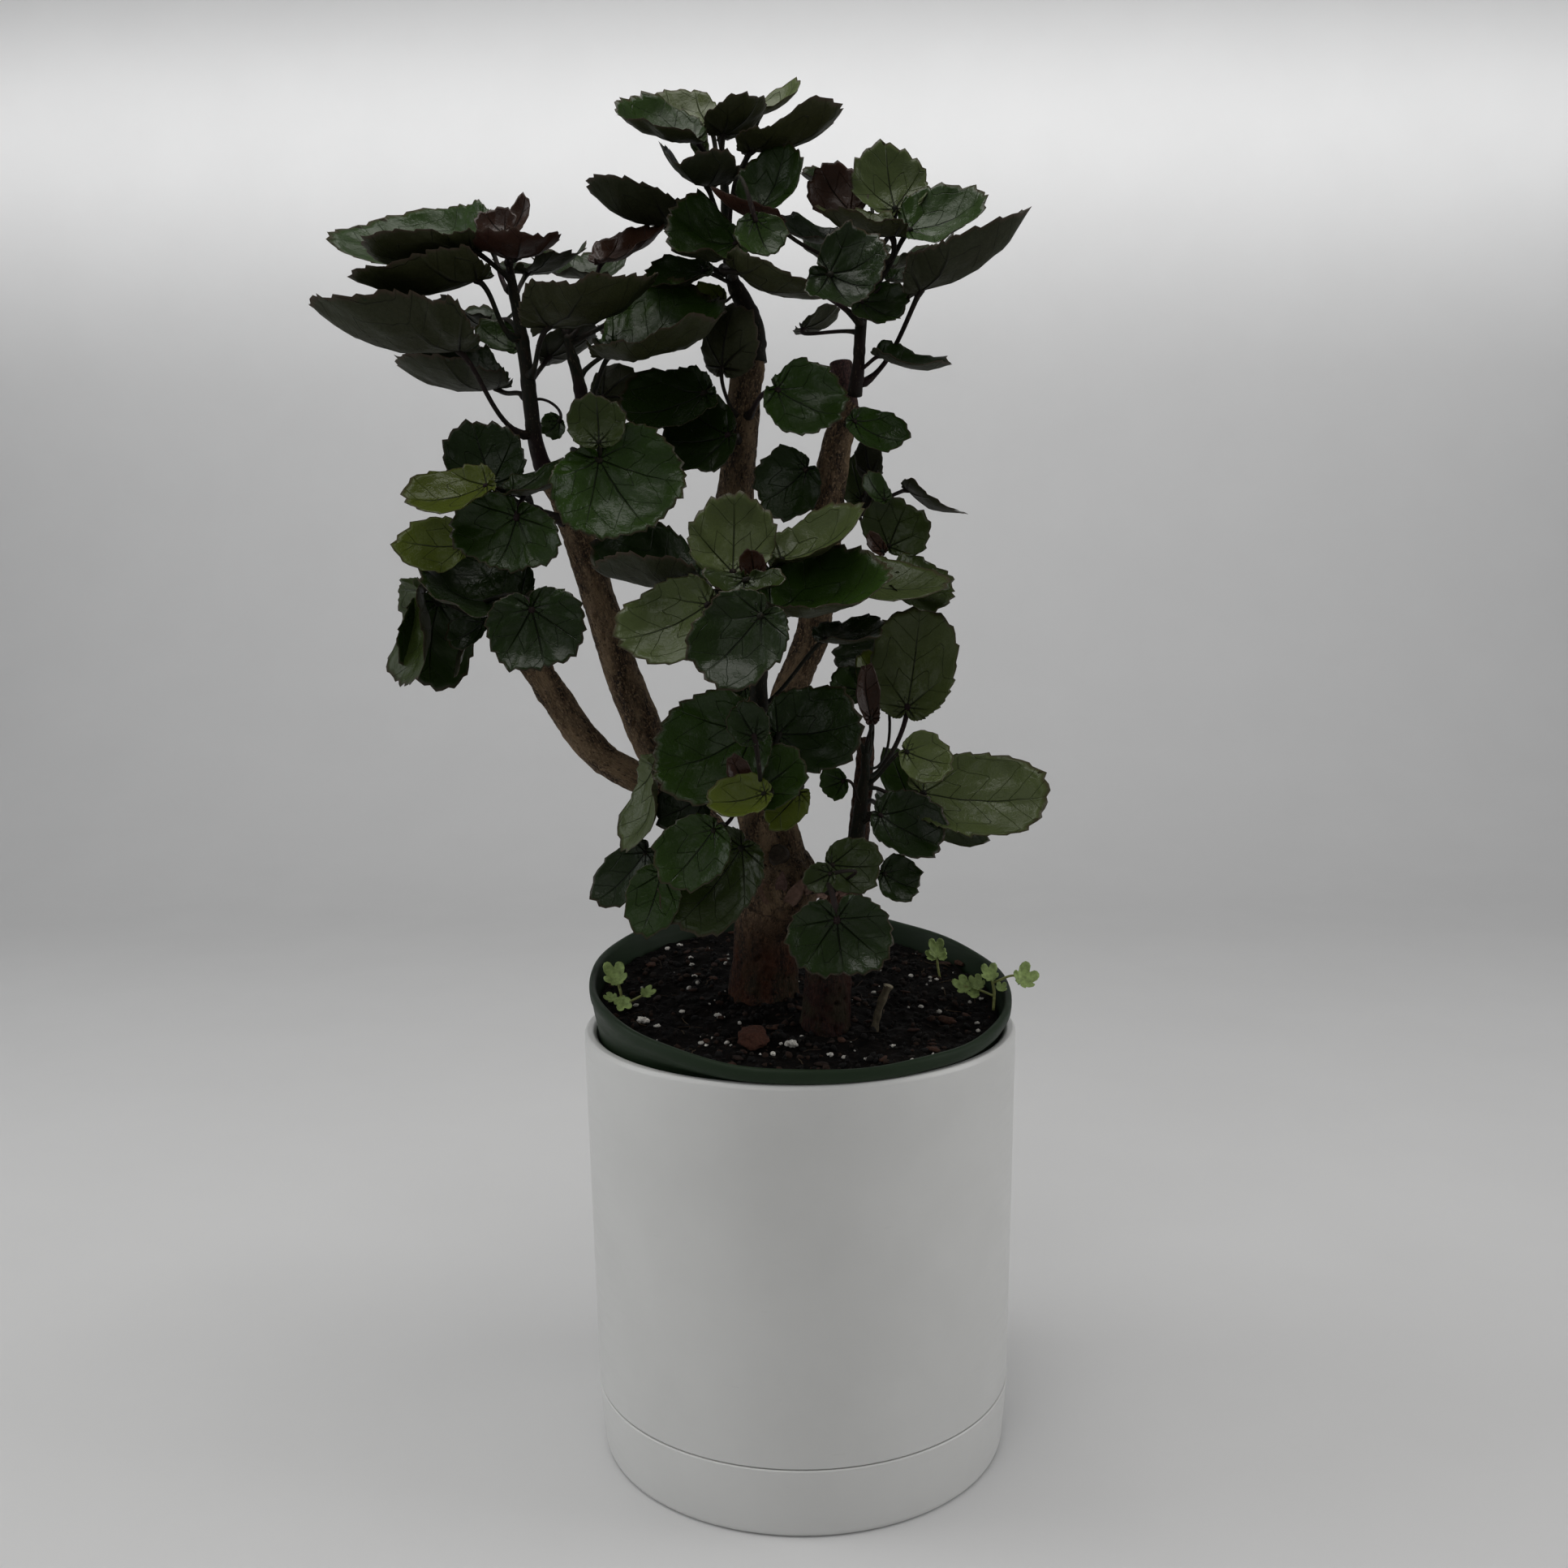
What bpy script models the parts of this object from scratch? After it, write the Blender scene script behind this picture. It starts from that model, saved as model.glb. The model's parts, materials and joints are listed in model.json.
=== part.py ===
"""Potted aralia: a multi-stemmed, round-leaved aralia in a soft green grower pot that
stands tilted inside a white cylindrical planter on its matching drainage saucer.

Metres, +Z up, origin on the floor at the planter's axis, -Y is the plant's front.

The pots are turned or lofted from rings. The plant is laid out on a perspective front
elevation, 1932 units square: a row gives a place on that sheet (u to the right, v down)
and its depth behind the planter's axis in millimetres, and at() turns it into a point.
Leaves, petioles, green stems and woody canes all take their places from those rows.
"""
import math

import bpy
from mathutils import Vector
from mathutils.bvhtree import BVHTree

for old in list(bpy.data.objects):
    bpy.data.objects.remove(old, do_unlink=True)

MM = 0.001

# ---------------------------------------------------------------- driving dimensions (mm)
SAUCER_R_FOOT = 81.3
SAUCER_R_RIM = 83.5
SAUCER_H = 27.0
SAUCER_WALL = 3.6
SAUCER_FLOOR = 4.0
PLANTER_R_RIM = 86.0
PLANTER_R_SEAM = 81.7
PLANTER_H = 170.0
PLANTER_SEAM_Z = 27.4
PLANTER_R_INNER_RIM = 81.2
PLANTER_R_INNER_LOW = 76.6
PLANTER_FOOT_R = 78.6
PLANTER_FOOT_Z = 4.3
PLANTER_FLOOR_Z = 9.0
DRAIN_HOLE_R = 5.0
POT_RIM_R = 84.0
POT_WAIST_R = 80.5
POT_BASE_R = 56.0
POT_BASE_Z = 9.6
POT_RIM_CENTRE = (0.2, -1.7, 187.8)
POT_TILT_X = -0.0465
POT_TILT_Y = 0.149
POT_BASE_SHIFT = (-4.0, 10.0)
SOIL_BELOW_RIM = 8.0
GAP = 0.35
PETIOLE_R = 0.95
BLADE_T = 1.0
STUMPS = ((-14.7, 0.0, 13.4), (9.6, -29.5, 9.2))

# ---------------------------------------------------------------- the elevation sheet
SHEET = 1860.0
EYE = Vector((0.0, -594.2, 332.2))
PITCH, YAW, ROLL = 0.1111, -0.0089, -0.0108
AHEAD = Vector((math.sin(YAW) * math.cos(PITCH), math.cos(YAW) * math.cos(PITCH), -math.sin(PITCH)))
_RIGHT = Vector((math.cos(YAW), -math.sin(YAW), 0.0))
_UP = _RIGHT.cross(AHEAD)
RIGHT = _RIGHT * math.cos(ROLL) + _UP * math.sin(ROLL)
UP = _UP * math.cos(ROLL) - _RIGHT * math.sin(ROLL)


def at(u, v, depth):
    """The point of the frame (mm) at u, v on the sheet and depth mm behind the axis."""
    ray = AHEAD * SHEET + RIGHT * (u - 966.0) + UP * (966.0 - v)
    return EYE + ray * ((depth - EYE.y) / ray.y)


def rim_z(x, y, below=0.0):
    return POT_RIM_CENTRE[2] + POT_TILT_X * (x - POT_RIM_CENTRE[0]) + POT_TILT_Y * (y - POT_RIM_CENTRE[1]) - below


# ---------------------------------------------------------------- mesh helpers
def make_object(name, verts, faces, colour, rough=0.5, metal=0.0):
    mesh = bpy.data.meshes.new(name)
    mesh.from_pydata([tuple(c * MM for c in p) for p in verts], [], faces)
    mesh.validate()
    mesh.update()
    obj = bpy.data.objects.new(name, mesh)
    bpy.context.scene.collection.objects.link(obj)
    paint(obj, colour, rough, metal)
    return obj


def paint(obj, colour, rough=0.5, metal=0.0):
    mat = bpy.data.materials.new(obj.name)
    mat.use_nodes = True
    shader = mat.node_tree.nodes["Principled BSDF"]
    shader.inputs["Base Color"].default_value = (*colour, 1.0)
    shader.inputs["Roughness"].default_value = rough
    shader.inputs["Metallic"].default_value = metal
    obj.data.materials.clear()
    obj.data.materials.append(mat)


def ring_loft(rings, closed=False):
    """Faces between rings of points, all of one count; closed joins the last to the first."""
    count = len(rings[0])
    verts = [p for ring in rings for p in ring]
    faces = []
    spans = len(rings) if closed else len(rings) - 1
    for r in range(spans):
        a, b = r * count, ((r + 1) % len(rings)) * count
        for i in range(count):
            j = (i + 1) % count
            faces.append((a + i, a + j, b + j, b + i))
    if not closed:
        faces.append(tuple(reversed(range(count))))
        faces.append(tuple((len(rings) - 1) * count + i for i in range(count)))
    return verts, faces


def turned(profile, segments=64, through=False):
    """A solid turned about Z from (r, z) points, up the outside first; through leaves its middle open."""
    rings = []
    for radius, z in profile:
        rings.append([(radius * math.cos(2 * math.pi * i / segments), radius * math.sin(2 * math.pi * i / segments), z) for i in range(segments)])
    return ring_loft(rings, through)


def smooth_path(points, times):
    """A Catmull-Rom curve through rows of any number of values, with times points a span."""
    out = []
    last = len(points) - 1
    for i in range(last):
        p0, p1, p2, p3 = points[max(i - 1, 0)], points[i], points[i + 1], points[min(i + 2, last)]
        for k in range(times):
            t = k / times
            out.append([
                0.5 * (2 * b + (c - a) * t + (2 * a - 5 * b + 4 * c - d) * t * t + (3 * b - a - 3 * c + d) * t ** 3)
                for a, b, c, d in zip(p0, p1, p2, p3)
            ])
    out.append(list(points[last]))
    return out


def tube(points, radii, sides, swell=None):
    """A tapered tube with flat ends along points; swell(k, angle) may scale its radius."""
    count = len(points)
    tangents = []
    for k in range(count):
        step = points[min(k + 1, count - 1)] - points[max(k - 1, 0)]
        tangents.append(step.normalized())
    side = tangents[0].orthogonal().normalized()
    rings = []
    for k in range(count):
        side = (side - tangents[k] * side.dot(tangents[k])).normalized()
        other = tangents[k].cross(side)
        ring = []
        for i in range(sides):
            angle = 2 * math.pi * i / sides
            radius = radii[k] * (swell(k, angle) if swell else 1.0)
            ring.append(points[k] + (side * math.cos(angle) + other * math.sin(angle)) * radius)
        rings.append(ring)
    return ring_loft(rings)


def bodies(mesh):
    """How many loose bodies a mesh has."""
    parent = list(range(len(mesh.vertices)))

    def root(i):
        while parent[i] != i:
            parent[i] = parent[parent[i]]
            i = parent[i]
        return i

    for edge in mesh.edges:
        a, b = root(edge.vertices[0]), root(edge.vertices[1])
        if a != b:
            parent[a] = b
    return len({root(i) for i in range(len(mesh.vertices))})


def closed(mesh):
    """True where every edge has exactly two faces."""
    uses = {}
    for poly in mesh.polygons:
        for key in poly.edge_keys:
            uses[key] = uses.get(key, 0) + 1
    return all(n == 2 for n in uses.values()) and len(uses) == len(mesh.edges)


def volume_of(mesh):
    mesh.calc_loop_triangles()
    co = [v.co for v in mesh.vertices]
    return sum(co[t.vertices[0]].dot(co[t.vertices[1]].cross(co[t.vertices[2]])) for t in mesh.loop_triangles) / 6.0


def welds_clean(mesh):
    """True where no two edges share a place once points 0.0002 mm apart are one."""
    places, where = {}, []
    for v in mesh.vertices:
        key = tuple(round(c / 2e-7) for c in v.co)
        where.append(places.setdefault(key, v.index))
    uses = {}
    for poly in mesh.polygons:
        for a, b in poly.edge_keys:
            key = tuple(sorted((where[a], where[b])))
            uses[key] = uses.get(key, 0) + 1
    return all(n == 2 for n in uses.values())


def union_once(obj, others, solver, through):
    group = bpy.data.collections.new("join")
    for other in others:
        group.objects.link(other)
    cut = obj.modifiers.new("join", "BOOLEAN")
    cut.operation = "UNION"
    cut.solver = solver
    cut.operand_type = "COLLECTION"
    cut.collection = group
    if through:
        cut.use_self = True
    bpy.context.view_layer.update()
    graph = bpy.context.evaluated_depsgraph_get()
    mesh = bpy.data.meshes.new_from_object(obj.evaluated_get(graph))
    obj.modifiers.clear()
    bpy.data.collections.remove(group)
    return mesh


def fuse(obj, others):
    """Joins others to obj, all at once where that leaves one clean closed body."""
    before = volume_of(obj.data)
    left = list(others)
    while left:
        good = None
        for solver, through in (("EXACT", True), ("EXACT", False), ("MANIFOLD", False)):
            mesh = union_once(obj, left, solver, through)
            if bodies(mesh) == 1 and closed(mesh) and welds_clean(mesh) and volume_of(mesh) > before:
                good = mesh
                break
        if good:
            obj.data = good
            break
        left.pop()
    for other in others:
        bpy.data.objects.remove(other, do_unlink=True)


def carve(obj, others):
    for other in others:
        other.hide_render = True
        other.display_type = "WIRE"
        cut = obj.modifiers.new("cut", "BOOLEAN")
        cut.operation = "DIFFERENCE"
        cut.solver = "EXACT"
        cut.object = other


# ---------------------------------------------------------------- saucer and planter
WHITE = (0.62, 0.62, 0.60)
verts, faces = turned([
    (SAUCER_R_FOOT - 2.2, 0.0), (SAUCER_R_FOOT - 0.7, 0.5), (SAUCER_R_FOOT, 2.0),
    (SAUCER_R_RIM, SAUCER_H - 1.0), (SAUCER_R_RIM - 0.5, SAUCER_H), (SAUCER_R_RIM - SAUCER_WALL + 0.6, SAUCER_H),
    (SAUCER_R_RIM - SAUCER_WALL, SAUCER_H - 0.8), (SAUCER_R_FOOT - SAUCER_WALL + 1.2, SAUCER_FLOOR + 1.6), (SAUCER_R_FOOT - SAUCER_WALL - 0.6, SAUCER_FLOOR),
], 36)
saucer = make_object("drainage_saucer", verts, faces, WHITE, 0.4)

verts, faces = turned([
    (DRAIN_HOLE_R, PLANTER_FOOT_Z), (PLANTER_FOOT_R - 3.0, PLANTER_FOOT_Z), (PLANTER_FOOT_R - 0.6, PLANTER_FOOT_Z + 0.6),
    (PLANTER_FOOT_R, PLANTER_SEAM_Z - 1.0), (PLANTER_FOOT_R + 0.4, PLANTER_SEAM_Z), (PLANTER_R_SEAM - 0.5, PLANTER_SEAM_Z),
    (PLANTER_R_SEAM, PLANTER_SEAM_Z + 0.8), (PLANTER_R_RIM, PLANTER_H - 1.4), (PLANTER_R_RIM - 0.9, PLANTER_H),
    (PLANTER_R_INNER_RIM + 1.4, PLANTER_H), (PLANTER_R_INNER_RIM, PLANTER_H - 1.2),
    (PLANTER_R_INNER_LOW, PLANTER_SEAM_Z + 4.0), (PLANTER_FOOT_R - 4.4, PLANTER_FLOOR_Z), (DRAIN_HOLE_R, PLANTER_FLOOR_Z),
], 36, True)
planter = make_object("white_planter", verts, faces, WHITE, 0.4)

# ---------------------------------------------------------------- grower pot and its mix
POT_SEGMENTS = 36


def level_ring(radius, z, centre=(0.0, 0.0)):
    return [(centre[0] + radius * math.cos(2 * math.pi * i / POT_SEGMENTS), centre[1] + radius * math.sin(2 * math.pi * i / POT_SEGMENTS), z) for i in range(POT_SEGMENTS)]


def rim_ring(radius, below):
    """A ring in the tilted rim's own plane; the soft rim is a little out of true."""
    ring = []
    for i in range(POT_SEGMENTS):
        angle = 2 * math.pi * i / POT_SEGMENTS
        wave = 1.0 + 0.004 * math.sin(3 * angle + 0.6)
        x = POT_RIM_CENTRE[0] + radius * wave * math.cos(angle)
        y = POT_RIM_CENTRE[1] + radius * wave * math.sin(angle)
        ring.append((x, y, rim_z(x, y, below)))
    return ring


verts, faces = ring_loft([
    level_ring(POT_BASE_R - 1.0, POT_BASE_Z, POT_BASE_SHIFT), level_ring(POT_BASE_R, POT_BASE_Z + 1.0, POT_BASE_SHIFT),
    level_ring(POT_WAIST_R, PLANTER_H + 0.4), rim_ring(POT_RIM_R - 0.5, 2.4), rim_ring(POT_RIM_R, 1.4), rim_ring(POT_RIM_R - 0.3, 0.2),
    rim_ring(POT_RIM_R - 1.2, 0.0), rim_ring(POT_RIM_R - 2.2, 0.5), rim_ring(POT_RIM_R - 3.1, 3.6),
    level_ring(POT_WAIST_R - 1.9, PLANTER_H - 2.4), level_ring(POT_BASE_R - 1.8, POT_BASE_Z + 2.0, POT_BASE_SHIFT),
])
grower_pot = make_object("grower_pot", verts, faces, (0.035, 0.075, 0.05), 0.42)


def soil_z(x, y):
    """The mix lies level with the rim, heaped a little round the stumps."""
    heap = sum(2.2 * math.exp(-((x - sx) ** 2 + (y - sy) ** 2) / (2 * (sr + 9.0) ** 2)) for sx, sy, sr in STUMPS)
    lumps = 0.5 * math.sin(0.19 * x + 0.7) * math.cos(0.23 * y) + 0.35 * math.sin(0.41 * x - 0.33 * y)
    return rim_z(x, y, SOIL_BELOW_RIM) + heap * 0.6 + lumps


rings = [level_ring(POT_BASE_R - 2.4, POT_BASE_Z + 2.0 + GAP, POT_BASE_SHIFT), level_ring(POT_WAIST_R - 2.4, PLANTER_H - 2.8)]
for part in (1.0, 0.86, 0.66, 0.46, 0.26, 0.1):
    ring = []
    for i in range(POT_SEGMENTS):
        angle = 2 * math.pi * i / POT_SEGMENTS
        x = POT_RIM_CENTRE[0] * 0 + 78.0 * part * math.cos(angle)
        y = -0.6 + 78.0 * part * math.sin(angle)
        ring.append((x, y, soil_z(x, y)))
    rings.append(ring)
verts, faces = ring_loft(rings)
potting_mix = make_object("potting_mix", verts, faces, (0.03, 0.02, 0.015), 0.95)
sockets = []
for k, (sx, sy, sr) in enumerate(STUMPS):
    rings = []
    for z in (150.0 - GAP, 215.0):
        rings.append([(sx + (sr + GAP) * math.cos(2 * math.pi * i / 14), sy + (sr + GAP) * math.sin(2 * math.pi * i / 14), z) for i in range(14)])
    socket_verts, socket_faces = ring_loft(rings)
    sockets.append(make_object(f"socket_cutter_{k}", socket_verts, socket_faces, WHITE))
carve(potting_mix, sockets)

# ---------------------------------------------------------------- woody canes
# Rows are u, v, depth, radius (mm).
BARK = (0.16, 0.10, 0.06)
WOOD_LEFT = {
    "trunk": [(945, 1168, -3, 13.2), (946, 1135, -6, 13.4), (956, 1105, -10, 15.2), (962, 1078, -12, 14.6), (952, 1050, -12, 9.5), (944, 1034, -12, 6.5)],
    "cane_centre": [(958, 1090, -8, 8.5), (940, 1048, -8, 7.6), (928, 1005, -6, 6.3), (925, 950, 0, 6.0), (920, 870, 6, 6.3), (908, 785, 9, 6.8), (902, 700, 10, 7.1), (906, 610, 10, 7.3), (911, 560, 10, 6.9), (916, 500, 10, 6.6), (921, 458, 10, 6.5), (926, 440, 10, 5.6)],
    "cane_right": [(972, 1090, -16, 8.5), (968, 1045, -18, 7.0), (955, 985, -18, 6.2), (952, 925, -18, 6.1), (964, 872, -15, 6.2), (984, 825, -12, 6.4), (1001, 780, -10, 6.6), (1013, 700, -7, 6.4), (1021, 620, -4, 6.2), (1028, 560, -2, 6.0), (1040, 515, 0, 5.2), (1048, 496, 0, 5.6)],
    "cut_stub": [(1045, 512, 0, 4.6), (1040, 485, 4, 4.6), (1036, 449, 8, 4.4)],
    "cane_front": [(952, 1082, -18, 7.0), (938, 1035, -26, 6.2), (932, 985, -34, 5.5), (934, 930, -39, 5.2), (936, 896, -41, 4.4)],
    "cane_low_left": [(940, 1112, -2, 9.0), (898, 1068, 3, 7.8), (852, 1012, 4, 6.9), (805, 968, 1, 6.4), (775, 953, -2, 6.2), (745, 935, -4, 6.1), (712, 900, -6, 6.0), (685, 860, -9, 5.9), (655, 815, -13, 5.6), (626, 782, -16, 4.4), (608, 767, -18, 3.4)],
    "cane_high_left": [(930, 1085, 4, 8.0), (878, 1030, 10, 7.4), (835, 975, 15, 7.1), (812, 935, 17, 7.2), (795, 900, 17, 7.3), (775, 850, 15, 7.2), (760, 810, 13, 7.1), (745, 760, 11, 6.9), (724, 695, 8, 6.6), (709, 650, 5, 6.3), (692, 612, 0, 5.2), (678, 593, -3, 4.2)],
}
WOOD_RIGHT = {
    "stump": [(1020, 1216, -31, 9.0), (1022, 1170, -31, 8.3), (1032, 1115, -30, 7.2), (1045, 1075, -28, 6.2), (1051, 1058, -27, 4.6)],
    "old_cane": [(1042, 1092, -26, 5.2), (1056, 1040, -14, 4.4), (1062, 985, -8, 3.9), (1066, 940, -6, 3.6), (1066, 908, -6, 3.2)],
}


def grown(rows, sides, times, name, colour, base=None, rough=0.85, lumps=0.05):
    path = smooth_path(rows, times)
    points = [at(u, v, d) for u, v, d, _ in path]
    radii = [r for *_, r in path]
    if base:
        sx, sy, sr = base
        points = [Vector((sx, sy, 150.0)), Vector((sx, sy, rim_z(sx, sy, SOIL_BELOW_RIM) + 4.0))] + points
        radii = [sr, sr] + radii

    def swell(k, angle):
        if base and k < 2:
            return 1.0
        return 1.0 + lumps * math.sin(2 * angle + 0.9 * k) + 0.5 * lumps * math.sin(3 * angle - 1.7 * k)

    tube_verts, tube_faces = tube(points, radii, sides, swell)
    return make_object(name, tube_verts, tube_faces, colour, rough), points, radii


def stump_base(obj, sx, sy, sr):
    """The stump's buried end: a straight plug that fills its socket in the mix."""
    rings = []
    for z in (150.0, rim_z(sx, sy, SOIL_BELOW_RIM) + 6.0):
        rings.append([(sx + sr * math.cos(2 * math.pi * i / 14), sy + sr * math.sin(2 * math.pi * i / 14), z) for i in range(14)])
    plug_verts, plug_faces = ring_loft(rings)
    return make_object("plug", plug_verts, plug_faces, BARK)


solid_paths = []
pieces = []
for name, rows in WOOD_LEFT.items():
    obj, points, radii = grown(rows, 10 if name == "trunk" else 8, 1, name, BARK)
    pieces.append(obj)
    solid_paths.append((name, points, radii))
sx, sy, sr = STUMPS[0]
top = at(945, 1168, -3)
flare_points = [Vector((sx, sy, rim_z(sx, sy, SOIL_BELOW_RIM) + 3.0)), Vector((sx + 0.5, sy - 1.0, 189.0)), top, at(946, 1140, -6)]
flare_verts, flare_faces = tube(flare_points, [12.9, 12.6, 12.4, 11.5], 12)
flare = make_object("flare", flare_verts, flare_faces, BARK)
wood_left = pieces[0]
fuse(wood_left, [flare, stump_base(wood_left, *STUMPS[0])] + pieces[1:])
wood_left.name = "woody_trunk_and_canes"
paint(wood_left, BARK, 0.85)

pieces = []
for name, rows in WOOD_RIGHT.items():
    obj, points, radii = grown(rows, 8, 1, name, BARK)
    pieces.append(obj)
    solid_paths.append((name, points, radii))
sx, sy, sr = STUMPS[1]
flare_points = [Vector((sx, sy, rim_z(sx, sy, SOIL_BELOW_RIM) + 3.0)), at(1020, 1216, -31), at(1021, 1190, -31)]
flare_verts, flare_faces = tube(flare_points, [8.9, 8.8, 8.0], 10)
flare = make_object("flare", flare_verts, flare_faces, BARK)
wood_right = pieces[0]
fuse(wood_right, [flare, stump_base(wood_right, *STUMPS[1])] + pieces[1:])
wood_right.name = "woody_side_stump"
paint(wood_right, (0.17, 0.08, 0.05), 0.85)

# ---------------------------------------------------------------- green shoots
GREEN = (0.012, 0.018, 0.012)
SHOOTS = {
    "left_crown": [(671, 582, -5, 3.2), (660, 545, -8, 3.0), (654, 500, -10, 2.8), (648, 450, -12, 2.6), (641, 405, -12, 2.3), (632, 355, -12, 1.8), (626, 318, -12, 1.2)],
    "left_inner": [(725, 596, 3, 2.6), (723, 560, 2, 2.6), (718, 500, 0, 2.6), (712, 465, 0, 2.4), (704, 435, 0, 1.9), (699, 415, 0, 1.4)],
    "centre_crown": [(929, 432, 10, 4.6), (927, 400, 10, 4.3), (914, 368, 10, 3.5), (902, 343, 10, 2.7), (897, 300, 10, 2.2), (894, 250, 10, 1.8), (891, 205, 10, 1.4), (889, 178, 10, 0.9)],
    "right_crown": [(1055, 472, -5, 2.7), (1058, 448, -8, 2.3), (1060, 410, -6, 2.2), (1064, 370, -3, 1.9), (1070, 330, 0, 1.5), (1077, 300, 0, 1.1)],
    "low_left": [(689, 640, -3, 2.1), (672, 634, -12, 1.9), (650, 632, -18, 1.5)],
    "far_left": [(601, 764, -19, 2.4), (592, 760, -20, 2.0), (584, 757, -21, 1.4)],
    "right_middle": [(1047, 634, -3, 2.2), (1060, 630, -5, 2.0), (1070, 618, -7, 1.6), (1074, 596, -7, 1.2)],
    "front": [(936, 888, -42, 3.4), (935, 850, -44, 3.2), (936, 800, -45, 2.9), (936, 755, -46, 2.5), (931, 722, -47, 1.9), (926, 704, -47, 1.3)],
    "right_low": [(1053, 1052, -28, 3.0), (1058, 1015, -30, 2.7), (1062, 980, -32, 2.3), (1066, 955, -33, 1.9), (1066, 930, -33, 1.3)],
    "left_low": [(907, 1044, -20, 2.3), (890, 1032, -30, 2.0), (874, 1020, -36, 1.5)],
    "front_fork": [(919, 962, -42, 2.1), (912, 954, -47, 1.8), (905, 942, -50, 1.2)],
    "front_low": [(1001, 1094, -29, 2.2), (1016, 1094, -38, 1.9), (1030, 1094, -44, 1.4)],
}
STEM_LINES = {}
for name, rows in SHOOTS.items():
    STEM_LINES[name] = smooth_path(rows, 4)
STEM_LINES["cane_centre"] = smooth_path(WOOD_LEFT["cane_centre"], 4)
STEM_LINES["cane_right"] = smooth_path(WOOD_LEFT["cane_right"], 4)
STEM_LINES["cut_stub"] = smooth_path(WOOD_LEFT["cut_stub"], 4)
STEM_LINES["cane_high_left"] = smooth_path(WOOD_LEFT["cane_high_left"], 4)
STEM_LINES["cane_front"] = smooth_path(WOOD_LEFT["cane_front"], 4)
STEM_LINES["trunk"] = smooth_path(WOOD_LEFT["trunk"], 4)

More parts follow.
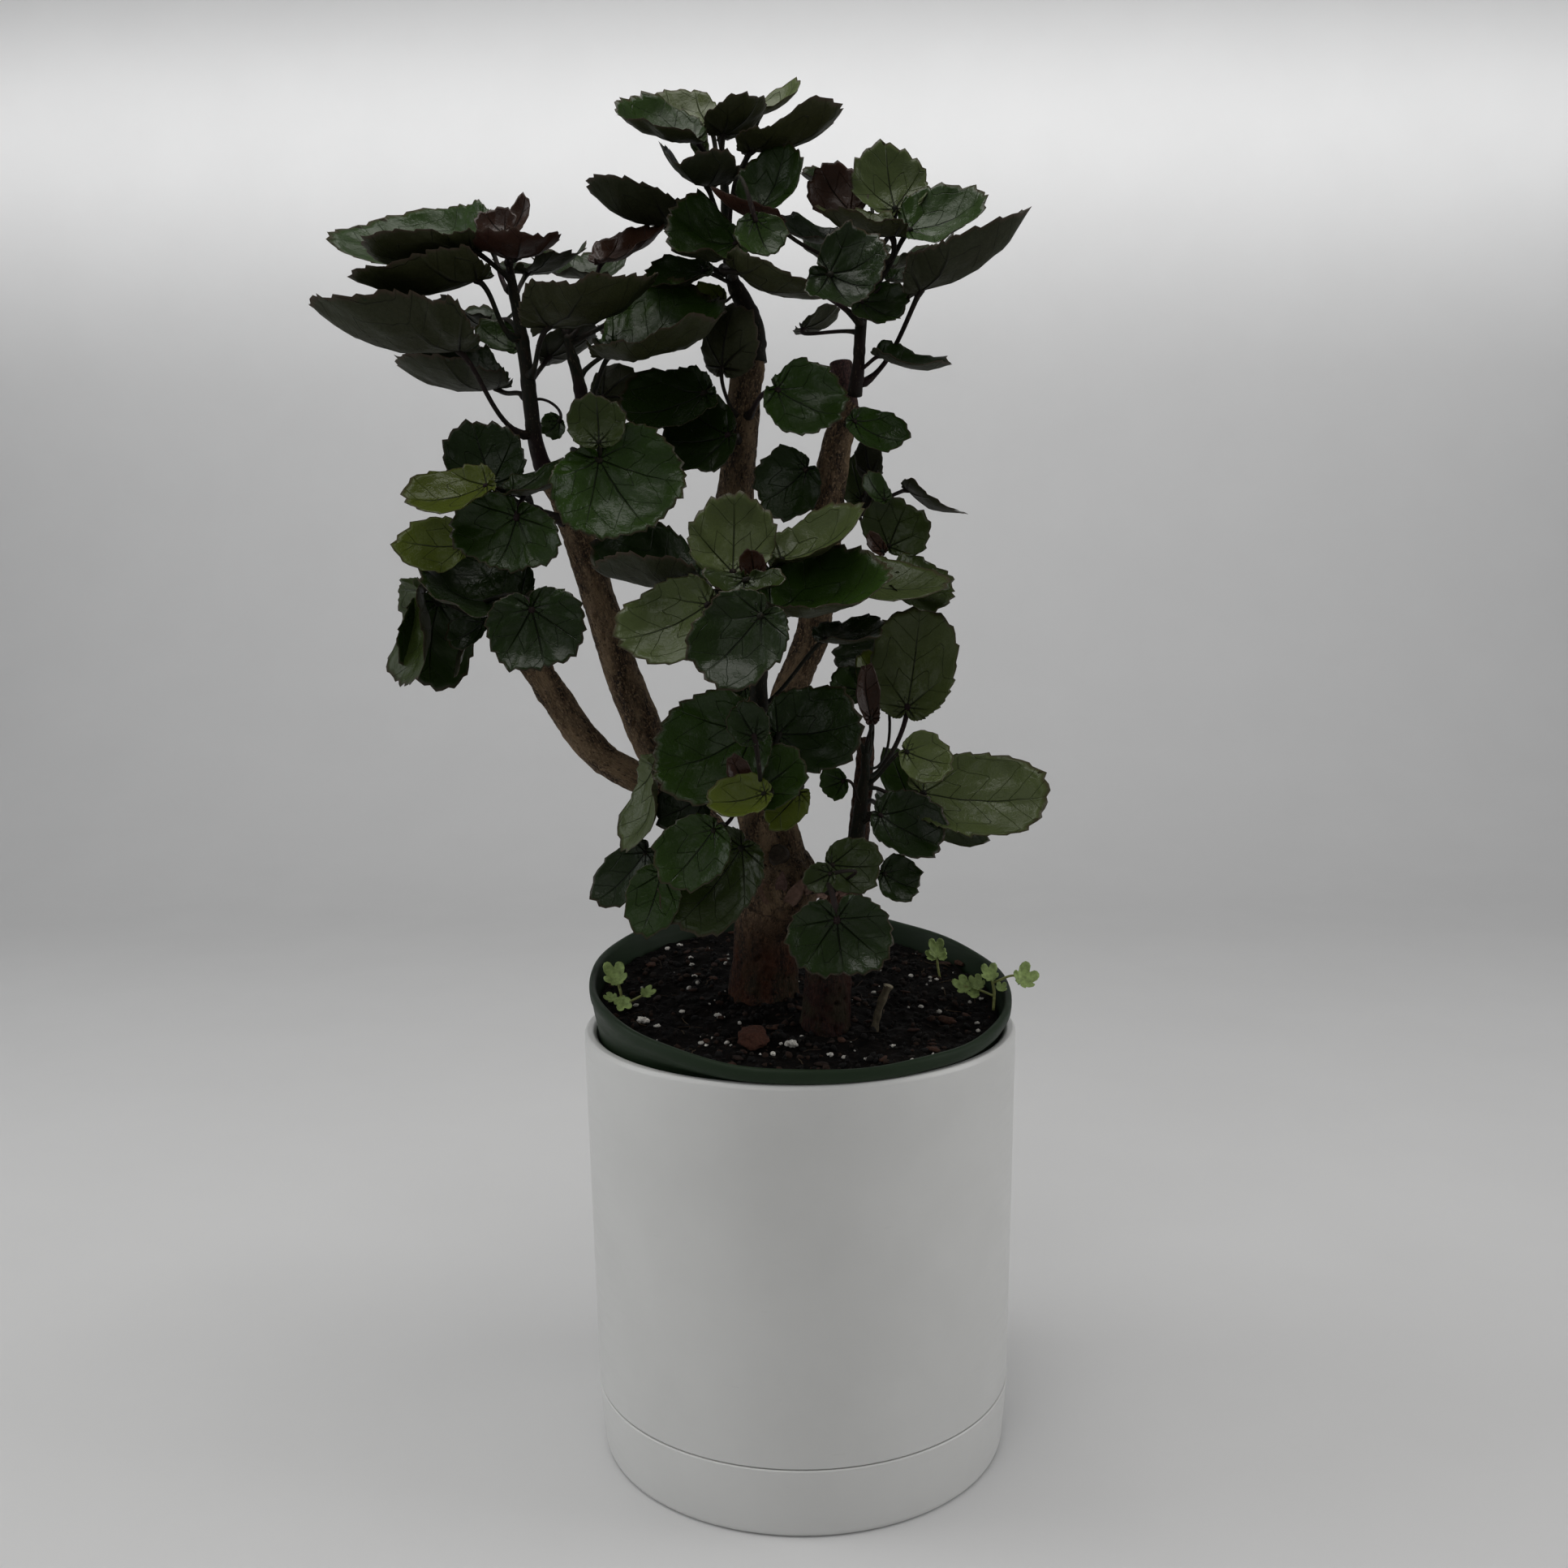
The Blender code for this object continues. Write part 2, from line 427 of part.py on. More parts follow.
# ---------------------------------------------------------------- leaves
# name, stem, base (u, v, depth), tip (u, v, further depth), width mm, facing (x, y, z),
# cup (rise of the sides over half the width), lobe (part of the length behind the base),
# joint (u, v on the stem), kind: d dark, g green, o olive, p pale, y yellow, m maroon,
# own: True where the leaf is a named piece, False where it stays grown on to its shoot.
LEAVES = [
    # front leaves of the main fork
    ("front_5", "front", (948, 752, -60), (1098, 722, -6), 42, (0, -0.42, 0.9), 0.7, 0.10, (936, 770), "g", True),
    ("front_1", "front", (903, 706, -54), (905, 608, 6), 29, (0, -0.95, 0.3), 0.25, 0.10, (930, 720), "p", True),
    ("front_3", "front", (962, 690, -50), (1066, 636, -6), 27, (-0.2, -0.5, 0.85), 0.6, 0.10, (931, 722), "p", True),
    ("front_9", "front", (918, 714, -58), (914, 737, -9), 27, (0, -0.5, 0.85), 0.5, 0.15, (930, 722), "o", False),
    ("front_2", "front", (930, 712, -55), (925, 676, -2), 9, (0, -1, 0.1), 0.4, 0.05, (928, 708), "m", False),
    ("front_6", "front", (938, 758, -62), (862, 836, -6), 31, (0, -0.9, 0.4), 0.2, 0.20, (936, 800), "d", True),
    ("front_7", "front", (862, 722, -46), (722, 690, -8), 44, (0, -0.3, 0.95), 0.75, 0.10, (931, 730), "d", True),
    ("front_8", "front", (873, 745, -64), (765, 793, -4), 31, (0, -0.85, 0.5), 0.3, 0.10, (934, 745), "p", True),
    ("front_4", "front", (1002, 692, -38), (1162, 728, -4), 27, (0, -0.5, 0.87), 0.3, 0.05, (931, 716), "p", False),
    ("front_10", "front", (1108, 712, -22), (1171, 735, 0), 26, (0, -0.7, 0.7), 0.2, 0.20, (933, 735), "o", False),
    ("front_11", "front", (1016, 787, -38), (1090, 776, 0), 24, (0, -0.3, 0.95), 0.3, 0.20, (938, 868), "d", False),
    ("front_12", "front", (918, 846, -38), (903, 868, 0), 7, (0, -0.9, 0.4), 0.2, 0.05, (934, 842), "g", False),
    ("front_13", "front", (852, 790, -44), (822, 803, 0), 6, (0, -0.9, 0.4), 0.2, 0.05, (934, 830), "d", False),
    ("fork_1", "front_fork", (928, 902, -60), (806, 956, -8), 40, (0, -0.85, 0.5), 0.3, 0.12, (912, 953), "g", True),
    ("fork_2", "front_fork", (958, 905, -54), (1060, 893, 0), 32, (0, -0.9, 0.4), 0.2, 0.10, (914, 956), "d", False),
    ("fork_3", "front_fork", (930, 976, -66), (990, 930, 0), 20, (0.2, -0.85, 0.5), 0.3, 0.20, (908, 948), "g", False),
    ("fork_4", "front_fork", (943, 978, -72), (868, 988, -2), 17, (0, -0.7, 0.7), 0.3, 0.10, (906, 944), "y", False),
    ("fork_5", "front_fork", (922, 972, -76), (900, 932, 0), 8, (0.2, -0.95, 0.1), 0.4, 0.05, (905, 942), "m", False),
    ("fork_6", "front_fork", (930, 908, -50), (906, 868, 0), 14, (0, -0.9, 0.3), 0.2, 0.20, (912, 953), "d", False),
    ("fork_7", "front_fork", (985, 976, -56), (945, 1018, 0), 14, (0, -0.9, 0.4), 0.2, 0.20, (916, 958), "y", False),
    # left crown
    ("left_crown_4", "left_crown", (566, 432, -24), (377, 386, -12), 46, (0, -0.1, 1), 0.8, 0.06, (658, 535), "d", True),
    ("left_crown_7", "left_crown", (676, 402, -32), (808, 352, -6), 52, (0, 0.35, 0.93), 0.45, 0.20, (650, 468), "o", True),
    ("left_crown_3", "left_crown", (588, 345, -22), (428, 350, -8), 40, (0, -0.12, 1), 0.75, 0.06, (643, 412), "o", True),
    ("left_crown_1", "left_crown", (588, 290, 6), (413, 295, 8), 42, (0, -0.62, 0.78), 0.25, 0.08, (632, 352), "p", True),
    ("left_crown_2", "left_crown", (582, 308, -8), (446, 312, -6), 36, (0, 0.25, 0.97), 0.3, 0.08, (630, 345), "o", False),
    ("left_crown_9", "left_crown", (612, 478, -10), (482, 452, -12), 48, (-0.1, -0.35, 0.93), 0.8, 0.06, (652, 482), "d", True),
    ("left_crown_5", "left_crown", (636, 318, -18), (642, 290, -20), 35, (0.22, 0.1, 0.97), 0.3, 0.10, (628, 328), "m", False),
    ("left_crown_6", "left_crown", (628, 290, -12), (650, 243, 0), 9, (-0.5, -0.8, 0), 0.4, 0.05, (627, 322), "m", False),
    ("left_crown_10", "left_crown", (622, 290, -6), (596, 262, 2), 15, (0.3, -0.9, 0.3), 0.4, 0.05, (627, 322), "m", False),
    ("left_crown_8", "left_crown", (638, 430, 0), (588, 400, 4), 15, (-0.2, -0.6, 0.8), 0.3, 0.10, (649, 455), "g", False),
    ("left_crown_11", "left_crown", (676, 440, 10), (738, 404, 6), 30, (0, 0.6, 0.8), 0.3, 0.15, (652, 480), "d", False),
    ("left_crown_12", "left_crown", (690, 518, 8), (672, 536, 0), 11, (0, -0.9, 0.3), 0.2, 0.10, (654, 495), "g", False),
    ("left_crown_13", "left_crown", (650, 335, 20), (700, 322, 22), 34, (0, 0.1, 1), 0.4, 0.20, (634, 362), "d", False),
    ("left_crown_14", "left_crown", (600, 400, 24), (540, 392, 20), 36, (0, -0.1, 1), 0.5, 0.20, (644, 420), "d", False),
    # inner left stem
    ("left_inner_1", "left_inner", (752, 437, -30), (900, 398, -8), 56, (0, -0.42, 0.9), 0.65, 0.10, (719, 500), "d", True),
    ("left_inner_2", "left_inner", (742, 322, 4), (818, 277, 8), 26, (-0.2, -0.45, 0.87), 0.3, 0.15, (700, 418), "m", False),
    ("left_inner_3", "left_inner", (742, 490, 12), (783, 456, 6), 21, (0.3, 0.8, 0.4), 0.3, 0.10, (720, 520), "o", False),
    ("left_inner_4", "left_inner", (738, 546, -46), (735, 489, 2), 20, (0, -0.95, 0.4), 0.2, 0.05, (722, 562), "o", False),
    ("left_inner_5", "left_inner", (738, 566, -42), (798, 655, -8), 48, (0.1, -0.92, 0.38), 0.2, 0.22, (722, 572), "g", True),
    ("left_inner_6", "left_inner", (735, 342, 24), (686, 318, 16), 34, (0, -0.4, 0.9), 0.3, 0.15, (701, 425), "d", False),
    ("left_inner_7", "left_inner", (770, 420, 26), (845, 402, 20), 36, (0, -0.2, 1), 0.4, 0.20, (712, 465), "d", False),
    # leaves on the centre cane
    ("centre_cane_1", "cane_centre", (890, 454, -20), (905, 374, 0), 26, (0.15, 0.95, 0.3), 0.35, 0.08, (905, 512), "o", True),
    ("centre_cane_2", "cane_centre", (868, 484, -14), (766, 512, -6), 30, (0, -0.75, 0.65), 0.3, 0.12, (901, 530), "d", False),
    ("centre_cane_3", "cane_centre", (898, 536, -6), (812, 545, 0), 32, (0, -0.85, 0.5), 0.2, 0.12, (905, 545), "d", True),
    ("centre_cane_4", "cane_centre", (957, 480, -22), (1038, 516, -6), 31, (0.1, -0.85, 0.5), 0.2, 0.06, (912, 514), "g", True),
    # centre crown
    ("centre_crown_11", "centre_crown", (908, 300, -14), (824, 312, -8), 44, (0, -0.6, 0.8), 0.5, 0.10, (899, 318), "g", True),
    ("centre_crown_13", "centre_crown", (908, 334, -16), (1008, 364, -10), 38, (0, 0.5, 0.86), 0.35, 0.12, (903, 346), "o", True),
    ("centre_crown_1", "centre_crown", (856, 172, -6), (755, 138, -8), 34, (0, -0.55, 0.83), 0.5, 0.08, (892, 215), "p", True),
    ("centre_crown_5", "centre_crown", (926, 186, -2), (1040, 138, -8), 34, (0, 0.15, 0.98), 0.4, 0.10, (894, 245), "o", True),
    ("centre_crown_8", "centre_crown", (843, 281, -8), (723, 236, -10), 38, (0, 0.1, 1), 0.6, 0.08, (901, 335), "d", True),
    ("centre_crown_7", "centre_crown", (872, 230, -4), (836, 197, -20), 34, (0.1, 0.1, 1), 0.7, 0.15, (897, 292), "d", False),
    ("centre_crown_2", "centre_crown", (872, 152, 16), (800, 122, 8), 28, (0, -0.6, 0.8), 0.3, 0.08, (891, 205), "p", False),
    ("centre_crown_3", "centre_crown", (890, 166, 2), (938, 122, -8), 26, (0, 0.5, 0.85), 0.3, 0.20, (890, 192), "o", False),
    ("centre_crown_4", "centre_crown", (936, 142, 16), (986, 101, 6), 15, (-0.5, -0.5, 0.7), 0.4, 0.05, (892, 222), "p", False),
    ("centre_crown_6", "centre_crown", (864, 190, 0), (858, 152, 0), 7, (0.2, -0.9, 0.2), 0.3, 0.05, (891, 208), "o", False),
    ("centre_crown_9", "right_crown", (957, 274, -16), (873, 232, -4), 18, (0.35, 0.2, 0.9), 0.3, 0.05, (1068, 345), "m", False),
    ("centre_crown_10", "centre_crown", (938, 256, -6), (970, 180, 2), 25, (-0.45, -0.85, 0.2), 0.5, 0.08, (899, 308), "g", False),
    ("centre_crown_12", "centre_crown", (930, 270, -24), (950, 316, -4), 19, (0.2, -0.9, 0.4), 0.2, 0.10, (899, 305), "g", False),
    ("centre_crown_14", "centre_crown", (868, 334, 0), (796, 350, -4), 26, (0, -0.5, 0.85), 0.3, 0.10, (904, 350), "d", False),
    ("centre_crown_15", "centre_crown", (890, 371, 4), (853, 363, 0), 12, (0, -0.95, 0.3), 0.2, 0.10, (912, 364), "y", False),
    ("centre_crown_16", "centre_crown", (915, 300, 30), (960, 290, 20), 36, (0, -0.1, 1), 0.4, 0.20, (898, 315), "d", False),
    ("centre_crown_17", "centre_crown", (880, 300, 32), (855, 296, 22), 34, (0, 0, 1), 0.4, 0.20, (897, 305), "d", False),
    # right crown
    ("right_crown_6", "right_crown", (1134, 358, -12), (1273, 267, -8), 42, (-0.3, 0, 0.95), 0.8, 0.06, (1053, 478), "d", True),
    ("right_crown_5", "right_crown", (1120, 284, 0), (1217, 243, -4), 29, (-0.15, -0.75, 0.65), 0.35, 0.08, (1066, 358), "g", False),
    ("right_crown_1", "right_crown", (1103, 258, 6), (1090, 181, 4), 28, (0.1, -0.95, 0.3), 0.2, 0.06, (1074, 312), "p", False),
    ("right_crown_10", "right_crown", (1022, 338, -26), (1080, 356, -4), 36, (-0.1, -0.85, 0.5), 0.5, 0.35, (1060, 400), "d", True),
    ("right_crown_4", "right_crown", (1100, 290, -14), (1006, 266, -6), 30, (0, -0.3, 0.95), 0.6, 0.15, (1074, 312), "p", False),
    ("right_crown_2", "right_crown", (1048, 262, 0), (1010, 210, 2), 22, (-0.1, -0.9, 0.4), 0.3, 0.08, (1074, 308), "m", False),
    ("right_crown_3", "right_crown", (1060, 232, 22), (985, 212, 6), 22, (0, -0.35, 0.93), 0.3, 0.08, (1073, 315), "d", False),
    ("right_crown_7", "right_crown", (1096, 345, 4), (1132, 335, 2), 12, (0, -0.6, 0.8), 0.4, 0.08, (1064, 372), "g", False),
    ("right_crown_8", "right_crown", (1084, 366, 14), (1120, 367, 4), 13, (0, -0.3, 0.95), 0.3, 0.08, (1064, 378), "g", False),
    ("right_crown_9", "right_crown", (1060, 372, -14), (1113, 390, -4), 25, (0, -0.7, 0.7), 0.25, 0.12, (1061, 402), "d", False),
    ("right_crown_11", "right_crown", (1036, 300, 0), (962, 274, 4), 24, (0, -0.4, 0.9), 0.3, 0.08, (1069, 335), "d", False),
    ("right_crown_12", "right_crown", (1084, 438, -10), (1168, 454, -4), 23, (0.1, -0.3, 0.95), 0.4, 0.06, (1056, 452), "d", False),
    ("right_crown_13", "right_crown", (990, 404, 20), (1030, 396, 8), 24, (0, 0.6, 0.8), 0.3, 0.10, (1060, 412), "o", False),
    ("right_crown_14", "right_crown", (1100, 330, 30), (1150, 310, 20), 34, (0, 0, 1), 0.4, 0.15, (1066, 356), "d", False),
    ("right_crown_15", "right_crown", (1050, 330, 34), (1020, 300, 16), 34, (0, -0.1, 1), 0.4, 0.15, (1067, 350), "d", False),
    # right middle and the right cane
    ("right_cane_1", "cane_right", (1052, 519, -10), (1116, 547, -4), 19, (0.3, -0.8, 0.5), 0.25, 0.06, (1040, 530), "g", False),
    ("right_cane_2", "cane_right", (994, 578, -4), (936, 622, 0), 27, (0, -0.9, 0.4), 0.2, 0.15, (1026, 585), "d", False),
    ("right_middle_1", "right_middle", (1095, 674, -14), (1118, 618, 0), 25, (0.1, -0.95, 0.3), 0.2, 0.12, (1062, 629), "o", False),
    ("right_middle_2", "right_middle", (1073, 586, 2), (1066, 540, 4), 13, (0, 0.9, 0.4), 0.3, 0.05, (1073, 600), "d", False),
    ("right_middle_3", "right_middle", (1062, 616, 12), (1048, 562, 0), 15, (0, -0.9, 0.3), 0.2, 0.05, (1062, 629), "o", False),
    ("right_middle_4", "right_middle", (1090, 616, -10), (1066, 583, 0), 10, (0.3, -0.8, 0.5), 0.3, 0.05, (1072, 612), "g", False),
    ("right_middle_5", "right_middle", (1118, 603, -8), (1183, 637, -4), 20, (0.46, -0.05, 0.88), 0.35, 0.06, (1070, 618), "d", False),
    ("right_middle_6", "right_middle", (1088, 680, -18), (1069, 657, -2), 6, (0.3, -0.9, 0), 0.3, 0.05, (1058, 631), "m", False),
    # right low shoot
    ("right_low_1", "right_low", (1137, 977, -26), (1301, 982, -4), 34, (0, -0.8, 0.6), 0.2, 0.08, (1060, 1005), "g", True),
    ("right_low_2", "right_low", (1118, 872, -22), (1134, 748, 2), 32, (-0.15, -0.92, 0.3), 0.2, 0.10, (1065, 962), "o", True),
    ("right_low_3", "right_low", (1073, 886, -30), (1066, 818, 0), 9, (0.4, -0.9, 0), 0.4, 0.05, (1066, 935), "m", False),
    ("right_low_4", "right_low", (1092, 850, -8), (1058, 803, 0), 13, (0.1, -0.9, 0.4), 0.2, 0.08, (1065, 940), "y", False),
    ("right_low_5", "right_low", (1116, 926, -40), (1173, 944, -2), 19, (-0.1, -0.85, 0.5), 0.3, 0.10, (1064, 965), "p", False),
    ("right_low_6", "right_low", (1122, 988, -10), (1096, 922, 0), 14, (0.1, -0.95, 0.2), 0.2, 0.08, (1062, 975), "g", False),
    ("right_low_7", "right_low", (1084, 1004, -38), (1164, 1042, -2), 25, (0, -0.75, 0.65), 0.35, 0.08, (1058, 1020), "d", False),
    ("right_low_8", "right_low", (1150, 1012, -14), (1217, 1031, 0), 14, (0, -0.7, 0.7), 0.2, 0.08, (1058, 1016), "o", False),
    ("right_low_9", "right_low", (1092, 800, 4), (1028, 812, 6), 22, (0, -0.7, 0.7), 0.2, 0.08, (1065, 945), "d", False),
    ("right_low_10", "right_low", (1064, 852, -16), (1022, 838, 0), 16, (0, -0.8, 0.6), 0.2, 0.08, (1065, 948), "g", False),
    ("right_low_11", "right_low", (1040, 962, -46), (1012, 972, 0), 12, (0, -0.9, 0.3), 0.2, 0.15, (1060, 990), "g", False),
    ("right_low_12", "right_low", (1110, 1000, 12), (1150, 990, 20), 30, (0, -0.2, 1), 0.3, 0.15, (1060, 1000), "d", False),
    # low left shoot
    ("low_left_4", "low_left", (637, 637, -42), (612, 702, -4), 40, (0, -0.85, 0.5), 0.2, 0.30, (652, 632), "g", True),
    ("low_left_1", "low_left", (606, 597, -24), (582, 523, 2), 28, (0.1, -0.92, 0.4), 0.2, 0.05, (652, 632), "d", False),
    ("low_left_2", "low_left", (600, 598, -36), (499, 618, -4), 22, (0, -0.7, 0.7), 0.4, 0.05, (654, 632), "y", False),
    ("low_left_3", "low_left", (572, 672, -32), (489, 668, 0), 21, (0, -0.9, 0.4), 0.2, 0.05, (655, 633), "y", False),
    ("low_left_5", "low_left", (632, 606, -14), (716, 574, -2), 26, (0, -0.4, 0.9), 0.3, 0.15, (668, 634), "d", False),
    ("low_left_6", "low_left", (640, 660, 8), (600, 668, 16), 30, (0, -0.2, 1), 0.3, 0.20, (672, 635), "d", False),
    # far left shoot
    ("far_left_3", "far_left", (640, 742, -36), (522, 716, -4), 42, (0, -0.5, 0.86), 0.5, 0.08, (594, 761), "d", False),
    ("far_left_6", "far_left", (655, 750, -58), (672, 824, -4), 33, (0, -0.9, 0.35), 0.15, 0.30, (586, 758), "d", False),
    ("far_left_1", "far_left", (518, 728, -30), (504, 846, 0), 34, (-0.85, -0.5, 0.15), 0.3, 0.08, (586, 758), "o", False),
    ("far_left_2", "far_left", (540, 742, -20), (528, 847, 0), 28, (0.55, -0.8, 0.1), 0.3, 0.08, (588, 759), "d", False),
    ("far_left_4", "far_left", (596, 766, -26), (553, 792, 0), 13, (0, -0.8, 0.6), 0.3, 0.08, (590, 760), "d", False),
    ("far_left_5", "far_left", (589, 772, -34), (557, 827, 0), 15, (0.85, 0.1, 0.5), 0.3, 0.05, (590, 760), "d", False),
    ("far_left_7", "far_left", (600, 740, 8), (560, 726, 20), 32, (0, -0.2, 1), 0.3, 0.15, (592, 760), "d", False),
    # low left of the trunk
    ("left_low_3", "left_low", (914, 1044, -56), (836, 1142, -4), 30, (0, -0.85, 0.5), 0.25, 0.06, (892, 1034), "o", True),
    ("left_low_2", "left_low", (880, 1022, -66), (822, 1092, -4), 24, (0, -0.9, 0.4), 0.2, 0.08, (880, 1024), "g", False),
    ("left_low_1", "left_low", (806, 944, -44), (774, 1050, 0), 24, (-0.88, -0.4, 0.2), 0.3, 0.05, (876, 1022), "p", False),
    ("left_low_4", "left_low", (815, 1076, -62), (792, 1150, -2), 19, (0, -0.9, 0.4), 0.2, 0.06, (876, 1022), "g", False),
    ("left_low_5", "left_low", (796, 1050, -52), (735, 1113, 0), 17, (-0.3, -0.85, 0.4), 0.3, 0.05, (876, 1022), "d", False),
    ("left_low_6", "left_low", (868, 980, -42), (812, 1010, 0), 20, (0, -0.9, 0.4), 0.2, 0.08, (880, 1024), "d", False),
    # front low
    ("front_low_3", "front_low", (1031, 1133, -62), (1040, 1204, -4), 35, (0, -0.85, 0.5), 0.12, 0.42, (1028, 1094), "g", True),
    ("front_low_1", "front_low", (1024, 1066, -54), (1086, 1068, 0), 20, (0, -0.92, 0.4), 0.2, 0.08, (1022, 1094), "o", False),
    ("front_low_2", "front_low", (1088, 1076, -42), (1130, 1096, 0), 18, (0, -0.8, 0.6), 0.25, 0.08, (1022, 1094), "d", False),
    ("front_low_4", "front_low", (1024, 1076, -64), (992, 1092, 0), 10, (0, -0.9, 0.4), 0.3, 0.08, (1026, 1094), "o", False),
]


def stem_point(stem, u, v):
    """The place on a stem nearest to u, v: its point, its direction and its radius."""
    rows = STEM_LINES[stem]
    k = min(range(len(rows)), key=lambda i: (rows[i][0] - u) ** 2 + (rows[i][1] - v) ** 2)
    point = at(*rows[k][:3])
    ahead = at(*rows[min(k + 1, len(rows) - 1)][:3]) - at(*rows[max(k - 1, 0)][:3])
    return point, ahead.normalized(), rows[k][3]


def leaf_frame(row, push, bend=(0.0, 0.0, 0.0)):
    """Everything that sets a leaf: its base, axes, length, width, cup, lobe and petiole."""
    name, stem, (bu, bv, bd), (tu, tv, td), width, facing, cup, lobe, (ju, jv), kind, own = row
    base = at(bu, bv, bd + push)
    tip = at(tu, tv, bd + td + push)
    scale = (bd + push - EYE.y) / (bd - EYE.y)
    along = (tip - base)
    length = along.length
    along.normalize()
    normal = Vector(facing)
    normal = (normal - along * normal.dot(along)).normalized()
    across = normal.cross(along)
    joint, ahead, radius = stem_point(stem, ju, jv)
    out = base - joint
    out = out - ahead * out.dot(ahead)
    if out.length < 1e-6:
        out = ahead.orthogonal()
    out.normalize()
    root = joint + out * (radius + 1.3 if own or stem.startswith("cane") else radius * 0.25)
    reach = (base - root).length
    p1 = root + out * reach * 0.30 + ahead * reach * 0.16 + Vector(bend) * 0.8
    p2 = base - along * reach * 0.26 - normal * reach * 0.16 + Vector(bend)
    return base, along, across, normal, length, width * scale, cup, lobe, root, p1, p2


def blade_point(frame, s, e, side):
    """A point of the blade: s along it, e across it (-1 to 1), side mm off its mid-surface."""
    base, along, across, normal, length, width, cup, lobe, *_ = frame
    full = math.sin(math.pi * min(max((s + 0.16) / 1.16, 0.0), 1.0)) ** 0.62 if s < 0.999 else 0.0
    x = length * (s - lobe * (1.0 - s) ** 2 * abs(e) ** 1.2 * 1.1)
    y = 0.5 * width * full * e
    z = cup * 0.5 * width * (abs(e) * full) ** 1.7 * 0.8 - 0.10 * length * 4 * s * (1 - s)
    return base + along * x + across * y + normal * (z + side)


def leaf_mesh(frame, thick, stalk):
    """Petiole and blade as one closed loft of six-sided sections."""
    base, along, across, normal, length, width, cup, lobe, root, p1, p2 = frame
    rings = []
    for t in (0.0, 0.5, 0.97):
        point = root * (1 - t) ** 3 + p1 * 3 * t * (1 - t) ** 2 + p2 * 3 * t * t * (1 - t) + base * t ** 3
        tangent = ((p1 - root) * 3 * (1 - t) ** 2 + (p2 - p1) * 6 * t * (1 - t) + (base - p2) * 3 * t * t).normalized()
        side = across - tangent * across.dot(tangent)
        if side.length < 0.35:
            side = side + (normal - tangent * normal.dot(tangent)) * 0.6
        side.normalize()
        over = tangent.cross(side)
        size = stalk * (1.15 if t == 0.0 else 1.0)
        rings.append([point + (side * math.cos(k * math.pi / 3) + over * math.sin(k * math.pi / 3)) * size for k in range(6)])
    half = thick / 2
    for s in (0.07, 0.45, 0.84):
        ring = [blade_point(frame, s, -1.0, 0.0)]
        ring += [blade_point(frame, s, e, half) for e in (-0.45, 0.45)]
        ring.append(blade_point(frame, s, 1.0, 0.0))
        ring += [blade_point(frame, s, e, -half) for e in (0.45, -0.45)]
        rings.append(ring)
    tip = base + along * length
    rings.append([tip - across * 0.9, tip - across * 0.4 + normal * 0.3, tip + across * 0.4 + normal * 0.3,
                  tip + across * 0.9, tip + across * 0.4 - normal * 0.3, tip - across * 0.4 - normal * 0.3])
    return rings


def match_rings(rings, first_blade):
    """Turns the petiole's sections so that they meet the blade's without a twist."""
    for k in range(first_blade - 1, -1, -1):
        following = rings[k + 1]
        count = len(following)
        best, best_sum = None, None
        for flip in (False, True):
            ring = list(reversed(rings[k])) if flip else list(rings[k])
            for turn in range(count):
                turned_ring = ring[turn:] + ring[:turn]
                centre_a = sum(turned_ring, Vector()) / count
                centre_b = sum(following, Vector()) / count
                total = sum(((a - centre_a).normalized() - (b - centre_b).normalized()).length for a, b in zip(turned_ring, following))
                if best_sum is None or total < best_sum - 1e-9:
                    best, best_sum = turned_ring, total
        rings[k] = best
    return rings


def leaf_solid(frame, thick, stalk):
    verts, faces = ring_loft(match_rings(leaf_mesh(frame, thick, stalk), 3))
    volume = 0.0
    for face in faces:
        for i in range(1, len(face) - 1):
            volume += Vector(verts[face[0]]).dot(Vector(verts[face[i]]).cross(Vector(verts[face[i + 1]])))
    if volume < 0:
        faces = [tuple(reversed(face)) for face in faces]
    return verts, faces


def tree_of(verts, faces):
    return BVHTree.FromPolygons([tuple(p) for p in verts], faces)


def box_of(verts):
    return [min(p[i] for p in verts) for i in range(3)], [max(p[i] for p in verts) for i in range(3)]


def boxes_meet(a, b, gap=0.4):
    return all(a[0][i] - gap < b[1][i] and b[0][i] - gap < a[1][i] for i in range(3))


placed = []
for name, rows in list(WOOD_LEFT.items()) + list(WOOD_RIGHT.items()):
    path = rows
    tube_verts, tube_faces = tube([at(*p[:3]) for p in path], [p[3] * 1.06 + 0.2 for p in path], 10)
    placed.append((name, name, tree_of(tube_verts, tube_faces), box_of(tube_verts)))
for name, rows in SHOOTS.items():
    path = rows
    tube_verts, tube_faces = tube([at(*p[:3]) for p in path], [p[3] + 0.5 for p in path], 7)
    placed.append((name, name, tree_of(tube_verts, tube_faces), box_of(tube_verts)))
rim_verts, rim_faces = ring_loft([rim_ring(POT_RIM_R + 0.6, 6.0), rim_ring(POT_RIM_R + 0.6, -0.6), rim_ring(POT_RIM_R - 3.0, -0.6), rim_ring(POT_RIM_R - 4.0, 6.0)])
placed.append(("rim", "rim", tree_of(rim_verts, rim_faces), box_of(rim_verts)))
ground = [[(x, y, soil_z(x, y) + 0.6) for x in range(-80, 81, 8)] for y in range(-80, 81, 8)]
ground_verts = [p for line in ground for p in line]
ground_faces = [(r * 21 + c, r * 21 + c + 1, (r + 1) * 21 + c + 1, (r + 1) * 21 + c) for r in range(20) for c in range(20)]
placed.append(("ground", "ground", tree_of(ground_verts, ground_faces), box_of(ground_verts)))


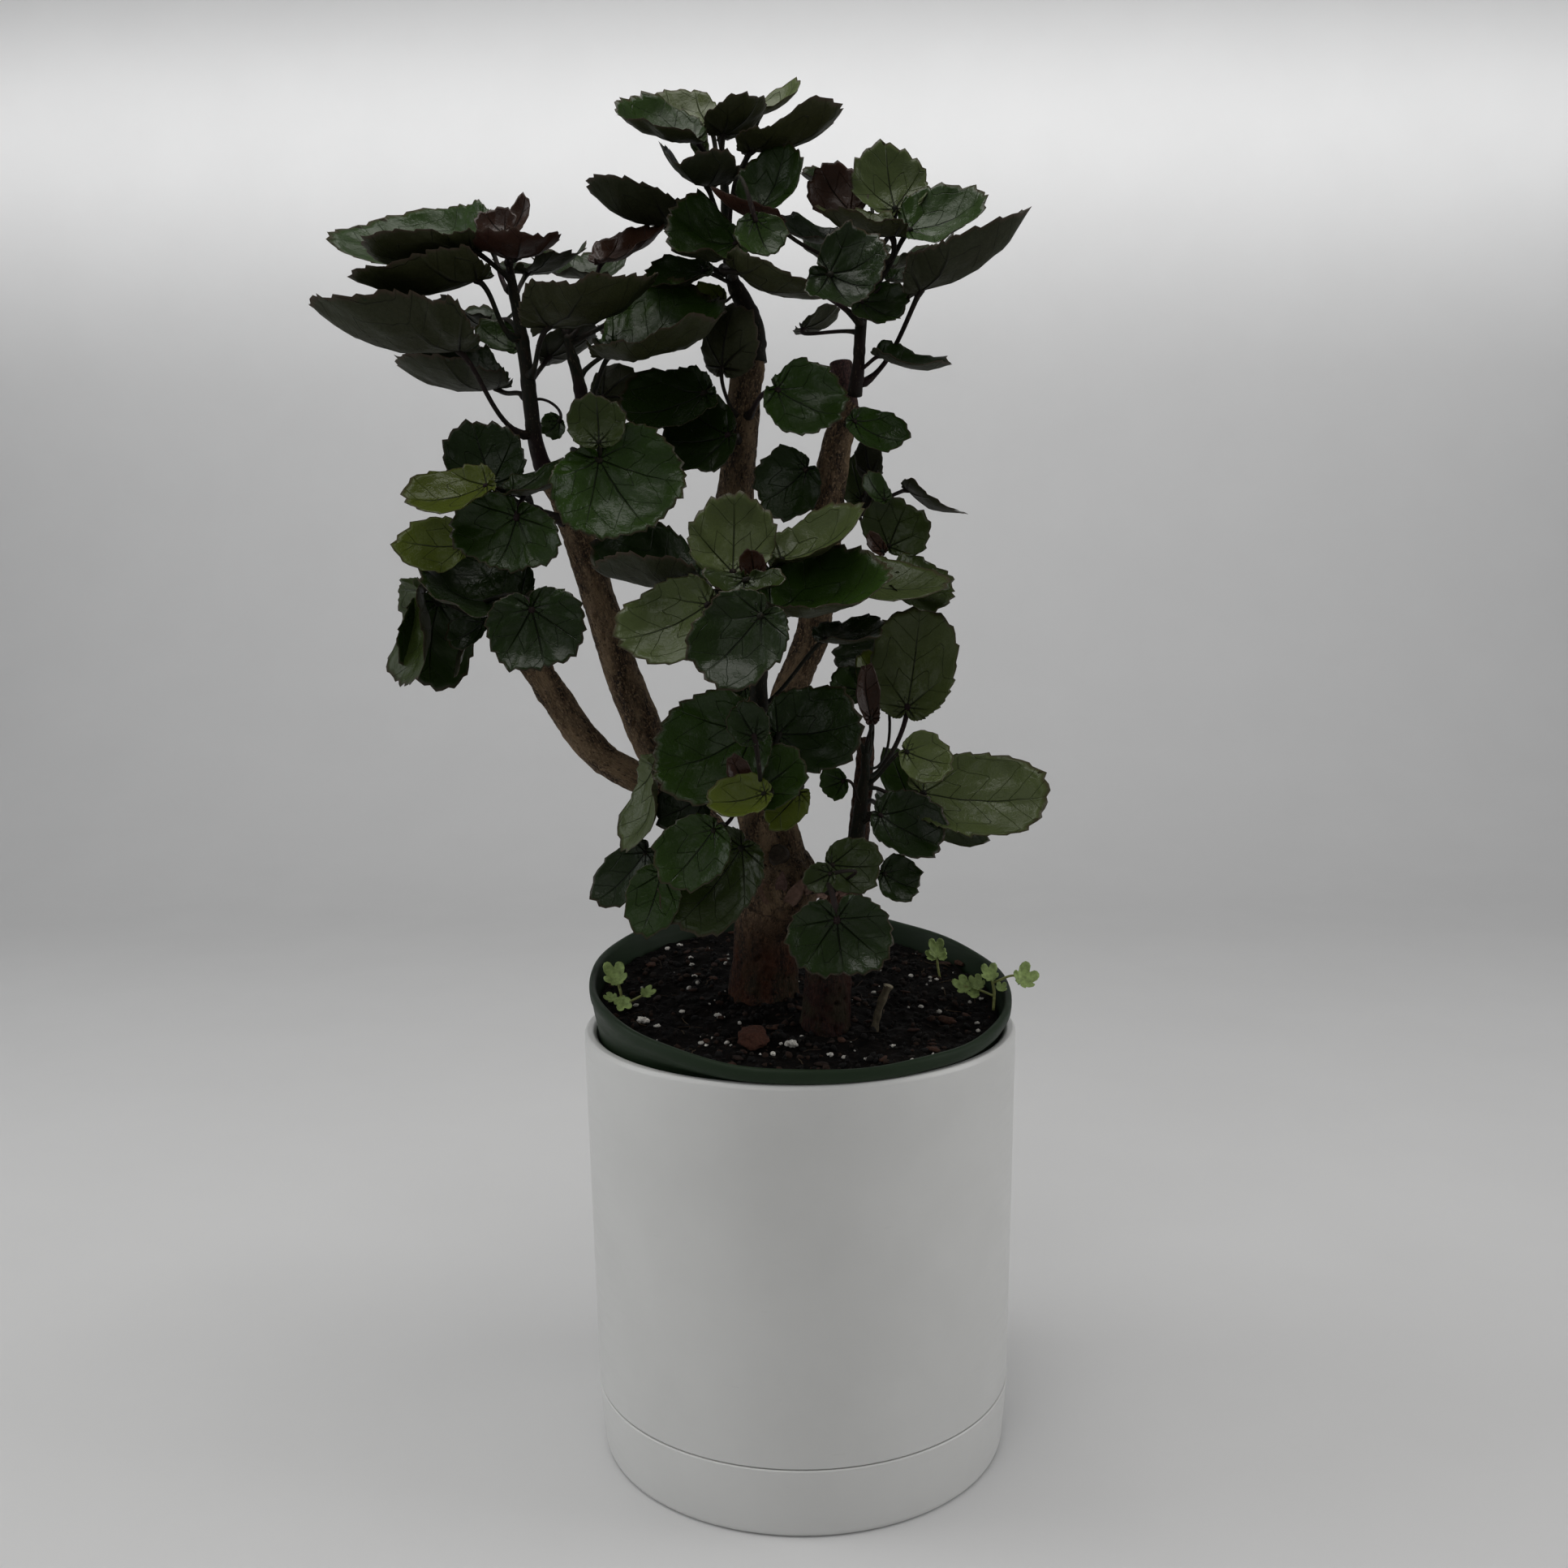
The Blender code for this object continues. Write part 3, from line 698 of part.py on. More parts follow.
BENDS = [(0, 0, 0), (0, -9, 0), (0, 9, 0), (9, 0, 0), (-9, 0, 0), (0, 0, -9), (0, 0, 9), (0, -18, 0), (0, 18, 0), (16, -8, 0), (-16, -8, 0), (0, -10, -16), (0, -12, 16)]
TRIES = sorted((abs(k) * 2.5 + 0.3 * i, k * 2.5, bend) for k in range(-12, 13) for i, bend in enumerate(BENDS))


def settle(row):
    """Slides a leaf along its line of sight and bends its petiole until it is clear."""
    name, stem, own = row[0], row[1], row[10]
    home = stem if not own and stem in SHOOTS else name
    best = None
    for _, push, bend in TRIES:
        frame = leaf_frame(row, push, bend)
        verts, faces = leaf_solid(frame, BLADE_T + 0.9, PETIOLE_R + 0.35)
        box, tree = box_of(verts), tree_of(verts, faces)
        hard = soft = 0
        if len(placed) and (best is None or best[0][0] > 0 or best[0][1] > 0):
            plain_verts, plain_faces = leaf_solid(frame, BLADE_T, PETIOLE_R)
            plain = tree_of(plain_verts, plain_faces)
            hard += 2 * sum(1 for a, b in plain.overlap(plain) if a < b and not set(plain_faces[a]) & set(plain_faces[b]))
        for other, other_home, other_tree, other_box in placed:
            if other == home:
                continue
            if boxes_meet(box, other_box):
                found = len(tree.overlap(other_tree))
                if other_home == home:
                    soft += found
                else:
                    hard += found
        if best is None or (hard, soft) < best[0]:
            best = ((hard, soft), push, frame, tree, box)
        if hard == 0 and (soft == 0 or (abs(push) >= 12.5 and best[0][0] == 0)):
            break
    (hard, soft), push, frame, tree, box = best
    if not hard:
        placed.append((name, home, tree, box))
    return frame, hard, soft, push


TONES = {"d": (0.012, 0.022, 0.010), "g": (0.022, 0.048, 0.016), "o": (0.050, 0.050, 0.020), "p": (0.060, 0.085, 0.040), "y": (0.075, 0.085, 0.018), "m": (0.060, 0.022, 0.018)}
on_shoot = {name: [] for name in SHOOTS}
for row in LEAVES:
    name, stem, own, kind = row[0], row[1], row[10], row[9]
    frame, hard, soft, push = settle(row)
    if hard:
        print("leaf", name, "left out, it meets its neighbours:", hard)
        continue
    if soft or abs(push) > 12:
        print("leaf", name, "moved", push, "touching its own shoot", soft)
    verts, faces = leaf_solid(frame, BLADE_T, PETIOLE_R)
    if own:
        make_object("leaf_" + name, verts, faces, TONES[kind], 0.35)
    elif stem in on_shoot:
        on_shoot[stem].append(make_object("grown_" + name, verts, faces, TONES[kind], 0.35))
    else:
        make_object("leaf_" + name, verts, faces, TONES[kind], 0.35)

for name, rows in SHOOTS.items():
    path = rows
    tube_verts, tube_faces = tube([at(*p[:3]) for p in path], [p[3] for p in path], 7)
    stem = make_object("shoot_" + name, tube_verts, tube_faces, GREEN, 0.5)
    fuse(stem, on_shoot[name])
    paint(stem, GREEN, 0.5)

# ---------------------------------------------------------------- things on the mix
def on_soil(u, v, lift=0.0):
    """The point of the mix's surface seen at u, v on the sheet."""
    low, high = -90.0, 90.0
    for _ in range(40):
        middle = (low + high) / 2
        p = at(u, v, middle)
        if p.z > soil_z(p.x, p.y):
            low = middle
        else:
            high = middle
    p = at(u, v, (low + high) / 2)
    return Vector((p.x, p.y, soil_z(p.x, p.y) + lift))


chip_middle = on_soil(928, 1287, 3.0)
rings = []
for k, (slide, size) in enumerate(((-8.0, 0.35), (-5.0, 0.85), (0.0, 1.0), (5.0, 0.8), (8.0, 0.3))):
    ring = []
    for i in range(10):
        angle = 2 * math.pi * i / 10
        ring.append(chip_middle + Vector((slide * 0.75, slide * 0.62, 0.15 * slide)) + Vector((-0.5, 0.62, 0)) * (5.0 * size * math.cos(angle)) + Vector((0, 0, 1)) * (1.6 * size * math.sin(angle)))
    rings.append(ring)
verts, faces = ring_loft(rings)
make_object("bark_chip", verts, faces, (0.12, 0.05, 0.03), 0.85)

foot = on_soil(1077, 1270, 0.9)
verts, faces = tube([foot, foot + Vector((1.2, 1.5, 6.0)), foot + Vector((3.6, 2.0, 12.5)), foot + Vector((5.6, 2.4, 17.0))], [1.7, 1.5, 1.4, 2.1], 8)
make_object("twig_stub", verts, faces, (0.18, 0.15, 0.10), 0.85)


def seedling(name, foot, twigs, leaflets):
    """A weed seedling: thread-like stalks and flat leaflets grown together."""
    parts = []
    for points, radius in twigs:
        tube_verts, tube_faces = tube([foot + Vector(p) for p in points], [radius] * len(points), 6)
        parts.append(make_object(name + "_stalk", tube_verts, tube_faces, (0.2, 0.25, 0.08)))
    for centre, tilt, size in leaflets:
        middle = foot + Vector(centre)
        face_up = Vector(tilt).normalized()
        side = face_up.orthogonal().normalized()
        other = face_up.cross(side)
        rings = []
        for lift, grow in ((-0.45, 0.55), (0.0, 1.0), (0.45, 0.55)):
            rings.append([middle + face_up * lift + (side * math.cos(2 * math.pi * i / 10) + other * math.sin(2 * math.pi * i / 10)) * size * grow for i in range(10)])
        disc_verts, disc_faces = ring_loft(rings)
        parts.append(make_object(name + "_leaflet", disc_verts, disc_faces, (0.3, 0.36, 0.1)))
    fuse(parts[0], parts[1:])
    parts[0].name = name
    paint(parts[0], (0.3, 0.36, 0.1), 0.6)


seedling("seedling_left", on_soil(768, 1243, 0.8), [
    ([(0, 0, 0), (-1.0, 1.0, 6.0), (-2.4, 1.6, 12.0)], 0.7),
    ([(-0.2, 0.1, 1.0), (5.0, 2.0, 3.2), (9.0, 2.6, 5.0)], 0.6),
    ([(0.0, 0.0, 1.4), (0.6, -4.0, 2.0), (0.8, -6.0, 2.6)], 0.6),
], [((-3.0, 1.6, 12.3), (0, -0.5, 0.85), 4.6), ((9.6, 2.6, 5.2), (0, -0.6, 0.8), 2.6), ((0.8, -6.6, 2.9), (0, -0.4, 0.9), 3.2)])
seedling("seedling_back", on_soil(1158, 1206, 0.8), [([(0, 0, 0), (-0.8, 0.5, 5.0), (-1.2, 0.6, 9.0)], 0.6)],
         [((-1.4, 0.5, 11.8), (0.2, -0.95, 0.2), 3.6), ((-3.4, 0.3, 9.6), (0.2, -0.6, 0.8), 2.0)])
seedling("seedling_right", on_soil(1224, 1246, 0.8), [
    ([(0, 0, 0), (0.4, 1.0, 7.0), (-0.6, 2.0, 13.0)], 0.8),
    ([(-0.2, 1.6, 10.6), (6.0, -1.0, 14.0), (11.0, -3.0, 15.0)], 0.6),
    ([(0.2, 0.8, 5.6), (-6.0, 2.0, 8.0), (-11.0, 3.0, 9.0)], 0.6),
], [((13.0, -3.6, 15.2), (0.1, -0.6, 0.8), 4.2), ((-0.8, 2.0, 13.6), (0, -0.6, 0.8), 3.4), ((-12.0, 3.4, 9.6), (0, -0.7, 0.7), 3.4), ((-6.5, 2.0, 9.6), (0, -0.8, 0.5), 2.8)])
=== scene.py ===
"""Potted aralia, the finished surfaces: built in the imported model's frame (metres, +Z up)."""
import json
import math
import random

import bpy
import numpy as np
from mathutils import Matrix, Vector, noise
from mathutils.bvhtree import BVHTree
from mathutils.kdtree import KDTree

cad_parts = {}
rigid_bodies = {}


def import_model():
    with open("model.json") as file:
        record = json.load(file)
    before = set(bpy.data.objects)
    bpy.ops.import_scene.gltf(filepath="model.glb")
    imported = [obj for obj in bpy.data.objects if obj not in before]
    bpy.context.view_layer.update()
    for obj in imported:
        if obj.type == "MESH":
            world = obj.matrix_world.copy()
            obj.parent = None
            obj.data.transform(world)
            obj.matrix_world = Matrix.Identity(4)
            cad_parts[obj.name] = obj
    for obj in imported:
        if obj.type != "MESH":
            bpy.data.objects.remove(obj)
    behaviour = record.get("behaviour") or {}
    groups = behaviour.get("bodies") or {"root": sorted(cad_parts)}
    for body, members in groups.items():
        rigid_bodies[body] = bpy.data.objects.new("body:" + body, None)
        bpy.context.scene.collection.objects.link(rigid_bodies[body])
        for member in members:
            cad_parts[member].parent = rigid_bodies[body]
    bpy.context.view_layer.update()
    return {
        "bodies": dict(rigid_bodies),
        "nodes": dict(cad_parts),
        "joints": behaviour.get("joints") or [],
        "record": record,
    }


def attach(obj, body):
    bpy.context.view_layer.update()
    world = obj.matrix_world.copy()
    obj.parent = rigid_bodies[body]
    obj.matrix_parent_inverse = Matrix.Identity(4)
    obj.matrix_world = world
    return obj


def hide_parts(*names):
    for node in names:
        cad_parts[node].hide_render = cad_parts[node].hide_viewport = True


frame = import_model()

MM = 0.001

# ---------------------------------------------------------------- driving dimensions (mm)
SAUCER_R_FOOT = 81.3
SAUCER_R_RIM = 83.5
SAUCER_H = 27.0
SAUCER_WALL = 3.6
SAUCER_FLOOR = 4.0
PLANTER_R_RIM = 86.0
PLANTER_R_SEAM = 81.7
PLANTER_H = 170.0
PLANTER_SEAM_Z = 27.4
PLANTER_R_INNER_RIM = 81.2
PLANTER_R_INNER_LOW = 76.6
PLANTER_FOOT_R = 78.6
PLANTER_FOOT_Z = 4.3
PLANTER_FLOOR_Z = 9.0
DRAIN_HOLE_R = 5.0
POT_RIM_R = 84.0
POT_WAIST_R = 80.5
POT_BASE_R = 56.0
POT_BASE_Z = 9.6
POT_RIM_CENTRE = (0.2, -1.7, 187.8)
POT_TILT_X = -0.0465
POT_TILT_Y = 0.149
POT_BASE_SHIFT = (-4.0, 10.0)
SOIL_BELOW_RIM = 8.0
GAP = 0.35
PETIOLE_R = 0.95
BLADE_T = 1.0
STUMPS = ((-14.7, 0.0, 13.4), (9.6, -29.5, 9.2))

# ---------------------------------------------------------------- the elevation sheet
SHEET = 1860.0
EYE = Vector((0.0, -594.2, 332.2))
PITCH, YAW, ROLL = 0.1111, -0.0089, -0.0108
AHEAD = Vector((math.sin(YAW) * math.cos(PITCH), math.cos(YAW) * math.cos(PITCH), -math.sin(PITCH)))
_RIGHT = Vector((math.cos(YAW), -math.sin(YAW), 0.0))
_UP = _RIGHT.cross(AHEAD)
RIGHT = _RIGHT * math.cos(ROLL) + _UP * math.sin(ROLL)
UP = _UP * math.cos(ROLL) - _RIGHT * math.sin(ROLL)


def at(u, v, depth):
    """The point of the frame (mm) at u, v on the sheet and depth mm behind the axis."""
    ray = AHEAD * SHEET + RIGHT * (u - 966.0) + UP * (966.0 - v)
    return EYE + ray * ((depth - EYE.y) / ray.y)


def rim_z(x, y, below=0.0):
    return POT_RIM_CENTRE[2] + POT_TILT_X * (x - POT_RIM_CENTRE[0]) + POT_TILT_Y * (y - POT_RIM_CENTRE[1]) - below


def ring_loft(rings, closed=False):
    """Faces between rings of points, all of one count; closed joins the last to the first."""
    count = len(rings[0])
    verts = [p for ring in rings for p in ring]
    faces = []
    spans = len(rings) if closed else len(rings) - 1
    for r in range(spans):
        a, b = r * count, ((r + 1) % len(rings)) * count
        for i in range(count):
            j = (i + 1) % count
            faces.append((a + i, a + j, b + j, b + i))
    if not closed:
        faces.append(tuple(reversed(range(count))))
        faces.append(tuple((len(rings) - 1) * count + i for i in range(count)))
    return verts, faces


def smooth_path(points, times):
    """A Catmull-Rom curve through rows of any number of values, with times points a span."""
    out = []
    last = len(points) - 1
    for i in range(last):
        p0, p1, p2, p3 = points[max(i - 1, 0)], points[i], points[i + 1], points[min(i + 2, last)]
        for k in range(times):
            t = k / times
            out.append([
                0.5 * (2 * b + (c - a) * t + (2 * a - 5 * b + 4 * c - d) * t * t + (3 * b - a - 3 * c + d) * t ** 3)
                for a, b, c, d in zip(p0, p1, p2, p3)
            ])
    out.append(list(points[last]))
    return out


def tube(points, radii, sides, swell=None):
    """A tapered tube with flat ends along points; swell(k, angle) may scale its radius."""
    count = len(points)
    tangents = []
    for k in range(count):
        step = points[min(k + 1, count - 1)] - points[max(k - 1, 0)]
        tangents.append(step.normalized())
    side = tangents[0].orthogonal().normalized()
    rings = []
    for k in range(count):
        side = (side - tangents[k] * side.dot(tangents[k])).normalized()
        other = tangents[k].cross(side)
        ring = []
        for i in range(sides):
            angle = 2 * math.pi * i / sides
            radius = radii[k] * (swell(k, angle) if swell else 1.0)
            ring.append(points[k] + (side * math.cos(angle) + other * math.sin(angle)) * radius)
        rings.append(ring)
    return ring_loft(rings)


POT_SEGMENTS = 144


def level_ring(radius, z, centre=(0.0, 0.0)):
    return [(centre[0] + radius * math.cos(2 * math.pi * i / POT_SEGMENTS), centre[1] + radius * math.sin(2 * math.pi * i / POT_SEGMENTS), z) for i in range(POT_SEGMENTS)]


def rim_ring(radius, below):
    """A ring in the tilted rim's own plane; the soft rim is a little out of true."""
    ring = []
    for i in range(POT_SEGMENTS):
        angle = 2 * math.pi * i / POT_SEGMENTS
        wave = 1.0 + 0.004 * math.sin(3 * angle + 0.6)
        x = POT_RIM_CENTRE[0] + radius * wave * math.cos(angle)
        y = POT_RIM_CENTRE[1] + radius * wave * math.sin(angle)
        ring.append((x, y, rim_z(x, y, below)))
    return ring


def soil_z(x, y):
    """The mix lies level with the rim, heaped a little round the stumps."""
    heap = sum(2.2 * math.exp(-((x - sx) ** 2 + (y - sy) ** 2) / (2 * (sr + 9.0) ** 2)) for sx, sy, sr in STUMPS)
    lumps = 0.5 * math.sin(0.19 * x + 0.7) * math.cos(0.23 * y) + 0.35 * math.sin(0.41 * x - 0.33 * y)
    return rim_z(x, y, SOIL_BELOW_RIM) + heap * 0.6 + lumps


BARK = (0.16, 0.10, 0.06)
WOOD_LEFT = {
    "trunk": [(945, 1168, -3, 13.2), (946, 1135, -6, 13.4), (956, 1105, -10, 15.2), (962, 1078, -12, 14.6), (952, 1050, -12, 9.5), (944, 1034, -12, 6.5)],
    "cane_centre": [(958, 1090, -8, 8.5), (940, 1048, -8, 7.6), (928, 1005, -6, 6.3), (925, 950, 0, 6.0), (920, 870, 6, 6.3), (908, 785, 9, 6.8), (902, 700, 10, 7.1), (906, 610, 10, 7.3), (911, 560, 10, 6.9), (916, 500, 10, 6.6), (921, 458, 10, 6.5), (926, 440, 10, 5.6)],
    "cane_right": [(972, 1090, -16, 8.5), (968, 1045, -18, 7.0), (955, 985, -18, 6.2), (952, 925, -18, 6.1), (964, 872, -15, 6.2), (984, 825, -12, 6.4), (1001, 780, -10, 6.6), (1013, 700, -7, 6.4), (1021, 620, -4, 6.2), (1028, 560, -2, 6.0), (1040, 515, 0, 5.2), (1048, 496, 0, 5.6)],
    "cut_stub": [(1045, 512, 0, 4.6), (1040, 485, 4, 4.6), (1036, 449, 8, 4.4)],
    "cane_front": [(952, 1082, -18, 7.0), (938, 1035, -26, 6.2), (932, 985, -34, 5.5), (934, 930, -39, 5.2), (936, 896, -41, 4.4)],
    "cane_low_left": [(940, 1112, -2, 9.0), (898, 1068, 3, 7.8), (852, 1012, 4, 6.9), (805, 968, 1, 6.4), (775, 953, -2, 6.2), (745, 935, -4, 6.1), (712, 900, -6, 6.0), (685, 860, -9, 5.9), (655, 815, -13, 5.6), (626, 782, -16, 4.4), (608, 767, -18, 3.4)],
    "cane_high_left": [(930, 1085, 4, 8.0), (878, 1030, 10, 7.4), (835, 975, 15, 7.1), (812, 935, 17, 7.2), (795, 900, 17, 7.3), (775, 850, 15, 7.2), (760, 810, 13, 7.1), (745, 760, 11, 6.9), (724, 695, 8, 6.6), (709, 650, 5, 6.3), (692, 612, 0, 5.2), (678, 593, -3, 4.2)],
}
WOOD_RIGHT = {
    "stump": [(1020, 1216, -31, 9.0), (1022, 1170, -31, 8.3), (1032, 1115, -30, 7.2), (1045, 1075, -28, 6.2), (1051, 1058, -27, 4.6)],
    "old_cane": [(1042, 1092, -26, 5.2), (1056, 1040, -14, 4.4), (1062, 985, -8, 3.9), (1066, 940, -6, 3.6), (1066, 908, -6, 3.2)],
}


SHOOTS = {
    "left_crown": [(671, 582, -5, 3.2), (660, 545, -8, 3.0), (654, 500, -10, 2.8), (648, 450, -12, 2.6), (641, 405, -12, 2.3), (632, 355, -12, 1.8), (626, 318, -12, 1.2)],
    "left_inner": [(725, 596, 3, 2.6), (723, 560, 2, 2.6), (718, 500, 0, 2.6), (712, 465, 0, 2.4), (704, 435, 0, 1.9), (699, 415, 0, 1.4)],
    "centre_crown": [(929, 432, 10, 4.6), (927, 400, 10, 4.3), (914, 368, 10, 3.5), (902, 343, 10, 2.7), (897, 300, 10, 2.2), (894, 250, 10, 1.8), (891, 205, 10, 1.4), (889, 178, 10, 0.9)],
    "right_crown": [(1055, 472, -5, 2.7), (1058, 448, -8, 2.3), (1060, 410, -6, 2.2), (1064, 370, -3, 1.9), (1070, 330, 0, 1.5), (1077, 300, 0, 1.1)],
    "low_left": [(689, 640, -3, 2.1), (672, 634, -12, 1.9), (650, 632, -18, 1.5)],
    "far_left": [(601, 764, -19, 2.4), (592, 760, -20, 2.0), (584, 757, -21, 1.4)],
    "right_middle": [(1047, 634, -3, 2.2), (1060, 630, -5, 2.0), (1070, 618, -7, 1.6), (1074, 596, -7, 1.2)],
    "front": [(936, 888, -42, 3.4), (935, 850, -44, 3.2), (936, 800, -45, 2.9), (936, 755, -46, 2.5), (931, 722, -47, 1.9), (926, 704, -47, 1.3)],
    "right_low": [(1053, 1052, -28, 3.0), (1058, 1015, -30, 2.7), (1062, 980, -32, 2.3), (1066, 955, -33, 1.9), (1066, 930, -33, 1.3)],
    "left_low": [(907, 1044, -20, 2.3), (890, 1032, -30, 2.0), (874, 1020, -36, 1.5)],
    "front_fork": [(919, 962, -42, 2.1), (912, 954, -47, 1.8), (905, 942, -50, 1.2)],
    "front_low": [(1001, 1094, -29, 2.2), (1016, 1094, -38, 1.9), (1030, 1094, -44, 1.4)],
}
STEM_LINES = {}
for name, rows in SHOOTS.items():
    STEM_LINES[name] = smooth_path(rows, 4)
STEM_LINES["cane_centre"] = smooth_path(WOOD_LEFT["cane_centre"], 4)
STEM_LINES["cane_right"] = smooth_path(WOOD_LEFT["cane_right"], 4)
STEM_LINES["cut_stub"] = smooth_path(WOOD_LEFT["cut_stub"], 4)
STEM_LINES["cane_high_left"] = smooth_path(WOOD_LEFT["cane_high_left"], 4)
STEM_LINES["cane_front"] = smooth_path(WOOD_LEFT["cane_front"], 4)
STEM_LINES["trunk"] = smooth_path(WOOD_LEFT["trunk"], 4)

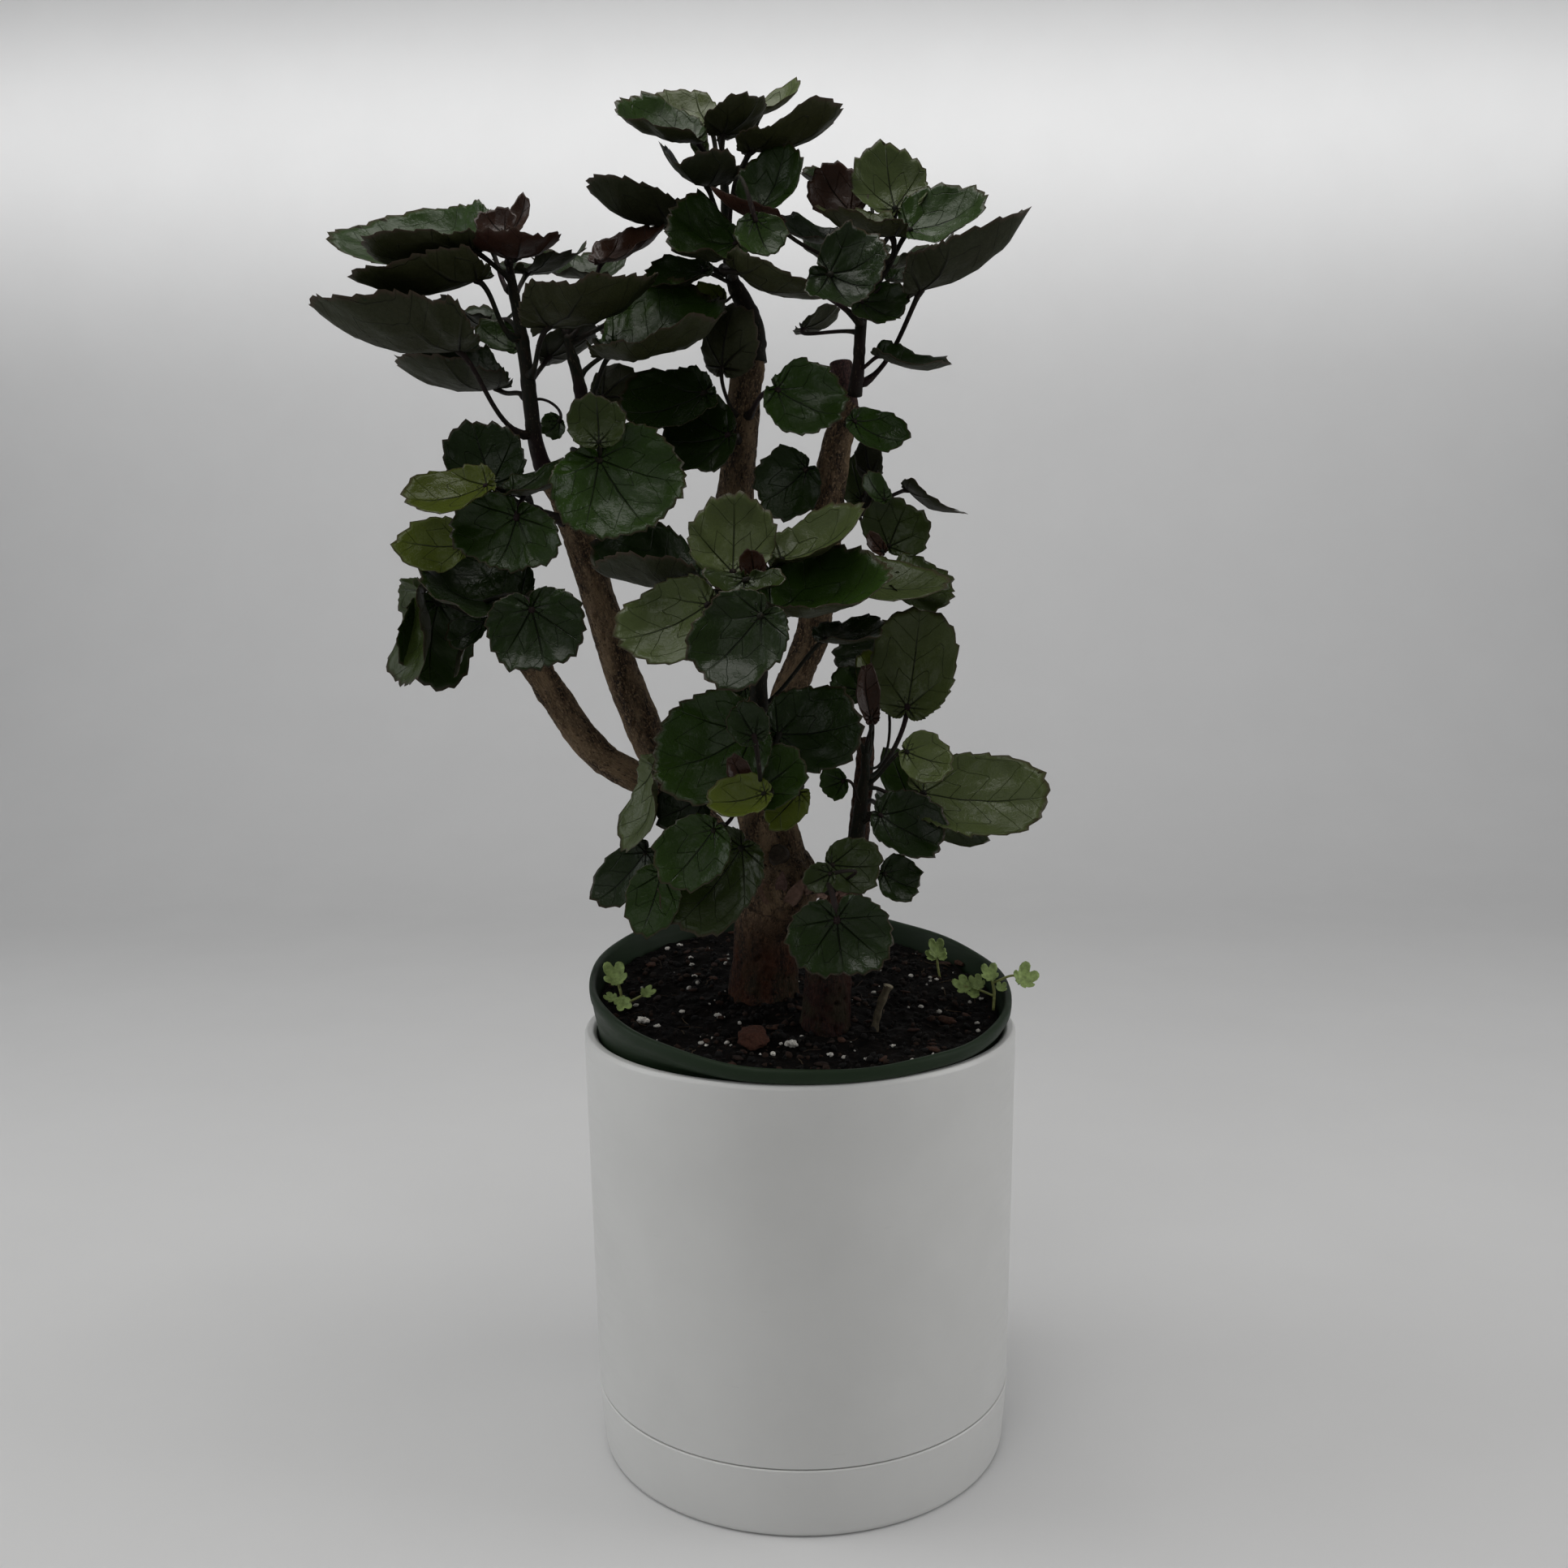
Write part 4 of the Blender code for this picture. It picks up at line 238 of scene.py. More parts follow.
# ---------------------------------------------------------------- leaves
# name, stem, base (u, v, depth), tip (u, v, further depth), width mm, facing (x, y, z),
# cup (rise of the sides over half the width), lobe (part of the length behind the base),
# joint (u, v on the stem), kind: d dark (the leaf's own dark green, darkened further as painted shade), g green, o
# olive, p pale, y yellow, m maroon,
# own: True where the leaf is a named piece, False where it stays grown on to its shoot.
LEAVES = [
    # front leaves of the main fork
    ("front_5", "front", (948, 752, -60), (1098, 722, -6), 42, (0, -0.42, 0.9), 0.7, 0.10, (936, 770), "g", True),
    ("front_1", "front", (903, 706, -54), (905, 608, 6), 29, (0, -0.95, 0.3), 0.25, 0.10, (930, 720), "p", True),
    ("front_3", "front", (962, 690, -50), (1066, 636, -6), 27, (-0.2, -0.5, 0.85), 0.6, 0.10, (931, 722), "p", True),
    ("front_9", "front", (918, 714, -58), (914, 737, -9), 27, (0, -0.5, 0.85), 0.5, 0.15, (930, 722), "o", False),
    ("front_2", "front", (930, 712, -55), (925, 676, -2), 9, (0, -1, 0.1), 0.4, 0.05, (928, 708), "m", False),
    ("front_6", "front", (938, 758, -62), (862, 836, -6), 31, (0, -0.9, 0.4), 0.2, 0.20, (936, 800), "d", True),
    ("front_7", "front", (862, 722, -46), (722, 690, -8), 44, (0, -0.3, 0.95), 0.75, 0.10, (931, 730), "d", True),
    ("front_8", "front", (873, 745, -64), (765, 793, -4), 31, (0, -0.85, 0.5), 0.3, 0.10, (934, 745), "p", True),
    ("front_4", "front", (1002, 692, -38), (1162, 728, -4), 27, (0, -0.5, 0.87), 0.3, 0.05, (931, 716), "p", False),
    ("front_10", "front", (1108, 712, -22), (1171, 735, 0), 26, (0, -0.7, 0.7), 0.2, 0.20, (933, 735), "o", False),
    ("front_11", "front", (1016, 787, -38), (1090, 776, 0), 24, (0, -0.3, 0.95), 0.3, 0.20, (938, 868), "d", False),
    ("front_12", "front", (918, 846, -38), (903, 868, 0), 7, (0, -0.9, 0.4), 0.2, 0.05, (934, 842), "g", False),
    ("front_13", "front", (852, 790, -44), (822, 803, 0), 6, (0, -0.9, 0.4), 0.2, 0.05, (934, 830), "d", False),
    ("fork_1", "front_fork", (928, 902, -60), (806, 956, -8), 40, (0, -0.85, 0.5), 0.3, 0.12, (912, 953), "g", True),
    ("fork_2", "front_fork", (958, 905, -54), (1060, 893, 0), 32, (0, -0.9, 0.4), 0.2, 0.10, (914, 956), "d", False),
    ("fork_3", "front_fork", (930, 976, -66), (990, 930, 0), 20, (0.2, -0.85, 0.5), 0.3, 0.20, (908, 948), "g", False),
    ("fork_4", "front_fork", (943, 978, -72), (868, 988, -2), 17, (0, -0.7, 0.7), 0.3, 0.10, (906, 944), "y", False),
    ("fork_5", "front_fork", (922, 972, -76), (900, 932, 0), 8, (0.2, -0.95, 0.1), 0.4, 0.05, (905, 942), "m", False),
    ("fork_6", "front_fork", (930, 908, -50), (906, 868, 0), 14, (0, -0.9, 0.3), 0.2, 0.20, (912, 953), "d", False),
    ("fork_7", "front_fork", (985, 976, -56), (945, 1018, 0), 14, (0, -0.9, 0.4), 0.2, 0.20, (916, 958), "y", False),
    # left crown
    ("left_crown_4", "left_crown", (566, 432, -24), (377, 386, -12), 46, (0, -0.1, 1), 0.8, 0.06, (658, 535), "d", True),
    ("left_crown_7", "left_crown", (676, 402, -32), (808, 352, -6), 52, (0, 0.35, 0.93), 0.45, 0.20, (650, 468), "o", True),
    ("left_crown_3", "left_crown", (588, 345, -22), (428, 350, -8), 40, (0, -0.12, 1), 0.75, 0.06, (643, 412), "o", True),
    ("left_crown_1", "left_crown", (588, 290, 6), (413, 295, 8), 42, (0, -0.62, 0.78), 0.25, 0.08, (632, 352), "p", True),
    ("left_crown_2", "left_crown", (582, 308, -8), (446, 312, -6), 36, (0, 0.25, 0.97), 0.3, 0.08, (630, 345), "o", False),
    ("left_crown_9", "left_crown", (612, 478, -10), (482, 452, -12), 48, (-0.1, -0.35, 0.93), 0.8, 0.06, (652, 482), "d", True),
    ("left_crown_5", "left_crown", (636, 318, -18), (642, 290, -20), 35, (0.22, 0.1, 0.97), 0.3, 0.10, (628, 328), "m", False),
    ("left_crown_6", "left_crown", (628, 290, -12), (650, 243, 0), 9, (-0.5, -0.8, 0), 0.4, 0.05, (627, 322), "m", False),
    ("left_crown_10", "left_crown", (622, 290, -6), (596, 262, 2), 15, (0.3, -0.9, 0.3), 0.4, 0.05, (627, 322), "m", False),
    ("left_crown_8", "left_crown", (638, 430, 0), (588, 400, 4), 15, (-0.2, -0.6, 0.8), 0.3, 0.10, (649, 455), "g", False),
    ("left_crown_11", "left_crown", (676, 440, 10), (738, 404, 6), 30, (0, 0.6, 0.8), 0.3, 0.15, (652, 480), "d", False),
    ("left_crown_12", "left_crown", (690, 518, 8), (672, 536, 0), 11, (0, -0.9, 0.3), 0.2, 0.10, (654, 495), "g", False),
    ("left_crown_13", "left_crown", (650, 335, 20), (700, 322, 22), 34, (0, 0.1, 1), 0.4, 0.20, (634, 362), "d", False),
    ("left_crown_14", "left_crown", (600, 400, 24), (540, 392, 20), 36, (0, -0.1, 1), 0.5, 0.20, (644, 420), "d", False),
    # inner left stem
    ("left_inner_1", "left_inner", (752, 437, -30), (900, 398, -8), 56, (0, -0.42, 0.9), 0.65, 0.10, (719, 500), "d", True),
    ("left_inner_2", "left_inner", (742, 322, 4), (818, 277, 8), 26, (-0.2, -0.45, 0.87), 0.3, 0.15, (700, 418), "m", False),
    ("left_inner_3", "left_inner", (742, 490, 12), (783, 456, 6), 21, (0.3, 0.8, 0.4), 0.3, 0.10, (720, 520), "o", False),
    ("left_inner_4", "left_inner", (738, 546, -46), (735, 489, 2), 20, (0, -0.95, 0.4), 0.2, 0.05, (722, 562), "o", False),
    ("left_inner_5", "left_inner", (738, 566, -42), (798, 655, -8), 48, (0.1, -0.92, 0.38), 0.2, 0.22, (722, 572), "g", True),
    ("left_inner_6", "left_inner", (735, 342, 24), (686, 318, 16), 34, (0, -0.4, 0.9), 0.3, 0.15, (701, 425), "d", False),
    ("left_inner_7", "left_inner", (770, 420, 26), (845, 402, 20), 36, (0, -0.2, 1), 0.4, 0.20, (712, 465), "d", False),
    # leaves on the centre cane
    ("centre_cane_1", "cane_centre", (890, 454, -20), (905, 374, 0), 26, (0.15, 0.95, 0.3), 0.35, 0.08, (905, 512), "o", True),
    ("centre_cane_2", "cane_centre", (868, 484, -14), (766, 512, -6), 30, (0, -0.75, 0.65), 0.3, 0.12, (901, 530), "d", False),
    ("centre_cane_3", "cane_centre", (898, 536, -6), (812, 545, 0), 32, (0, -0.85, 0.5), 0.2, 0.12, (905, 545), "d", True),
    ("centre_cane_4", "cane_centre", (957, 480, -22), (1038, 516, -6), 31, (0.1, -0.85, 0.5), 0.2, 0.06, (912, 514), "g", True),
    # centre crown
    ("centre_crown_11", "centre_crown", (908, 300, -14), (824, 312, -8), 44, (0, -0.6, 0.8), 0.5, 0.10, (899, 318), "g", True),
    ("centre_crown_13", "centre_crown", (908, 334, -16), (1008, 364, -10), 38, (0, 0.5, 0.86), 0.35, 0.12, (903, 346), "o", True),
    ("centre_crown_1", "centre_crown", (856, 172, -6), (755, 138, -8), 34, (0, -0.55, 0.83), 0.5, 0.08, (892, 215), "p", True),
    ("centre_crown_5", "centre_crown", (926, 186, -2), (1040, 138, -8), 34, (0, 0.15, 0.98), 0.4, 0.10, (894, 245), "o", True),
    ("centre_crown_8", "centre_crown", (843, 281, -8), (723, 236, -10), 38, (0, 0.1, 1), 0.6, 0.08, (901, 335), "d", True),
    ("centre_crown_7", "centre_crown", (872, 230, -4), (836, 197, -20), 34, (0.1, 0.1, 1), 0.7, 0.15, (897, 292), "d", False),
    ("centre_crown_2", "centre_crown", (872, 152, 16), (800, 122, 8), 28, (0, -0.6, 0.8), 0.3, 0.08, (891, 205), "p", False),
    ("centre_crown_3", "centre_crown", (890, 166, 2), (938, 122, -8), 26, (0, 0.5, 0.85), 0.3, 0.20, (890, 192), "o", False),
    ("centre_crown_4", "centre_crown", (936, 142, 16), (986, 101, 6), 15, (-0.5, -0.5, 0.7), 0.4, 0.05, (892, 222), "p", False),
    ("centre_crown_6", "centre_crown", (864, 190, 0), (858, 152, 0), 7, (0.2, -0.9, 0.2), 0.3, 0.05, (891, 208), "o", False),
    ("centre_crown_9", "right_crown", (957, 274, -16), (873, 232, -4), 18, (0.35, 0.2, 0.9), 0.3, 0.05, (1068, 345), "m", False),
    ("centre_crown_10", "centre_crown", (938, 256, -6), (970, 180, 2), 25, (-0.45, -0.85, 0.2), 0.5, 0.08, (899, 308), "g", False),
    ("centre_crown_12", "centre_crown", (930, 270, -24), (950, 316, -4), 19, (0.2, -0.9, 0.4), 0.2, 0.10, (899, 305), "g", False),
    ("centre_crown_14", "centre_crown", (868, 334, 0), (796, 350, -4), 26, (0, -0.5, 0.85), 0.3, 0.10, (904, 350), "d", False),
    ("centre_crown_15", "centre_crown", (890, 371, 4), (853, 363, 0), 12, (0, -0.95, 0.3), 0.2, 0.10, (912, 364), "y", False),
    ("centre_crown_16", "centre_crown", (915, 300, 30), (960, 290, 20), 36, (0, -0.1, 1), 0.4, 0.20, (898, 315), "d", False),
    ("centre_crown_17", "centre_crown", (880, 300, 32), (855, 296, 22), 34, (0, 0, 1), 0.4, 0.20, (897, 305), "d", False),
    # right crown
    ("right_crown_6", "right_crown", (1134, 358, -12), (1273, 267, -8), 42, (-0.3, 0, 0.95), 0.8, 0.06, (1053, 478), "d", True),
    ("right_crown_5", "right_crown", (1120, 284, 0), (1217, 243, -4), 29, (-0.15, -0.75, 0.65), 0.35, 0.08, (1066, 358), "g", False),
    ("right_crown_1", "right_crown", (1103, 258, 6), (1090, 181, 4), 28, (0.1, -0.95, 0.3), 0.2, 0.06, (1074, 312), "p", False),
    ("right_crown_10", "right_crown", (1022, 338, -26), (1080, 356, -4), 36, (-0.1, -0.85, 0.5), 0.5, 0.35, (1060, 400), "d", True),
    ("right_crown_4", "right_crown", (1100, 290, -14), (1006, 266, -6), 30, (0, -0.3, 0.95), 0.6, 0.15, (1074, 312), "p", False),
    ("right_crown_2", "right_crown", (1048, 262, 0), (1010, 210, 2), 22, (-0.1, -0.9, 0.4), 0.3, 0.08, (1074, 308), "m", False),
    ("right_crown_3", "right_crown", (1060, 232, 22), (985, 212, 6), 22, (0, -0.35, 0.93), 0.3, 0.08, (1073, 315), "d", False),
    ("right_crown_7", "right_crown", (1096, 345, 4), (1132, 335, 2), 12, (0, -0.6, 0.8), 0.4, 0.08, (1064, 372), "g", False),
    ("right_crown_8", "right_crown", (1084, 366, 14), (1120, 367, 4), 13, (0, -0.3, 0.95), 0.3, 0.08, (1064, 378), "g", False),
    ("right_crown_9", "right_crown", (1060, 372, -14), (1113, 390, -4), 25, (0, -0.7, 0.7), 0.25, 0.12, (1061, 402), "d", False),
    ("right_crown_11", "right_crown", (1036, 300, 0), (962, 274, 4), 24, (0, -0.4, 0.9), 0.3, 0.08, (1069, 335), "d", False),
    ("right_crown_12", "right_crown", (1084, 438, -10), (1168, 454, -4), 23, (0.1, -0.3, 0.95), 0.4, 0.06, (1056, 452), "d", False),
    ("right_crown_13", "right_crown", (990, 404, 20), (1030, 396, 8), 24, (0, 0.6, 0.8), 0.3, 0.10, (1060, 412), "o", False),
    ("right_crown_14", "right_crown", (1100, 330, 30), (1150, 310, 20), 34, (0, 0, 1), 0.4, 0.15, (1066, 356), "d", False),
    ("right_crown_15", "right_crown", (1050, 330, 34), (1020, 300, 16), 34, (0, -0.1, 1), 0.4, 0.15, (1067, 350), "d", False),
    # right middle and the right cane
    ("right_cane_1", "cane_right", (1052, 519, -10), (1116, 547, -4), 19, (0.3, -0.8, 0.5), 0.25, 0.06, (1040, 530), "g", False),
    ("right_cane_2", "cane_right", (994, 578, -4), (936, 622, 0), 27, (0, -0.9, 0.4), 0.2, 0.15, (1026, 585), "d", False),
    ("right_middle_1", "right_middle", (1095, 674, -14), (1118, 618, 0), 25, (0.1, -0.95, 0.3), 0.2, 0.12, (1062, 629), "o", False),
    ("right_middle_2", "right_middle", (1073, 586, 2), (1066, 540, 4), 13, (0, 0.9, 0.4), 0.3, 0.05, (1073, 600), "d", False),
    ("right_middle_3", "right_middle", (1062, 616, 12), (1048, 562, 0), 15, (0, -0.9, 0.3), 0.2, 0.05, (1062, 629), "o", False),
    ("right_middle_4", "right_middle", (1090, 616, -10), (1066, 583, 0), 10, (0.3, -0.8, 0.5), 0.3, 0.05, (1072, 612), "g", False),
    ("right_middle_5", "right_middle", (1118, 603, -8), (1183, 637, -4), 20, (0.46, -0.05, 0.88), 0.35, 0.06, (1070, 618), "d", False),
    ("right_middle_6", "right_middle", (1088, 680, -18), (1069, 657, -2), 6, (0.3, -0.9, 0), 0.3, 0.05, (1058, 631), "m", False),
    # right low shoot
    ("right_low_1", "right_low", (1137, 977, -26), (1301, 982, -4), 34, (0, -0.8, 0.6), 0.2, 0.08, (1060, 1005), "g", True),
    ("right_low_2", "right_low", (1118, 872, -22), (1134, 748, 2), 32, (-0.15, -0.92, 0.3), 0.2, 0.10, (1065, 962), "o", True),
    ("right_low_3", "right_low", (1073, 886, -30), (1066, 818, 0), 9, (0.4, -0.9, 0), 0.4, 0.05, (1066, 935), "m", False),
    ("right_low_4", "right_low", (1092, 850, -8), (1058, 803, 0), 13, (0.1, -0.9, 0.4), 0.2, 0.08, (1065, 940), "y", False),
    ("right_low_5", "right_low", (1116, 926, -40), (1173, 944, -2), 19, (-0.1, -0.85, 0.5), 0.3, 0.10, (1064, 965), "p", False),
    ("right_low_6", "right_low", (1122, 988, -10), (1096, 922, 0), 14, (0.1, -0.95, 0.2), 0.2, 0.08, (1062, 975), "g", False),
    ("right_low_7", "right_low", (1084, 1004, -38), (1164, 1042, -2), 25, (0, -0.75, 0.65), 0.35, 0.08, (1058, 1020), "d", False),
    ("right_low_8", "right_low", (1150, 1012, -14), (1217, 1031, 0), 14, (0, -0.7, 0.7), 0.2, 0.08, (1058, 1016), "o", False),
    ("right_low_9", "right_low", (1092, 800, 4), (1028, 812, 6), 22, (0, -0.7, 0.7), 0.2, 0.08, (1065, 945), "d", False),
    ("right_low_10", "right_low", (1064, 852, -16), (1022, 838, 0), 16, (0, -0.8, 0.6), 0.2, 0.08, (1065, 948), "g", False),
    ("right_low_11", "right_low", (1040, 962, -46), (1012, 972, 0), 12, (0, -0.9, 0.3), 0.2, 0.15, (1060, 990), "g", False),
    ("right_low_12", "right_low", (1110, 1000, 12), (1150, 990, 20), 30, (0, -0.2, 1), 0.3, 0.15, (1060, 1000), "d", False),
    # low left shoot
    ("low_left_4", "low_left", (637, 637, -42), (612, 702, -4), 40, (0, -0.85, 0.5), 0.2, 0.30, (652, 632), "g", True),
    ("low_left_1", "low_left", (606, 597, -24), (582, 523, 2), 28, (0.1, -0.92, 0.4), 0.2, 0.05, (652, 632), "d", False),
    ("low_left_2", "low_left", (600, 598, -36), (499, 618, -4), 22, (0, -0.7, 0.7), 0.4, 0.05, (654, 632), "y", False),
    ("low_left_3", "low_left", (572, 672, -32), (489, 668, 0), 21, (0, -0.9, 0.4), 0.2, 0.05, (655, 633), "y", False),
    ("low_left_5", "low_left", (632, 606, -14), (716, 574, -2), 26, (0, -0.4, 0.9), 0.3, 0.15, (668, 634), "d", False),
    ("low_left_6", "low_left", (640, 660, 8), (600, 668, 16), 30, (0, -0.2, 1), 0.3, 0.20, (672, 635), "d", False),
    # far left shoot
    ("far_left_3", "far_left", (640, 742, -36), (522, 716, -4), 42, (0, -0.5, 0.86), 0.5, 0.08, (594, 761), "d", False),
    ("far_left_6", "far_left", (655, 750, -58), (672, 824, -4), 33, (0, -0.9, 0.35), 0.15, 0.30, (586, 758), "d", False),
    ("far_left_1", "far_left", (518, 728, -30), (504, 846, 0), 34, (-0.85, -0.5, 0.15), 0.3, 0.08, (586, 758), "o", False),
    ("far_left_2", "far_left", (540, 742, -20), (528, 847, 0), 28, (0.55, -0.8, 0.1), 0.3, 0.08, (588, 759), "d", False),
    ("far_left_4", "far_left", (596, 766, -26), (553, 792, 0), 13, (0, -0.8, 0.6), 0.3, 0.08, (590, 760), "d", False),
    ("far_left_5", "far_left", (589, 772, -34), (557, 827, 0), 15, (0.85, 0.1, 0.5), 0.3, 0.05, (590, 760), "d", False),
    ("far_left_7", "far_left", (600, 740, 8), (560, 726, 20), 32, (0, -0.2, 1), 0.3, 0.15, (592, 760), "d", False),
    # low left of the trunk
    ("left_low_3", "left_low", (914, 1044, -56), (836, 1142, -4), 30, (0, -0.85, 0.5), 0.25, 0.06, (892, 1034), "o", True),
    ("left_low_2", "left_low", (880, 1022, -66), (822, 1092, -4), 24, (0, -0.9, 0.4), 0.2, 0.08, (880, 1024), "g", False),
    ("left_low_1", "left_low", (806, 944, -44), (774, 1050, 0), 24, (-0.88, -0.4, 0.2), 0.3, 0.05, (876, 1022), "p", False),
    ("left_low_4", "left_low", (815, 1076, -62), (792, 1150, -2), 19, (0, -0.9, 0.4), 0.2, 0.06, (876, 1022), "g", False),
    ("left_low_5", "left_low", (796, 1050, -52), (735, 1113, 0), 17, (-0.3, -0.85, 0.4), 0.3, 0.05, (876, 1022), "d", False),
    ("left_low_6", "left_low", (868, 980, -42), (812, 1010, 0), 20, (0, -0.9, 0.4), 0.2, 0.08, (880, 1024), "d", False),
    # front low
    ("front_low_3", "front_low", (1031, 1133, -62), (1040, 1204, -4), 35, (0, -0.85, 0.5), 0.12, 0.42, (1028, 1094), "g", True),
    ("front_low_1", "front_low", (1024, 1066, -54), (1086, 1068, 0), 20, (0, -0.92, 0.4), 0.2, 0.08, (1022, 1094), "o", False),
    ("front_low_2", "front_low", (1088, 1076, -42), (1130, 1096, 0), 18, (0, -0.8, 0.6), 0.25, 0.08, (1022, 1094), "d", False),
    ("front_low_4", "front_low", (1024, 1076, -64), (992, 1092, 0), 10, (0, -0.9, 0.4), 0.3, 0.08, (1026, 1094), "o", False),
]


def stem_point(stem, u, v):
    """The place on a stem nearest to u, v: its point, its direction and its radius."""
    rows = STEM_LINES[stem]
    k = min(range(len(rows)), key=lambda i: (rows[i][0] - u) ** 2 + (rows[i][1] - v) ** 2)
    point = at(*rows[k][:3])
    ahead = at(*rows[min(k + 1, len(rows) - 1)][:3]) - at(*rows[max(k - 1, 0)][:3])
    return point, ahead.normalized(), rows[k][3]


def leaf_frame(row, push, bend=(0.0, 0.0, 0.0)):
    """Everything that sets a leaf: its base, axes, length, width, cup, lobe and petiole."""
    name, stem, (bu, bv, bd), (tu, tv, td), width, facing, cup, lobe, (ju, jv), kind, own = row
    base = at(bu, bv, bd + push)
    tip = at(tu, tv, bd + td + push)
    scale = (bd + push - EYE.y) / (bd - EYE.y)
    along = (tip - base)
    length = along.length
    along.normalize()
    normal = Vector(facing)
    normal = (normal - along * normal.dot(along)).normalized()
    across = normal.cross(along)
    joint, ahead, radius = stem_point(stem, ju, jv)
    out = base - joint
    out = out - ahead * out.dot(ahead)
    if out.length < 1e-6:
        out = ahead.orthogonal()
    out.normalize()
    root = joint + out * (radius + 1.3 if own or stem.startswith("cane") else radius * 0.25)
    reach = (base - root).length
    p1 = root + out * reach * 0.30 + ahead * reach * 0.16 + Vector(bend) * 0.8
    p2 = base - along * reach * 0.26 - normal * reach * 0.16 + Vector(bend)
    return base, along, across, normal, length, width * scale, cup, lobe, root, p1, p2


def blade_point(frame, s, e, side):
    """A point of the blade: s along it, e across it (-1 to 1), side mm off its mid-surface."""
    base, along, across, normal, length, width, cup, lobe, *_ = frame
    full = math.sin(math.pi * min(max((s + 0.16) / 1.16, 0.0), 1.0)) ** 0.62 if s < 0.999 else 0.0
    x = length * (s - lobe * (1.0 - s) ** 2 * abs(e) ** 1.2 * 1.1)
    y = 0.5 * width * full * e
    z = cup * 0.5 * width * (abs(e) * full) ** 1.7 * 0.8 - 0.10 * length * 4 * s * (1 - s)
    return base + along * x + across * y + normal * (z + side)


def leaf_mesh(frame, thick, stalk):
    """Petiole and blade as one closed loft of six-sided sections."""
    base, along, across, normal, length, width, cup, lobe, root, p1, p2 = frame
    rings = []
    for t in (0.0, 0.5, 0.97):
        point = root * (1 - t) ** 3 + p1 * 3 * t * (1 - t) ** 2 + p2 * 3 * t * t * (1 - t) + base * t ** 3
        tangent = ((p1 - root) * 3 * (1 - t) ** 2 + (p2 - p1) * 6 * t * (1 - t) + (base - p2) * 3 * t * t).normalized()
        side = across - tangent * across.dot(tangent)
        if side.length < 0.35:
            side = side + (normal - tangent * normal.dot(tangent)) * 0.6
        side.normalize()
        over = tangent.cross(side)
        size = stalk * (1.15 if t == 0.0 else 1.0)
        rings.append([point + (side * math.cos(k * math.pi / 3) + over * math.sin(k * math.pi / 3)) * size for k in range(6)])
    half = thick / 2
    for s in (0.07, 0.45, 0.84):
        ring = [blade_point(frame, s, -1.0, 0.0)]
        ring += [blade_point(frame, s, e, half) for e in (-0.45, 0.45)]
        ring.append(blade_point(frame, s, 1.0, 0.0))
        ring += [blade_point(frame, s, e, -half) for e in (0.45, -0.45)]
        rings.append(ring)
    tip = base + along * length
    rings.append([tip - across * 0.9, tip - across * 0.4 + normal * 0.3, tip + across * 0.4 + normal * 0.3,
                  tip + across * 0.9, tip + across * 0.4 - normal * 0.3, tip - across * 0.4 - normal * 0.3])
    return rings


def match_rings(rings, first_blade):
    """Turns the petiole's sections so that they meet the blade's without a twist."""
    for k in range(first_blade - 1, -1, -1):
        following = rings[k + 1]
        count = len(following)
        best, best_sum = None, None
        for flip in (False, True):
            ring = list(reversed(rings[k])) if flip else list(rings[k])
            for turn in range(count):
                turned_ring = ring[turn:] + ring[:turn]
                centre_a = sum(turned_ring, Vector()) / count
                centre_b = sum(following, Vector()) / count
                total = sum(((a - centre_a).normalized() - (b - centre_b).normalized()).length for a, b in zip(turned_ring, following))
                if best_sum is None or total < best_sum - 1e-9:
                    best, best_sum = turned_ring, total
        rings[k] = best
    return rings


def leaf_solid(frame, thick, stalk):
    verts, faces = ring_loft(match_rings(leaf_mesh(frame, thick, stalk), 3))
    volume = 0.0
    for face in faces:
        for i in range(1, len(face) - 1):
            volume += Vector(verts[face[0]]).dot(Vector(verts[face[i]]).cross(Vector(verts[face[i + 1]])))
    if volume < 0:
        faces = [tuple(reversed(face)) for face in faces]
    return verts, faces


def tree_of(verts, faces):
    return BVHTree.FromPolygons([tuple(p) for p in verts], faces)


def box_of(verts):
    return [min(p[i] for p in verts) for i in range(3)], [max(p[i] for p in verts) for i in range(3)]


def boxes_meet(a, b, gap=0.4):
    return all(a[0][i] - gap < b[1][i] and b[0][i] - gap < a[1][i] for i in range(3))


placed = []
for name, rows in list(WOOD_LEFT.items()) + list(WOOD_RIGHT.items()):
    path = rows
    tube_verts, tube_faces = tube([at(*p[:3]) for p in path], [p[3] * 1.06 + 0.2 for p in path], 10)
    placed.append((name, name, tree_of(tube_verts, tube_faces), box_of(tube_verts)))
for name, rows in SHOOTS.items():
    path = rows
    tube_verts, tube_faces = tube([at(*p[:3]) for p in path], [p[3] + 0.5 for p in path], 7)
    placed.append((name, name, tree_of(tube_verts, tube_faces), box_of(tube_verts)))
rim_verts, rim_faces = ring_loft([rim_ring(POT_RIM_R + 0.6, 6.0), rim_ring(POT_RIM_R + 0.6, -0.6), rim_ring(POT_RIM_R - 3.0, -0.6), rim_ring(POT_RIM_R - 4.0, 6.0)])
placed.append(("rim", "rim", tree_of(rim_verts, rim_faces), box_of(rim_verts)))
ground = [[(x, y, soil_z(x, y) + 0.6) for x in range(-80, 81, 8)] for y in range(-80, 81, 8)]
ground_verts = [p for line in ground for p in line]
ground_faces = [(r * 21 + c, r * 21 + c + 1, (r + 1) * 21 + c + 1, (r + 1) * 21 + c) for r in range(20) for c in range(20)]
placed.append(("ground", "ground", tree_of(ground_verts, ground_faces), box_of(ground_verts)))


